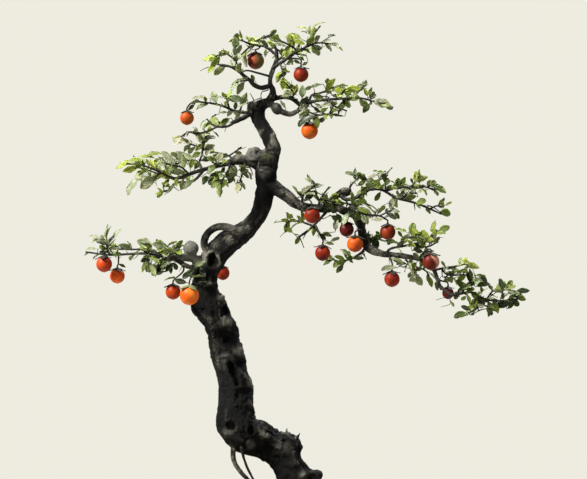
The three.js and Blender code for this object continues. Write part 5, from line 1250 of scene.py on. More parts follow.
# Marks on the bark's front: column, row, half width, half height and clockwise lean in degrees, then
# how far it stands out or, below zero, is sunk, in millimetres.
BARK_MARKS = [
    (213, 260.5, 4.6, 6.2, 0, -6.5), (219.5, 261, 2.2, 6, 0, 1.8), (207, 258, 2.4, 5, 0, 1.2),
    (224.6, 310.5, 3.6, 5.6, 8, -6.5), (203, 309.2, 2, 2.2, 0, -2.6), (217, 308, 2.2, 5, 0, 1.4),
    (229.3, 305, 2, 4, -10, 1.4), (222.5, 297, 4.4, 3, 0, 2.2), (228.5, 321, 5.6, 4.6, 10, 2.6),
    (228, 329, 5.5, 1.6, 8, 1.2), (226.5, 339, 4.6, 3.8, 0, -4.5), (238.5, 350.5, 5.6, 6, -20, 2.6),
    (225, 356, 5.4, 1.5, -6, 2.6), (225.2, 367, 1.5, 8, -14, 1.8), (233.5, 371.5, 3.3, 11.5, -22, -8),
    (238, 363.5, 5, 3.4, 0, -3.6), (237.5, 387, 5, 1.7, -12, 2.2), (243.5, 378, 3, 6, -10, 1.4),
    (246, 391, 4.4, 4, 0, -3.4), (247.5, 403.5, 4.6, 3.4, 0, 1.8), (236, 398, 4.4, 6, 0, -2.4),
    (231, 424.3, 5.2, 4.6, 10, -6), (228, 431.3, 7, 2.2, 14, 2.6), (251.4, 427.8, 3.2, 4.4, 0, -6),
    (257.5, 426, 2.2, 6, -24, 1.8), (242, 427, 4, 7, 0, 1.2), (241, 438, 8, 3, 12, 1.4),
    (265, 436, 8, 4.6, 34, 1.6), (249, 440.2, 1.7, 1.7, 0, 1.7), (253, 443.6, 1.7, 1.7, 0, 1.7),
    (249.4, 446, 1.6, 1.6, 0, 1.5), (273, 434, 8, 2, 38, -4.4), (284, 440.5, 5, 2.4, 20, -3.6),
    (278, 446, 5, 2.6, 38, 2.0), (293, 451.6, 4, 3.2, 0, 1.8), (303, 474, 4, 3.4, 0, 2),
    (312, 470, 3, 3, 0, 1.5), (217, 292, 3, 4, 0, 1.2), (211, 283, 4, 3, 0, 1.4), (216, 246, 5, 3, 30, 1.2),
    (204, 254, 5, 3, 0, 1.6), (257.6, 153.4, 2.6, 3, 0, -3.2), (250, 150.5, 3.4, 3, 0, 1.8),
    (264, 151.5, 3, 3, 0, 1.6), (270, 158, 4, 3, 0, 1.4), (238, 159.5, 2.6, 2.6, 0, 1.6),
    (255, 162, 5, 1.8, 0, -2.6), (267, 166.5, 8, 1.2, 0, -1.6), (262, 170, 7, 2, 0, 1.4),
    (262, 200, 3, 9, 0, 0.9), (246, 226, 9, 2.6, 45, 0.9), (236, 238, 8, 2.4, 42, -0.9),
    (262, 134, 2.4, 5, 20, 0.8), (252.5, 109, 3.2, 3.2, 0, 1.4), (262, 107, 3, 3, 0, 1.4),
    (257.5, 106, 1.6, 4, 0, -1.6), (273, 136, 3, 3, 0, 1.2), (277, 106, 2.4, 3, 0, 1.4),
    (279, 113, 2.6, 2, 0, -1.4),
]
# Painted shade and painted light on the bark, with some real stains, as the marks are given: below zero
# dark, above it light. Most dark ones paint shade under the trunk's foot and beside the fruit, limbs and
# leaves; most light ones paint highlights on lit bulges and lips.
BARK_PAINTED_LIGHT_AND_STAINS = [
    (211, 292, 5, 9, 0, -0.5), (222, 337, 6, 8, 10, -0.5), (240, 362, 9, 4, 0, -0.3),
    (235, 401, 13, 16, 0, -0.45), (279, 465, 25, 12, 25, -0.6), (303, 446, 7, 16, -20, -0.4),
    (260, 452, 16, 5, 20, -0.3), (215, 346, 5, 14, -12, 0.18), (235, 351, 9, 6, 15, 0.32),
    (248, 389, 4, 20, -10, 0.22), (218, 408, 3, 14, 10, 0.2), (231, 433, 8, 4, 12, 0.3),
    (265, 434, 12, 7, 35, 0.34), (282, 441, 9, 5, 25, 0.2), (301, 473, 5, 4, 0, 0.35),
    (226, 323, 8, 7, 0, 0.2), (206, 309, 8, 8, 0, 0.12), (223, 299, 5, 5, 0, 0.2),
    (224, 240, 22, 10, -42, 0.45), (240, 248, 26, 6, -42, -0.3), (256, 213, 6, 14, 0, 0.05),
    (271, 190, 3, 22, 0, -0.4), (257, 190, 5, 20, 0, -0.2), (262, 127, 4, 18, 20, 0.2),
    (196, 260, 12, 5, 0, 0.4), (213, 270, 8, 6, 0, -0.3), (300, 192, 24, 7, 34, -0.25),
    (262, 113, 6, 10, 0, -0.6), (345, 204, 22, 9, 0, -0.1), (275, 138, 5, 12, 0, 0.3),
    (266, 135, 4, 12, 20, -0.3), (264, 190, 10, 14, 0, -0.4), (268, 164, 9, 7, 0, 0.2),
    (270, 171.5, 8, 2, 0, 0.4), (254, 153, 10, 8, 0, 0.3), (210, 236, 14, 13, 0, -0.4),
    (448, 291, 10, 6, 40, -0.5), (238, 120, 15, 6, 24, -0.45), (340, 195, 8, 6, 0, -0.45),
    (262, 89, 12, 5, 0, -0.4), (290, 100, 14, 6, 0, -0.4),
]
# How the bark's skin is drawn in or let out: column, row, reach, then pixels right and up.
PINCHES = [(246, 210, 12, 3.2, 0), (240, 224, 9, 4, -2), (257, 413, 8, -1, -4.5),
           (314, 460, 10, -3, -6.5), (303, 456, 6, -3, -1), (205, 324, 10, 3, 0)]
# A spot fades out at this many of its radii.
SPOT_REACH = 1.5
# Where the bark is pale, partly grey lichen and partly painted highlight on lit bulges and lips, and where
# moss grows: column, row, radius in pixels and how much.
PALE_LICHEN_AND_PAINTED_HIGHLIGHT_SPOTS = [
    (252, 153, 8.5, 0.55), (191.5, 248, 9, 1.0), (238, 350, 5, 0.25), (277, 109, 6, 0.35),
    (349, 193, 5, 0.15), (200, 259, 7, 0.5), (226, 357, 5, 0.35), (229, 431, 5, 0.25), (251, 443, 4, 0.4),
    (229, 320, 5, 0.2), (283, 447, 6, 0.15), (303, 474, 4, 0.3), (264, 171.5, 6, 0.35),
]
MOSS_SPOTS = [(267, 161, 8.5, 0.7), (259, 166, 5, 0.5), (252, 121, 4, 0.3),
              (246, 386, 5, 0.25), (250, 388, 4, 0.3), (300, 500, 22, 0.55)]
# Where the bark is calmer: column, row, radius in pixels and how much.
CALM_SPOTS = [(226, 240, 22, 0.8), (244, 224, 18, 0.9), (258, 206, 14, 0.9), (265, 185, 14, 0.7)]
# Small chips on the torn ridge, beside the splinters of the solid.
CHIPS = [(266.5, 430, 268.5, 424.5, 2.4), (275, 436, 276.5, 430.5, 2.2),
         (281, 438, 281, 433, 2), (291.5, 440, 293.5, 434, 2.2), (297, 441, 297, 437, 1.8),
         (257.5, 428, 258, 423, 2)]
LOOP_STOUTER = 1.22
# Splinters stouter than this are slimmer and shorter than their solids.
STOUT_SPLINTER = 4
SPLINTER_SLIM = 0.62
SPLINTER_REACH = 0.82
SPLINTER_WAIST = 0.5
SPLINTER_TIP = 0.8
SPLINTER_SIDES = 10
# How deep a splinter's root and tip lie.
SPLINTER_DEPTHS = (-2, -3)


def flutes(turns, ring):
    """Shallow waves round the trunk that wander as it rises; ring counts traced points."""
    relief = np.ones(len(turns))
    for waves, depth, wander in FLUTES:
        relief += depth * np.sin(waves * turns + ring * wander)
    return relief


def wood_runs():
    """Every tube of the wood as smooth points, radii, sides and whether it is fluted."""
    runs = []
    for route, sides, fluted in WOOD_ROUTES:
        points = np.array([place(point) for point in route])
        radii = np.array([point[3] * PIXEL for point in route])
        if route is BARE_LOOP_ROUTE:
            radii *= LOOP_STOUTER
        runs.append((*spline(points, radii, WOOD_STEP), sides, fluted))
    crown = place(ROOT_CROWN)
    for degrees, reach, radius in SURFACE_ROOTS:
        way = math.radians(degrees)
        points, radii = [], []
        for part in ROOT_PARTS:
            bend = way + ROOT_BEND * part * math.sin(degrees)
            out = reach * PIXEL * part
            points.append(crown + np.array([math.cos(bend) * out, math.sin(bend) * out,
                                            -ROOT_DROP * part * PIXEL]))
            radii.append(radius * PIXEL * (1 - ROOT_TAPER * part))
        runs.append((*spline(np.array(points), np.array(radii), WOOD_STEP), ROOT_SIDES, False))
    for root_column, root_row, tip_column, tip_row, radius in SPLINTERS + CHIPS:
        ends = [place((root_column, root_row, SPLINTER_DEPTHS[0])),
                place((tip_column, tip_row, SPLINTER_DEPTHS[1]))]
        if radius > STOUT_SPLINTER:
            radius *= SPLINTER_SLIM
            ends[1] = ends[0] + (ends[1] - ends[0]) * SPLINTER_REACH
        middle = (ends[0] + ends[1]) / 2
        runs.append((np.array([ends[0], middle, ends[1]]),
                     np.array([radius, radius * SPLINTER_WAIST, SPLINTER_TIP]) * PIXEL,
                     SPLINTER_SIDES, False))
    return runs


def applied(piece):
    """The mesh of a helper piece with its modifier applied. The helper itself goes."""
    bpy.context.view_layer.update()
    seen = piece.evaluated_get(bpy.context.evaluated_depsgraph_get())
    mesh = bpy.data.meshes.new_from_object(seen)
    bpy.data.objects.remove(piece)
    return mesh


def faces_of(mesh):
    return [tuple(face.vertices) for face in mesh.polygons]


def remeshed(shape, voxel):
    """One skin round all the closed tubes of a shape."""
    rough = shape.build("wood_in_the_making", [])
    remesh = rough.modifiers.new("one_skin", "REMESH")
    remesh.mode = "VOXEL"
    remesh.voxel_size = voxel * MM
    return applied(rough)


def mesh_arrays(mesh):
    points = np.empty(len(mesh.vertices) * 3)
    mesh.vertices.foreach_get("co", points)
    normals = np.empty(len(mesh.vertices) * 3)
    mesh.vertices.foreach_get("normal", normals)
    return points.reshape(-1, 3), normals.reshape(-1, 3)


def smooth_mesh(mesh, times, share=0.5):
    """Draw each point towards the middle of its neighbours."""
    edges = np.empty(len(mesh.edges) * 2, dtype=np.int32)
    mesh.edges.foreach_get("vertices", edges)
    edges = edges.reshape(-1, 2)
    points, _ = mesh_arrays(mesh)
    count = np.bincount(edges.ravel(), minlength=len(points))[:, None]
    for _ in range(times):
        total = np.zeros_like(points)
        np.add.at(total, edges[:, 0], points[edges[:, 1]])
        np.add.at(total, edges[:, 1], points[edges[:, 0]])
        points += share * (total / count - points)
    mesh.vertices.foreach_set("co", points.ravel())
    mesh.update()


def noise_at(points):
    return np.array([noise.noise(point) for point in points.tolist()])


def plates_at(points):
    """Cracked plates: 0 in the cracks between them and 1 on them."""
    apart = np.empty(len(points))
    for i, point in enumerate(points.tolist()):
        near = noise.voronoi(point)[0]
        apart[i] = near[1] - near[0]
    return np.clip(apart / PLATE_EDGE, 0, 1)


def nearest_wood(points, runs):
    """For each point: the radius of the nearest tube, and its place round and along that tube."""
    rows = []
    start = 0.0
    for run_points, run_radii, _, _ in runs:
        steps = np.linalg.norm(np.diff(run_points, axis=0), axis=1)
        gone = np.concatenate([[0], np.cumsum(steps)])
        for (forward, side, across), centre, radius, length in zip(
                frames(run_points), run_points, run_radii, gone):
            rows.append((centre, radius, side, across, forward, start + length))
        start += gone[-1] + RUNS_APART
    centres, radii, sides, acrosses, forwards, lengths = map(np.array, zip(*rows))
    best = np.empty(len(points), dtype=int)
    for begin in range(0, len(points), BATCH):
        part = slice(begin, begin + BATCH)
        apart = np.linalg.norm(points[part, None] - centres[None], axis=2) - radii
        best[part] = apart.argmin(1)
    away = points - centres[best]
    bark = np.column_stack([(away * ways[best]).sum(1) for ways in (sides, acrosses, forwards)])
    bark[:, 2] += lengths[best]
    return radii[best], bark


def mark_share(points, column, row, half_width, half_height, lean=0):
    """Distance from a mark's middle in units of its half sizes, seen from the front."""
    middle = place((column, row, 0))
    x, z = points[:, 0] - middle[0], points[:, 2] - middle[2]
    turn = math.radians(-lean)
    across = x * math.cos(turn) + z * math.sin(turn)
    upward = -x * math.sin(turn) + z * math.cos(turn)
    return np.hypot(across / (half_width * PIXEL), upward / (half_height * PIXEL))


def carve(points, normals, runs):
    """Bark relief. Gives the moved points, how pale each is, and its place on the bark."""
    radius, bark = nearest_wood(points, runs)
    thick = np.clip(radius / THICK_WOOD, THINNEST_RELIEF, 1.0)
    # The numbers added to the places give each noise a pattern of its own.
    lumps = noise_at(bark * (1 / LUMP_SIZE))
    knobs = noise_at(bark * (1 / KNOB_SIZE) + 7)
    fissures = 1 - np.abs(noise_at(bark * (1 / FISSURE_SIZE) + 31)) * FISSURE_SHARPNESS
    fissured = np.clip(FISSURED + FISSURED_SWING * noise_at(bark / FISSURED_SIZE + 61), 0, 1)
    fissures = np.clip(fissures, 0, 1) ** 2 * fissured
    plates = plates_at(bark * (1 / PLATE_SIZE) + PLATE_WARP * knobs[:, None])
    grains = noise_at(bark / BARK_GRAIN_SIZE + 53)
    calm = 1 - CALMING * spots(points, CALM_SPOTS)
    rise = thick * calm * (LUMP_RISE * lumps + KNOB_RISE * knobs + PLATE_RISE * plates
                           - FISSURE_DEPTH * fissures + GRAIN_RISE * grains)
    rise += np.clip(1 - thick, 0, 1) * (THIN_KNOB_RISE * knobs + THIN_GRAIN_RISE * grains)
    front = np.clip(-normals[:, 1] * FRONT_SHARPNESS + FRONT_REACH, 0, 1)
    ragged = FRAYED_BY_KNOBS * knobs + FRAYED_BY_GRAINS * grains
    sunk, lips, raised = np.zeros((3, len(points)))
    for *where, amount in BARK_MARKS:
        share = mark_share(points, *where) + ragged
        if amount > 0:
            bump = np.exp(-share ** 2 * BUMP_SHARPNESS) * front
            rise += BUMP_RISE * amount * bump
            raised = np.maximum(raised, min(1, amount / PALEST_BUMP) * bump)
        else:
            lipped = amount < LIPPED_BELOW
            hole = np.clip((HOLE_EDGE - share) / (STEEP_WALL if lipped else SOFT_WALL), 0, 1)
            hole = hole * hole * (3 - 2 * hole)
            sunk += -amount * hole * front
            if lipped:
                lip = np.exp(-((share - LIP_AT) / LIP_WIDTH) ** 2) * front
                lip *= np.clip(LIP_SHARE + LIP_SWING * lumps, 0, LIP_MOST)
                rise += LIP_RISE * -amount * lip
                lips = np.maximum(lips, lip)
    torn = place((TORN_COLUMN, TORN_ROW, 0))
    ridge = np.exp(-((points[:, 0] - torn[0]) / TORN_REACH) ** 2)
    ridge *= np.exp(-((points[:, 2] - torn[2]) / TORN_HEIGHT) ** 2) * np.clip(normals[:, 2], 0, 1)
    jags = noise_at(points * (1 / JAG_SIZE) + 91)
    rise += ridge * (JAG_RISE * jags + TORN_RISE)
    moved = points + normals * rise[:, None] + BACK * sunk[:, None]
    # Painted shade and painted light, with some stains: below zero darker, above it lighter.
    painted_light_and_stain = np.zeros(len(points))
    for *where, amount in BARK_PAINTED_LIGHT_AND_STAINS:
        share = mark_share(points, *where) + ragged
        painted_light_and_stain += amount * np.exp(-np.clip(share, 0, 9) ** 2) * front
    for column, row, reach, right, up in PINCHES:
        share = mark_share(points, column, row, reach, reach)
        moved += np.exp(-share ** 2)[:, None] * np.array([right, 0, up]) * PIXEL
    # The bark's lightness: wear, with painted highlight on the raised relief and painted shade in fissures
    # and holes, plus the painted light and stains.
    height = painted_light_and_stain + (PALE_BARK + calm * (PALE_LUMPS * lumps + PALE_KNOBS * knobs)
                      + PALE_PLATES * plates - FISSURE_DARKNESS_AND_PAINTED_SHADE * fissures + PALE_GRAINS * grains
                      + PALE_THIN_WOOD * (1 - thick) + LIP_WEAR_AND_PAINTED_HIGHLIGHT * lips + BUMP_WEAR_AND_PAINTED_HIGHLIGHT * raised
                      - HOLE_PAINTED_SHADE * np.clip(sunk / DARKEST_DEPTH, 0, 1))
    return moved, height, bark


def spots(points, table):
    """How strongly each point lies in the spots of a table."""
    strength = np.zeros(len(points))
    for column, row, radius, most in table:
        share = mark_share(points, column, row, radius, radius)
        strength = np.maximum(strength, most * np.clip(SPOT_REACH - share, 0, 1))
    return strength


def make_wood():
    """The wood as one carved skin, with plain tubes where it is too thin for the voxels."""
    runs = wood_runs()
    shape = Shape()
    for points, radii, sides, fluted in runs:
        thick = np.nonzero(radii >= THIN_WOOD)[0]
        last = min(thick[-1] + PAST_THICK, len(points) - 1) if len(thick) else 0
        if last < 2:
            last = len(points) - 1
        ring_of = np.arange(last + 1) * (len(TRUNK_ROUTE) - 1) / (len(points) - 1)
        relief = (lambda turns, i, at=ring_of: flutes(turns, at[i])) if fluted else None
        shape.add(*tube(points[:last + 1], radii[:last + 1], sides, relief))
    for column, row, depth, *halves in BURLS:
        shape.add(*ball(place_unspread(column, row, depth), np.array(halves) * PIXEL,
                        BURL_SIDES, BURL_ROWS))
    mesh = remeshed(shape, WOOD_VOXEL)
    smooth_mesh(mesh, SMOOTHINGS)
    points, normals = mesh_arrays(mesh)
    points, height, bark = carve((points - ORIGIN) / MM, normals, runs)
    wood = Shape()
    moss = spots(points, MOSS_SPOTS) * np.clip(MOSSY_WALL + normals[:, 2], 0, 1)
    pale = spots(points, PALE_LICHEN_AND_PAINTED_HIGHLIGHT_SPOTS)
    wood.add(points, faces_of(mesh), 0, np.column_stack([height, moss, pale]), bark / BARK_SCALE)
    bpy.data.meshes.remove(mesh)
    for points, radii, _, _ in runs[:len(WOOD_ROUTES)]:
        thin = np.nonzero(radii < THIN_WOOD * THIN_OVERLAP)[0]
        if not len(thin) or thin[-1] < len(radii) - 1:
            continue
        thin_points = points[thin[0]:]
        skin, skin_faces = tube(thin_points, radii[thin[0]:], THIN_SIDES)
        wobble = noise_at(skin / THIN_WOBBLE_SIZE) * THIN_WOBBLE
        middle = np.repeat(thin_points, THIN_SIDES, axis=0)
        domes = len(DOME) * THIN_SIDES
        body = slice(domes, domes + len(middle))
        out = skin[body] - middle
        skin[body] += out / np.linalg.norm(out, axis=1)[:, None] * wobble[body, None]
        wood.add(skin, skin_faces, 0, THIN_BARK, skin / BARK_SCALE)
    foot = place(TRUNK_ROUTE[0]) * [1, 1, 0]
    radius, low, top = STUMP
    stump = tube(np.array([foot + UP * low, foot + UP * top]), np.array([radius, radius]),
                 STUMP_SIDES)
    wood.add(*stump, 0, STUMP_BARK)
    piece = wood.build("wood", [BARK])
    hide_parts("trunk")
    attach(piece, "root")


# Leaves, twigs, stalks and calyces.
LEAF_STATIONS = [0.0, 0.07, 0.13, 0.21, 0.32, 0.44, 0.56, 0.68, 0.79, 0.88, 0.95, 0.985]
LEAF_ACROSS = [-1, -0.68, -0.34, 0, 0.34, 0.68, 1]
PETIOLE_END = 0.09
LEAF_HALF_THICKNESS = 0.2
LEAF_ROLL = 1.5
TRACED_LEAST_HALF = 0.2
PETIOLE_HALF = 0.42
# Share of the leaves grown by rule that take a neighbouring tone.
NEIGHBOUR_SHARE = 0.22
# Leaf tones. The dark tone is painted shade, for leaves that lie in shade; the grey and pale tones are
# partly the leaves' grey-green colour and partly painted sheen.
TONES = {
    "old": srgb(68, 82, 28), "mid": srgb(114, 130, 48), "new": srgb(144, 158, 52),
    "grey": srgb(144, 152, 116), "dark": srgb(42, 54, 28), "pale": srgb(152, 154, 124),
}
NEIGHBOUR = {"old": "mid", "mid": "old", "new": "mid", "grey": "old", "dark": "old",
             "pale": "grey"}
# What a paler underside adds to nearly half of the leaf's own colour.
UNDERSIDE_OWN = 0.45
UNDERSIDE = srgb(156, 164, 108) * 0.55
CALYX_TINT = srgb(52, 40, 28)
FRESH_CALYX_TINT = srgb(132, 140, 84)
FRESH_CALYX = "low_front"
CALYX_LOBES = 4
CALYX_SPIN = 1.5
# A lobe's reach in degrees from the fruit's top and the curl of its tip: least and spread.
LOBE_REACH = (50, 18)
LOBE_CURL = (0.35, 0.75)
LOBE_LIFT = 0.5
LOBE_WIDTH = 0.45
LOBE_HALF_THICKNESS = 0.3
# A lobe's outline is a stretch of a sine, made fuller by a power.
LOBE_START = 0.16
LOBE_SPAN = 0.8
LOBE_FULLNESS = 0.8
# Where a lobe's tip starts to curl and how much, and how its edges sink and lift.
CURL_FROM = 0.55
CURL_GAIN = 1.5
EDGE_ROUND = 2.2
EDGE_LIFT = 0.16
# A lobe's lightness at its root, and how much of it is gone at its tip.
LOBE_LIGHT = 1.3
LOBE_FADE = 0.7
# The knob in a calyx's middle: its rise and half sizes.
CALYX_KNOB_RISE = 0.5
CALYX_KNOB = (1.7, 1.7, 1.1)
# Stations along a calyx lobe, and its cross section: place across and side of the skin.
LOBE_STATIONS = (0.0, 0.14, 0.3, 0.46, 0.62, 0.76, 0.88, 0.97)
LOBE_SECTION = ((-1, 0), (-0.5, 1), (0, 1), (0.5, 1), (1, 0), (0.5, -1), (0, -1), (-0.5, -1))
TWIG_STEP = 1.5
TWIG_FACETS = 9
TWIGLET_STEP = 1.6
TWIGLET_FACETS = 7
# Spurs on a twig for each point of its run, and their radii.
SPURS = 0.13
SPUR_RADII = (0.62, 0.46, 0.26)
SPUR_SIDES = 6
SPUR_LEAN = 0.5
SPUR_LIFT = 0.2
# A spur's shortest reach, what is added to it at most, and how rare the long ones are.
SPUR_REACH = 1.4
SPUR_MORE = 8
SPUR_RARITY = 2.2
# A twig's knots: how thick and how long they are.
KNOT_RISE = 0.22
KNOT_SIZE = 3.5
# Points of a fruit's stalk that have no knots or no spurs, and of any twig that have no spurs.
STALK_NO_KNOTS = 6
STALK_NO_SPURS = 9
START_NO_SPURS = 2
ENDS_NO_SPURS = 6
# Share of the leaves that are slim, besides the new ones, which all are.
SLIM_SHARE = 0.5
# How the leaves vary: the least of each and what a draw adds, or else how far it swings in all.
SLIM_WIDTH = (0.6, 0.2)
BROAD_WIDTH = (0.74, 0.2)
LEAF_CUP = (0.25, 0.5)
LEAF_WAVE = (0.05, 0.07)
LEAF_ARCH = (0.6, 0.9)
LEAF_TWIST = 0.9
LEAF_BEND = 0.12
HUE_SWING = np.array([0.3, 0.1, 0.2])
LIGHT_SWING = 0.8
TRACED_LIGHT_SWING = 0.4
# What is left of the twist, roll, bend and arch of a traced leaf.
TRACED_CALM = (0.4, 0.2, 0.5, 0.3)
# Powers of a blade's outline towards its petiole and its tip.
SLIM_ENDS = (0.85, 0.95)
BROAD_ENDS = (0.9, 0.68)
# Where a leaf starts to arch and how much, and the share of its length in which it opens.
ARCH_FROM = 0.2
ARCH_GAIN = 1.56
BLADE_OPENING = 0.1
# The cup of a blade, and the waves of its edge.
CUP_POWER = 1.6
CUP_DEPTH = 0.55
WAVE_DEPTH = 0.35
WAVES_ALONG = 15
WAVE_LAG = 2.2
# Thickness at the midrib, and how much of it is gone at the edge.
MIDRIB_THICKNESS = 1.15
EDGE_THINNING = 0.75
PETIOLE_FLATNESS = 0.05
TIP_POINT = 0.012
# About a full turn, in radians.
ROUND = 6.28
# Traced twiglets and leaves: how far each step comes forward, and what is too short to build.
DEPTH_STEP = 1.2
LEAST_STEP = 1.5
TWIGLET_TAPER = 0.45
TRACE_TRIES = 12
TRACED_OFF_FRUIT = 0.9
TRACED_OFF_WOOD = 0.2
# A traced leaf or twiglet hangs on the wood where that is so much nearer than any twig.
WOOD_NEARER = 2
TWIGLET_WOOD_NEARER = 1
# A traced leaf's tip leans back or forward by a share of its length, more often forward.
TRACED_LEAN = 0.5
TRACED_FORWARD = 0.6
LEAST_STALK = 0.6
STALK_ARCH = 0.12
STALK_RADII = (0.5, 0.42, 0.4)
# What the fuller foliage adds: small leaves between the others.
FILL_SHARE = 0.7
FILL_TRIES = 6
FILL_FIRST = 0.75
FILL_LAST = 0.99
FILL_LEAN = 0.3
FILL_LIFT = 0.25
FILL_FRONT = 0.6
FILL_SIZE = (0.55, 0.92)
FILL_EASE = 0.45
FILL_MARGIN = 2.5
# Places where the photo shows no leaf: (column, row, radius) in its pixels. Leaves that grow
# by rule are left out there. The places were measured by a comparison with the photo and then
# rounded, not found by eye.
BARE_AREAS = [
    (249, 91, 2), (245, 69.5, 1.5), (218, 49, 3), (230, 51, 2), (227, 80, 4), (241, 49, 1), (257.5, 34, 3),
    (268, 32, 2), (277, 32, 1.5), (238, 34, 1.5), (243, 60, 2), (336, 41, 2), (322, 30, 3), (322, 19, 3),
    (313, 61, 4), (396, 112, 4), (317, 90, 4), (350, 116, 4), (347, 80, 4), (381, 99, 2), (286, 87.5, 1),
    (201, 113, 4), (182, 129, 4), (220, 89, 2), (138, 193, 4), (142, 187.5, 2), (183, 145, 2),
    (248, 186, 2), (231, 150.5, 3), (223, 150, 3), (243, 145, 5), (304, 178, 2), (304, 168, 4),
    (335, 188, 3), (329.5, 181, 4), (323, 189, 2), (429, 215, 1), (428.5, 177, 3), (420, 165, 4),
    (448, 209, 3), (368, 171.5, 4), (351, 180, 4), (400, 206, 3), (375, 206, 1.5), (300, 231.5, 3),
    (445, 240.5, 3), (441, 247, 3), (404, 277, 2), (491, 276.5, 4), (478, 318, 3), (497, 297, 1),
    (459, 260.5, 1), (452, 263, 2), (80, 252, 2), (177, 272, 4), (184, 242.5, 1.5),
]


def is_bare(leaf):
    """Whether the camera sees the leaf's middle in one of the bare places."""
    middle = (leaf["probes"][0] + leaf["probes"][3]) / 2
    return any(np.linalg.norm(middle - seen_at(column, row, middle[1])) < radius * PIXEL
               for column, row, radius in BARE_AREAS)


def fill_leaves(placed):
    """Smaller leaves between the others, kept inside the box of each spray's solid."""
    added = []
    for spray_index, (spray, shoots) in enumerate(SPRAYS.items()):
        low, high = ((np.array(corner) - ORIGIN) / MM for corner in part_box("spray_" + spray))
        for number, shoot in enumerate(shoots):
            foreign, sister = twigs_round(spray, number)
            points = [place(point) for point in shoot[6]]
            seed = 900 + spray_index * 37 + number * 11
            for index in range(round(shoot[1] * FILL_SHARE)):
                for attempt in range(FILL_TRIES):
                    key = index * 23 + attempt * 7
                    first = shoot[2] * FILL_FIRST
                    share = first + (FILL_LAST - first) * draw(seed, key + 1)
                    base, forward, edge, across = point_along(points, share)
                    turn = 2 * math.pi * draw(seed, key + 2)
                    aim = unit(edge * math.cos(turn) + across * math.sin(turn)
                               + forward * (FILL_LEAN + draw(seed, key + 3)) + UP * FILL_LIFT)
                    face = np.array([(draw(seed, key + 4) - 0.5) * FACE_SWING,
                                     FACE_FRONT if draw(seed, key + 5) < FILL_FRONT else FACE_BACK,
                                     FACE_UP + FACE_UP_SPREAD * draw(seed, key + 6)])
                    size = shoot[3] * (FILL_SIZE[0] + (FILL_SIZE[1] - FILL_SIZE[0])
                                       * draw(seed, key))
                    leaf = new_leaf(spray, shoot, base, aim, face, size)
                    probes = leaf["probes"]
                    if (((probes > low - FILL_MARGIN) & (probes < high + FILL_MARGIN)).all()
                            and is_clear(leaf, foreign, sister, placed + added, FILL_EASE)):
                        added.append(leaf)
                        break
    return added


def seen_at(column, row, deep):
    """The place at a depth, in millimetres, that the camera sees at a pixel."""
    out = 1 + deep / (CAMERA_DISTANCE / MM)
    point = place((column, row, 0))
    return np.array([LOOK_X + (point[0] - LOOK_X) * out, deep,
                     LOOK_Z + (point[2] - LOOK_Z) * out])


def hang_on(spot, bars):
    """The place on the bars that the camera sees nearest to a pixel, and its bar."""
    start, end, _ = bars
    point = place((*spot, 0))[::2]
    look = np.array([LOOK_X, LOOK_Z])
    flat, far = (look + (ends[:, ::2] - look) / (1 + ends[:, 1:2] / (CAMERA_DISTANCE / MM))
                 for ends in (start, end))
    seen = far - flat
    share = ((point - flat) * seen).sum(1) / np.maximum((seen * seen).sum(1), 1e-9)
    share = np.clip(share, 0, 1)[:, None]
    apart = np.linalg.norm(flat + seen * share - point, axis=1)
    best = int(apart.argmin())
    return start[best] + (end - start)[best] * share[best], best, float(apart[best])


def joined_bars(one, two):
    return tuple(np.concatenate(pair) for pair in zip(one, two))


def trace_twiglets():
    """The traced twiglets, each from the nearest wood or twig, as runs with their spray."""
    runs, bars, owners = [], TWIG_BARS, [owner[0] for owner in twig_owner]
    for radius, route in TWIGLETS:
        twig_root, twig_bar, twig_apart = hang_on(route[0], bars)
        wood_root, _, wood_apart = hang_on(route[0], WOOD_BARS)
        root = wood_root if wood_apart < twig_apart - TWIGLET_WOOD_NEARER else twig_root
        points = [root]
        for index, spot in enumerate(route):
            point = seen_at(*spot, root[1] - DEPTH_STEP * index)
            if index or np.linalg.norm(point - root) > LEAST_STEP:
                points.append(point)
        widths = np.linspace(radius, TWIGLET_TAPER * radius, len(points)) * PIXEL
        runs.append((owners[twig_bar], points, widths))
        bars = joined_bars(bars, bars_of([(points, widths)]))
        owners += [owners[twig_bar]] * (len(points) - 1)
    return runs, bars, owners


def trace_leaves(bars, owners):
    """The traced leaves, hung on the nearest twig or wood by a stalk where that is needed."""
    traced, stalks = [], []
    for tone, rows in TRACED_LEAVES.items():
        for index, (*foot_spot, tip_column, tip_row, width, bow) in enumerate(
                (*row, 0)[:6] for row in rows):
            root, bar, apart = hang_on(foot_spot, bars)
            wood_root, _, wood_apart = hang_on(foot_spot, WOOD_BARS)
            if wood_apart < apart - WOOD_NEARER:
                root = wood_root
            seed = index * 7 + len(tone)
            long = math.dist(foot_spot, (tip_column, tip_row)) * PIXEL
            lean = (draw(seed, 1) - TRACED_FORWARD) * TRACED_LEAN * long
            for step in range(TRACE_TRIES):
                deep = root[1] - DEPTH_STEP * step
                foot = seen_at(*foot_spot, deep)
                tip = seen_at(tip_column, tip_row, deep + lean - DEPTH_STEP / 2 * step)
                leaf = traced_leaf(foot, tip, width * PIXEL / 2)
                if (clear_of_balls(leaf["probes"], FRUIT_MIDDLES, FRUIT_RADII, TRACED_OFF_FRUIT)
                        and clear_of_bars(leaf["probes"][1:4], WOOD_BARS, TRACED_OFF_WOOD)):
                    break
            leaf.update(spray=owners[bar], tone=tone, bow=bow * PIXEL)
            traced.append(leaf)
            gap = np.linalg.norm(root - foot)
            if gap > LEAST_STALK:
                middle = (root + foot) / 2 + UP * STALK_ARCH * gap
                stalks.append((owners[bar], [root, middle, foot], STALK_RADII))
    return traced, stalks


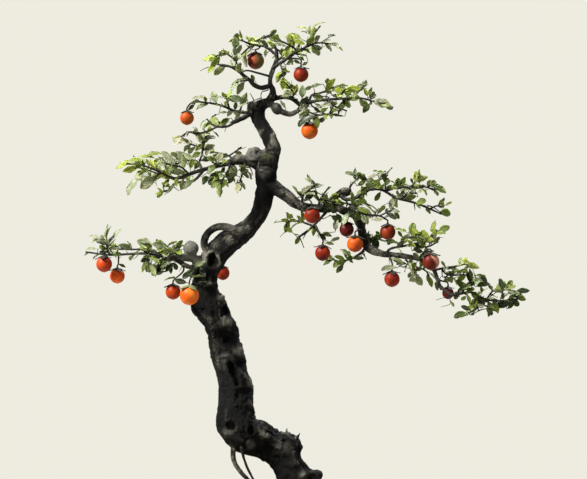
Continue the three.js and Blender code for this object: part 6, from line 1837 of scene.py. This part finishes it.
def traced_leaf(foot, tip, half_seen):
    """A leaf between two places, turned so that it shows its traced width."""
    size = np.linalg.norm(tip - foot)
    aim = (tip - foot) / size
    half = max(half_seen, TRACED_LEAST_HALF * size)
    turned = math.acos(min(1, half_seen / half))
    upward = np.cross(aim, BACK)
    upward *= 1 if upward[2] > 0 or (upward[2] == 0 and upward[0] < 0) else -1
    face = -BACK * math.cos(turned) + upward * math.sin(turned)
    face = unit(face - aim * face.dot(aim))
    return with_probes({"base": foot, "aim": aim, "face": face, "side": np.cross(aim, face),
                        "size": size, "half": half, "upward": upward})


def blade_width(share, wedge, blunt):
    """Half width along a leaf from petiole to tip, with 1 at its widest."""
    peak = wedge / (wedge + blunt)
    most = peak ** wedge * (1 - peak) ** blunt
    return share ** wedge * (1 - share) ** blunt / most


def add_leaf(shape, leaf, seed):
    """One leathery leaf: cupped, waved at its edge and bent down to its tip."""
    size, tone = leaf["size"], leaf["tone"]
    free = "half" not in leaf
    if free and draw(seed, 1) < NEIGHBOUR_SHARE:
        tone = NEIGHBOUR[tone]
    slim = tone == "new" or draw(seed, 2) < SLIM_SHARE
    wedge, blunt = SLIM_ENDS if slim else BROAD_ENDS
    half = LEAF_HALF_WIDTH * size * drawn(*(SLIM_WIDTH if slim else BROAD_WIDTH), seed, 3)
    cup = drawn(*LEAF_CUP, seed, 4)
    wave = drawn(*LEAF_WAVE, seed, 5)
    phase = ROUND * draw(seed, 6)
    twist = (draw(seed, 7) - 0.5) * LEAF_TWIST
    roll = (draw(seed, 12) - 0.5) * LEAF_ROLL
    arch = LEAF_DROOP * drawn(*LEAF_ARCH, seed, 8)
    bend = (draw(seed, 9) - 0.5) * LEAF_BEND
    bow = np.zeros(3)
    if not free:
        half, bow = leaf["half"], leaf["upward"] * leaf["bow"] * 4
        twist, roll, bend, arch = (
            value * left for value, left in zip((twist, roll, bend, arch), TRACED_CALM))
    swing = LIGHT_SWING if free else TRACED_LIGHT_SWING
    colour = TONES[tone] * drawn(1 - swing / 2, swing, seed, 10)
    colour = colour * (1 + (draw(seed, 11) - 0.5) * HUE_SWING)
    under = colour * UNDERSIDE_OWN + UNDERSIDE
    rings, wheres, tints = [], [], []
    for share in LEAF_STATIONS:
        blade = (share - PETIOLE_END) / (1 - PETIOLE_END)
        wide = PETIOLE_HALF
        if blade > 0:
            wide = max(PETIOLE_HALF, half * blade_width(blade, wedge, blunt))
        turn = roll + twist * share
        side = leaf["side"] * math.cos(turn) + leaf["face"] * math.sin(turn)
        face = leaf["face"] * math.cos(turn) - leaf["side"] * math.sin(turn)
        spine = (leaf["base"] + leaf["aim"] * share * size
                 - leaf["face"] * arch * size * max(0, share - ARCH_FROM) ** 2 * ARCH_GAIN
                 + leaf["side"] * bend * size * share ** 2 + bow * share * (1 - share))
        open_part = min(1, max(0, (share - PETIOLE_END) / BLADE_OPENING))
        top, bottom = [], []
        for u in LEAF_ACROSS:
            ripple = math.sin(share * WAVES_ALONG + phase + WAVE_LAG * u)
            lift = (cup * abs(u) ** CUP_POWER * wide * CUP_DEPTH
                    + wave * size * WAVE_DEPTH * u * u * ripple) * open_part
            thick = LEAF_HALF_THICKNESS * (MIDRIB_THICKNESS - EDGE_THINNING * abs(u))
            if blade <= 0:
                thick = PETIOLE_HALF * math.sqrt(max(PETIOLE_FLATNESS, 1 - u * u))
            middle = spine + side * u * wide + face * lift
            top.append(middle + face * thick)
            bottom.append(middle - face * thick)
        rings.append(np.array(top + bottom[-2:0:-1]))
        wheres += [(share, u, 1) for u in LEAF_ACROSS]
        wheres += [(share, u, 0) for u in LEAF_ACROSS[-2:0:-1]]
        tints += [colour] * len(LEAF_ACROSS) + [under] * (len(LEAF_ACROSS) - 2)
    tip = rings[-1].mean(0) + leaf["aim"] * size * TIP_POINT
    faces = ring_faces(len(rings), len(rings[0]))
    shape.add(np.vstack(rings + [[rings[0].mean(0)], [tip]]), [face[::-1] for face in faces], 0,
              tints + [colour, colour], wheres + [(0, 0, 0), (1, 0, 0)])


def add_twig(shape, shoot, seed):
    """A shoot's twig: knobbly, with short spurs where leaves have fallen."""
    points = shoot_points(shoot)
    first, last = np.array(shoot[0]) * PIXEL
    stalk = 2 if shoot[5] else 0
    steps = len(points) - stalk - 1
    radii = [first + (last - first) * min(i / steps, 1) for i in range(len(points))]
    run, widths = spline(np.array(points), np.array(radii), TWIG_STEP)
    knots = 1 + KNOT_RISE * noise_at(run / KNOT_SIZE + seed)
    if stalk:
        knots[-STALK_NO_KNOTS:] = 1
    shape.add(*tube(run, widths * knots, TWIG_FACETS), 1)
    for index in range(int(len(run) * SPURS)):
        at = START_NO_SPURS + int(draw(seed, index * 3) * (len(run) - ENDS_NO_SPURS))
        if stalk and at > len(run) - STALK_NO_SPURS:
            continue
        way, side, across = frames(run)[at]
        turn = ROUND * draw(seed, index * 3 + 1)
        out = unit(side * math.cos(turn) + across * math.sin(turn) + way * SPUR_LEAN
                   + UP * SPUR_LIFT)
        reach = SPUR_REACH + SPUR_MORE * draw(seed, index * 3 + 2) ** SPUR_RARITY
        spur = np.array([run[at], run[at] + out * reach * 0.5,
                         run[at] + out * reach + (way - out * 0.3) * reach * 0.25])
        shape.add(*tube(spur, np.array(SPUR_RADII), SPUR_SIDES), 1)


def add_calyx(shape, name, seed):
    """Four dry lobes that hug the fruit's shoulders and lift a little at their tips."""
    middle, radius, top = fruit_of(name)
    tint = FRESH_CALYX_TINT if name == FRESH_CALYX else CALYX_TINT
    spin = CALYX_SPIN * draw(seed, 3)
    for lobe in range(CALYX_LOBES):
        turn = spin + math.pi / 2 * lobe
        out = np.array([math.cos(turn), math.sin(turn), 0])
        side = np.array([-math.sin(turn), math.cos(turn), 0])
        reach = math.radians(drawn(*LOBE_REACH, seed, lobe + 4))
        curl = drawn(*LOBE_CURL, seed, lobe + 9)
        rings, wheres, tints = [], [], []
        for share in LOBE_STATIONS:
            rise = reach * share
            away = out * math.sin(rise) + UP * math.cos(rise)
            down = out * math.cos(rise) - UP * math.sin(rise)
            wide = radius * LOBE_WIDTH * math.sin(
                math.pi * (LOBE_START + LOBE_SPAN * share)) ** LOBE_FULLNESS
            lift = LOBE_LIFT + curl * radius * max(0, share - CURL_FROM) ** 2 * CURL_GAIN
            spine = middle + away * (radius + lift)
            skin = []
            for u, level in LOBE_SECTION:
                sag = ((u * wide) ** 2 / (EDGE_ROUND * radius)
                       - EDGE_LIFT * abs(u) * radius * curl * share)
                skin.append(spine + side * u * wide + away * (level * LOBE_HALF_THICKNESS - sag))
            rings.append(np.array(skin))
            wheres += [(share, 0, 0)] * len(skin)
            tints += [tint * (LOBE_LIGHT - LOBE_FADE * share)] * len(skin)
        points = np.vstack(rings + [[rings[0].mean(0)], [rings[-1].mean(0) + down * LOBE_HALF_THICKNESS]])
        shape.add(points, ring_faces(len(rings), len(skin)), 2, tints + [tint, tint],
                  wheres + [(0, 0, 0), (1, 0, 0)])
    shape.add(*ball(top + UP * CALYX_KNOB_RISE, CALYX_KNOB, 12, 8), 2, tint)


def make_sprays():
    """Each spray's twigs, leaves and calyces as one piece."""
    by_rule = place_leaves()
    twiglets, bars, owners = trace_twiglets()
    traced, stalks = trace_leaves(bars, owners)
    filled = fill_leaves(by_rule + traced)
    placed = ([leaf for leaf in by_rule if not is_bare(leaf)] + traced
              + [leaf for leaf in filled if not is_bare(leaf)])
    for spray_index, (spray, shoots) in enumerate(SPRAYS.items()):
        shape = Shape()
        for number, shoot in enumerate(shoots):
            add_twig(shape, shoot, spray_index * 13 + number * 5 + 2)
            if shoot[5]:
                add_calyx(shape, shoot[5], spray_index * 9 + number)
        for owner, points, widths in twiglets + stalks:
            if owner == spray:
                run = spline(np.array(points), np.array(widths), TWIGLET_STEP)
                shape.add(*tube(*run, TWIGLET_FACETS), 1)
        for index, leaf in enumerate(placed):
            if leaf["spray"] == spray:
                add_leaf(shape, leaf, index * 3 + 5)
        piece = shape.build("foliage_" + spray, [LEAF, TWIG, CALYX])
        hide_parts("spray_" + spray)
        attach(piece, "root")


# Fruit.
FRUIT_SIDES = 40
FRUIT_ROWS = 30
FRUIT_LOBES = 4
FRUIT_LOBE_SWELL = 0.012
FRUIT_UNEVENNESS = 0.01
FRUIT_WIDTHS = [0.99, 0.99, 1]
# The dimple under the calyx: its depth and the share of the radius that it takes up.
DIMPLE_DEPTH = 0.05
DIMPLE_REACH = 0.1
# The small tip at a fruit's foot, and the dark skin round it.
NIB_LENGTH = 0.045
NIB_REACH = 0.006
NIB_DARK = 0.3
NIB_DARK_REACH = 0.02
PATCH_STRENGTH = 0.9
# How each fruit looks: its tone, and a tint that the tone is multiplied by. Tones and tints are partly the
# fruit's own colour and partly painted light: darker on fruit that hangs in shade, lighter on the fruit in
# front.
FRUIT_LOOKS = {
    "crown_hidden": ("dark", (3.0, 8.0, 8.0)), "crown_right": ("red", (0.74, 0.71, 0.54)),
    "shelf_left": ("orange", (0.8, 1.05, 1.5)), "shelf_right": ("orange", (0.96, 1.1, 1.1)),
    "far_left": ("orange", (0.74, 0.45, 0.42)), "far_left_low": ("orange", (1.38, 1.5, 1.8)),
    "low_left": ("orange", (0.7, 0.58, 0.5)), "low_front": ("orange", (1.35, 1.55, 1.8)),
    "behind_trunk": ("red", (1.15, 1.2, 1.3)), "fork": ("red", (1.19, 1.45, 1.14)),
    "hanging": ("red", (0.84, 0.77, 0.6)), "dark_middle": ("dark", (0.9, 0.66, 0.5)),
    "front_middle": ("orange", (0.95, 1.2, 1.3)), "middle_right": ("red", (0.8, 1.0, 0.95)),
    "low_right": ("red", (1, 1, 1)), "right_front": ("red", (0.5, 0.55, 0.65)),
    "far_right": ("dark", (0.82, 0.75, 0.5)),
}
# A fruit with a painted highlight, pale pink on its upper right shoulder, and a fruit with a dull olive
# patch over its right side.
PAINTED_HIGHLIGHT_FRUIT = "right_front"
OLIVE_PATCHED_FRUIT = "crown_hidden"


def make_fruit(name, seed):
    """A ripe berry: faintly four-lobed, dimpled under its calyx, with a small tip below."""
    middle, radius, _ = fruit_of(name)
    tone, tint = FRUIT_LOOKS[name]
    points, faces = ball(np.zeros(3), (1, 1, 1), FRUIT_SIDES, FRUIT_ROWS)
    rise = points[:, 2]
    turn = np.arctan2(points[:, 1], points[:, 0])
    belly = np.sqrt(np.clip(1 - rise ** 2, 0, 1))
    swell = (1 + FRUIT_LOBE_SWELL * np.cos(FRUIT_LOBES * turn + seed) * belly
             + FRUIT_UNEVENNESS * noise_at(points * 1.3 + seed))
    points = points * swell[:, None] * FRUIT_WIDTHS
    points[:, 2] -= DIMPLE_DEPTH * np.clip((rise - (1 - DIMPLE_REACH)) / DIMPLE_REACH, 0, 1) ** 2
    points[:, 2] -= NIB_LENGTH * np.exp(-((1 + rise) / NIB_REACH))
    shade = np.ones((len(points), 3)) * tint
    shade *= (1 - NIB_DARK * np.exp(-((1 + rise) / NIB_DARK_REACH))[:, None])
    toward_right = points[:, 0] + 0.4 * noise_at(points * 1.6 + 3)
    patches = np.zeros((len(points), 3))
    # Painted highlight: pale pink over the upper right shoulder.
    if name == PAINTED_HIGHLIGHT_FRUIT:
        patches[:, 0] = PATCH_STRENGTH * np.clip(3 * toward_right + 1.2 * points[:, 2] - 0.4, 0, 1)
    # A dull olive patch over the fruit's right side.
    if name == OLIVE_PATCHED_FRUIT:
        patches[:, 1] = PATCH_STRENGTH * np.clip(2.2 * toward_right + 0.55, 0, 1)
    shape = Shape()
    shape.add(points * radius + middle, faces, 0, shade, patches)
    piece = shape.build("ripe_" + name, [FRUIT_MATERIALS[tone]])
    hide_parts("fruit_" + name)
    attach(piece, "root")


# Pot, soil, grains and moss.
POT_HALF_LENGTH = 160
POT_HALF_WIDTH = 108
POT_SQUARENESS = 3.4
POT_SEGMENTS = 192
# Inset and height round the pot's wall, from its underside over the rim to its floor.
POT_PROFILE = [
    (30, 10), (18.5, 10), (16.6, 10.5), (15.2, 11.6), (12.4, 13.2), (9, 15.6), (7.2, 22), (5.9, 30),
    (4.8, 39), (4.1, 47), (3.9, 49.3), (3.4, 50.2), (1.2, 50.8), (0.3, 51.5), (0, 52.8), (0, 59.6),
    (0.4, 60.9), (1.5, 61.8), (2.8, 62), (6.2, 62), (7.4, 61.6), (8.1, 60.6), (8.4, 58), (10, 50),
    (12.5, 38), (15, 26), (16.6, 20.4), (17.6, 18.6), (19.5, 18), (34, 18),
]
FEET = [(x, y) for x in (-94, 94) for y in (-62, 62)]
FOOT_SIZE = (46, 26, 13)
FOOT_SEGMENTS = 48
FOOT_ROUNDING = 0.35
# Size and height of a foot's rings, as shares of its full size.
FOOT_PROFILE = ((0.93, 0), (0.97, 0.02), (0.985, 0.08), (1.0, 0.4), (1.0, 1))
DRAINS = (-72, 72)
DRAIN_RADIUS = 8
DRAIN_SEGMENTS = 48
# The bores' ends, below and above the pot's bottom.
BORE_ENDS = (4.0, 24.0)
POT_SHARP_ANGLE = 35
SOIL_EDGE = 56
SOIL_MOUND = 15
SOIL_POWER = 1.3
SOIL_TOP_SHARE = 0.42
SOIL_INSET = 9.6
SOIL_RINGS = 46
# The soil's wall under its edge: inset and height, then how far below the edge it ends.
SOIL_WALL = [(17, 18.4), (14, 34)]
SOIL_WALL_END = 3
# Swells and crumbs of the soil's top: how high and how wide.
SWELL_RISE = 0.7
SWELL_SIZE = 18
CRUMB_RISE = 0.5
CRUMB_SIZE = 2.5
# The bed lies so much below the level that grains and moss are measured from.
BED_SINK = 0.6
# The soil's smallest ring, as a share of its widest.
LEAST_RING = 0.02
GRAINS = 3400
GRAIN_SEED = 41
GRAIN_EDGE = 0.985
CLEAR_OF_FOOT = 25
# Grains keep so far from the pot's inner wall and lie so deep in the soil.
GRAIN_INSET = 2
GRAIN_SINK = 0.3
# Least and most of a grain's size, of its width and height beside its length, of how far its
# corners stand out, and of its lightness.
GRAIN_SIZES = (1.0, 2.3)
GRAIN_WIDTHS = (0.75, 1)
GRAIN_HEIGHTS = (0.6, 0.9)
GRAIN_CORNERS = (-0.22, 0.16)
GRAIN_LIGHTS = (0.7, 1.2)
# Moss cushions: middle and half sizes.
MOSS_PATCHES = [
    (40, -34, 30, 19), (-42, -28, 26, 20), (66, 18, 24, 16), (-12, 50, 34, 20), (-78, 22, 26, 22),
    (98, -30, 22, 26), (-108, -26, 20, 18), (8, -60, 26, 14), (116, 26, 15, 17), (-60, 62, 18, 10),
    (52, 60, 20, 11),
]
MOSS_ROWS = 36
MOSS_COLUMNS = 132
MOSS_RISE = 3.6
MOSS_SKIRT = 1.6
MOSS_SINK = 0.8
# How the rings crowd towards a cushion's edge, and how flat its dome is.
MOSS_CROWDING = 1.25
MOSS_FLATNESS = 3.2
# Waves, tufts and fuzz of the moss: how wide, and how high the tufts and the fuzz stand. The
# third number of a size only tells the cushions apart.
MOSS_WAVE_SIZE = (9, 9, 1)
TUFT_SIZE = (2.9, 2.9, 1)
FUZZ_SIZE = (0.9, 0.9, 1)
TUFT_RADIUS = 0.75
TUFT_RISE = 1.1
FUZZ_RISE = 0.3
# Share of the dome's full rise where the waves are at their middle, and how far they swing it.
MOSS_MIDDLING = 0.75
MOSS_SWING = 0.5
# The tufts reach their full height at a quarter of the way in.
TUFT_EASE = 4
# Lightness of the moss, and how dry it is towards its edge.
MOSS_LIGHTNESS = 0.42
TUFT_LIGHT = 0.55
WAVE_LIGHT = 0.35
FUZZ_LIGHT = 0.2
DRY_EDGE = 0.9
DRY_FADE = 3.5
DRY_FUZZ = 0.9
# Waves of a cushion's edge: how far they reach and how fine they are.
MOSS_EDGE = ((0.3, 1.4), (0.14, 5), (0.07, 15))
MOSS_DEEP = srgb(30, 40, 12)
MOSS_LIGHT = srgb(122, 134, 52)
MOSS_DRY = srgb(84, 72, 34)


def squared_round(segments, power):
    """A unit oval, squarer the smaller its power: its x and y."""
    turns = 2 * np.pi * np.arange(segments) / segments
    return [np.sign(way) * np.abs(way) ** power for way in (np.cos(turns), np.sin(turns))]


def oblong(inset, height, share=1.0):
    """A ring round the pot, so far in from its outer edge and at a height."""
    x, y = squared_round(POT_SEGMENTS, 2 / POT_SQUARENESS)
    return np.column_stack([x * (POT_HALF_LENGTH - inset) * share,
                            y * (POT_HALF_WIDTH - inset) * share,
                            np.full(POT_SEGMENTS, float(height))])


def loft(rings):
    """A closed skin over rings of equal count: its points and faces."""
    return (np.vstack(rings + [[rings[0].mean(0)], [rings[-1].mean(0)]]),
            ring_faces(len(rings), len(rings[0])))


def rounded_block(middle, size, rounding):
    """A closed block with rounded upright edges, its foot slightly drawn in."""
    x, y = squared_round(FOOT_SEGMENTS, rounding)
    x, y = x * size[0] / 2, y * size[1] / 2
    return loft([np.column_stack([x * grow, y * grow, np.full(FOOT_SEGMENTS, level * size[2])])
                 + [middle[0], middle[1], 0] for grow, level in FOOT_PROFILE])


def make_pot():
    """The oval pot, its two drain holes bored through, and its four feet."""
    body = Shape()
    body.add(*loft([oblong(inset, height) for inset, height in POT_PROFILE]))
    pot = body.build("pot_body", [CLAY])
    bores = Shape()
    for x in DRAINS:
        bores.add(*tube(np.array([[x, 0, end] for end in BORE_ENDS]),
                        np.array([DRAIN_RADIUS] * 2, float), DRAIN_SEGMENTS))
    tool = bores.build("drain_bores", [])
    cut = pot.modifiers.new("drains", "BOOLEAN")
    cut.operation = "DIFFERENCE"
    cut.solver = "EXACT"
    cut.object = tool
    mesh = applied(pot)
    bpy.data.objects.remove(tool)
    whole = Shape()
    whole.add((mesh_arrays(mesh)[0] - ORIGIN) / MM, faces_of(mesh))
    for foot in FEET:
        whole.add(*rounded_block(foot, FOOT_SIZE, FOOT_ROUNDING))
    piece = whole.build("clay_pot", [CLAY])
    piece.data.set_sharp_from_angle(angle=math.radians(POT_SHARP_ANGLE))
    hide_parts("pot")
    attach(piece, "root")


def soil_height(share):
    return SOIL_EDGE + SOIL_MOUND * (1 - np.clip(share, SOIL_TOP_SHARE, 1)) ** SOIL_POWER


def soil_share(x, y):
    """How far out a place lies, from 0 at the pot's middle to 1 at its inner wall."""
    a = np.abs(x) / (POT_HALF_LENGTH - SOIL_INSET)
    b = np.abs(y) / (POT_HALF_WIDTH - SOIL_INSET)
    return (a ** POT_SQUARENESS + b ** POT_SQUARENESS) ** (1 / POT_SQUARENESS)


def soil_level(x, y):
    swell = noise.noise((x / SWELL_SIZE, y / SWELL_SIZE, 3.0))
    return soil_height(soil_share(x, y)) + SWELL_RISE * swell


def make_soil():
    """The soil with its root ball, mounded towards the trunk."""
    rings = [oblong(inset, height) for inset, height in SOIL_WALL]
    rings.append(oblong(SOIL_INSET, SOIL_EDGE - SOIL_WALL_END))
    for share in np.linspace(1, LEAST_RING, SOIL_RINGS):
        ring = oblong(SOIL_INSET, 0, share)
        for point in ring:
            x, y = point[:2]
            crumb = noise.noise((x / CRUMB_SIZE, y / CRUMB_SIZE, 9.0))
            point[2] = soil_level(x, y) - BED_SINK + CRUMB_RISE * crumb
        rings.append(ring)
    shape = Shape()
    shape.add(*loft(rings))
    piece = shape.build("soil_bed", [SOIL])
    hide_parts("soil")
    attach(piece, "root")


GRAIN_TINTS = [srgb(150, 112, 70), srgb(172, 138, 94), srgb(108, 78, 52), srgb(66, 56, 50),
               srgb(128, 96, 66), srgb(92, 84, 78)]


def make_grains():
    """Loose grains of baked clay and lava over the soil."""
    shape = Shape()
    ico = bmesh.new()
    bmesh.ops.create_icosphere(ico, subdivisions=1, radius=1)
    base = np.array([vertex.co[:] for vertex in ico.verts])
    faces = [tuple(vertex.index for vertex in face.verts) for face in ico.faces]
    ico.free()
    rng = np.random.default_rng(GRAIN_SEED)
    foot = place(ROOT_CROWN)
    made = 0
    while made < GRAINS:
        x = rng.uniform(-1, 1) * (POT_HALF_LENGTH - SOIL_INSET - GRAIN_INSET)
        y = rng.uniform(-1, 1) * (POT_HALF_WIDTH - SOIL_INSET - GRAIN_INSET)
        if soil_share(x, y) > GRAIN_EDGE or math.hypot(x - foot[0], y - foot[1]) < CLEAR_OF_FOOT:
            continue
        size = rng.uniform(*GRAIN_SIZES) * np.array([1, rng.uniform(*GRAIN_WIDTHS),
                                                     rng.uniform(*GRAIN_HEIGHTS)])
        turn = rng.uniform(0, 2 * math.pi)
        grain = base * (1 + rng.uniform(*GRAIN_CORNERS, (len(base), 1))) * size
        spin = np.array([[math.cos(turn), -math.sin(turn), 0],
                         [math.sin(turn), math.cos(turn), 0], [0, 0, 1]])
        level = soil_level(x, y) - GRAIN_SINK
        tint = GRAIN_TINTS[rng.integers(len(GRAIN_TINTS))] * rng.uniform(*GRAIN_LIGHTS)
        shape.add(grain @ spin.T + [x, y, level], faces, 0, tint)
        made += 1
    piece = shape.build("soil_grains", [GRAIN], smooth=False)
    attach(piece, "root")


def make_moss():
    """Cushions of moss: low domes with a ragged edge and a skin of small tufts."""
    shape = Shape()
    turns = 2 * np.pi * np.arange(MOSS_COLUMNS) / MOSS_COLUMNS
    ways = np.column_stack([np.cos(turns), np.sin(turns), np.full(MOSS_COLUMNS, 5.0)])
    for number, (cx, cy, half_x, half_y) in enumerate(MOSS_PATCHES):
        edge = 1
        for amount, fine in MOSS_EDGE:
            edge = edge + amount * noise_at(ways * [fine, fine, 1] + [number * 3, 0, 0])
        rings, tints = [], []
        for row in range(MOSS_ROWS):
            share = 1 - (row / MOSS_ROWS) ** MOSS_CROWDING
            x = cx + ways[:, 0] * half_x * share * edge
            y = cy + ways[:, 1] * half_y * share * edge
            flat = np.column_stack([x, y, np.full(MOSS_COLUMNS, number * 7.0)])
            tufts = np.array([1 - min(1, noise.voronoi(point)[0][0] / TUFT_RADIUS)
                              for point in (flat / TUFT_SIZE).tolist()])
            waves = noise_at(flat / MOSS_WAVE_SIZE)
            fuzz = noise_at(flat / FUZZ_SIZE)
            dome = MOSS_RISE * (1 - share ** MOSS_FLATNESS) * (MOSS_MIDDLING + MOSS_SWING * waves)
            level = np.array([soil_level(a, b) for a, b in zip(x, y)])
            inner = min(1, TUFT_EASE * (1 - share))
            rings.append(np.column_stack([x, y, level - MOSS_SINK + dome
                                          + inner * (TUFT_RISE * tufts + FUZZ_RISE * fuzz)]))
            shade = np.clip(MOSS_LIGHTNESS + TUFT_LIGHT * tufts + WAVE_LIGHT * waves
                            + FUZZ_LIGHT * fuzz, 0, 1)[:, None]
            green = MOSS_DEEP * (1 - shade) + MOSS_LIGHT * shade
            dry = np.clip(DRY_EDGE - DRY_FADE * (1 - share) + DRY_FUZZ * fuzz, 0, 1)[:, None]
            tints.append(green * (1 - dry) + MOSS_DRY * dry)
        skirt = rings[0] - [0, 0, MOSS_SKIRT]
        shape.add(*loft([skirt] + rings), 0,
                  np.vstack(tints[:1] + tints + [tints[0][:1], tints[-1][:1]]))
    piece = shape.build("moss_cushions", [MOSS])
    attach(piece, "root")


# Floor, light and camera.
FLOOR_RADIUS = 0.95
FLOOR_GAP = 0.0004
PAPER = srgb(238, 236, 224)
# The floor's darkest and lightest shade beside the paper.
FLOOR_SHADES = (0.42, 0.44)
CAMERA_DISTANCE = 2.9937
LENS = 153
LOOK_X = -7.8
LOOK_Z = 384.6
SENSOR_WIDTH = 36
CLIP_END = 20
LAMP_AIM = (0, 0, 0.4)
# Each lamp: place in metres, width, power and colour.
LAMPS = {
    "key": ((-1.75, -0.95, 2.1), 0.7, 150, (1.0, 0.98, 0.93)),
    "fill": ((1.6, -1.8, 1.0), 1.4, 3, (0.96, 0.98, 1.0)),
    "back": ((0.5, 1.6, 2.1), 1.0, 40, (1, 1, 1)),
}
# Brightness of the light all round, from straight below over level to straight above.
DOME_LIGHT = [(0.0, 0.02), (0.5, 0.09), (1.0, 0.8)]


def make_stage():
    """A plain pale floor, and a world that is paper to the camera and soft light to the rest."""
    bpy.context.scene.view_settings.view_transform = "Standard"
    n = Nodes("floor")
    cloud = n.noise(3.0, detail=2)
    dark, light = (PAPER * shade for shade in FLOOR_SHADES)
    paint = n.finish(n.ramp(cloud, [(0.3, dark), (0.7, light)]), 0.9)
    mesh = bpy.data.meshes.new("floor")
    disc = bmesh.new()
    bmesh.ops.create_circle(disc, cap_ends=True, segments=128, radius=FLOOR_RADIUS)
    disc.to_mesh(mesh)
    disc.free()
    mesh.materials.append(paint)
    floor = add_object("floor", mesh)
    floor.location = (ORIGIN[0], ORIGIN[1], ORIGIN[2] - FLOOR_GAP)
    n = Nodes("studio", bpy.data.worlds)
    way = n.add("ShaderNodeTexCoord").outputs["Generated"]
    height = n.add("ShaderNodeSeparateXYZ", {0: way}).outputs["Z"]
    level = n.add("ShaderNodeMapRange", {"Value": height, "From Min": -1}).outputs["Result"]
    shade = n.ramp(level, [(position, (grey, grey, grey * 1.04)) for position, grey in DOME_LIGHT])
    dome = n.add("ShaderNodeBackground", {"Color": shade}).outputs[0]
    paper = n.tree.nodes["Background"]
    n.set(paper, "Color", (*PAPER, 1))
    seen = n.add("ShaderNodeLightPath").outputs["Is Camera Ray"]
    either = n.add("ShaderNodeMixShader", {0: seen, 1: dome, 2: paper.outputs[0]}).outputs[0]
    n.set(n.tree.nodes["World Output"], "Surface", either)
    bpy.context.scene.world = n.owner


def add_lamp(name, where, size, energy, colour):
    """A round lamp that looks at the tree's middle."""
    lamp = bpy.data.lights.new(name, "AREA")
    lamp.shape = "DISK"
    lamp.size = size
    lamp.energy = energy
    lamp.color = colour
    piece = add_object(name, lamp)
    piece.location = where
    aim = np.array(LAMP_AIM) - np.array(where)
    piece.rotation_euler = Vector(aim).to_track_quat("-Z", "Y").to_euler()


def make_camera():
    """A level camera in front of the tree, framed as the photo is."""
    camera = bpy.data.cameras.new("camera")
    camera.lens = LENS
    camera.sensor_width = SENSOR_WIDTH
    camera.clip_end = CLIP_END
    piece = add_object("camera", camera)
    piece.location = (ORIGIN[0] + LOOK_X * MM, ORIGIN[1] - CAMERA_DISTANCE,
                      ORIGIN[2] + LOOK_Z * MM)
    piece.rotation_euler = (math.pi / 2, 0, 0)
    bpy.context.scene.camera = piece


# The scene.
make_wood()
make_sprays()
for number, name in enumerate(FRUITS):
    make_fruit(name, number)
make_pot()
make_soil()
make_grains()
make_moss()
for name in ("drain_screen_left", "drain_screen_right"):
    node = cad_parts[name]
    node.data.materials.clear()
    node.data.materials.append(SCREEN)
make_stage()
for name, lamp in LAMPS.items():
    add_lamp(name, *lamp)
make_camera()
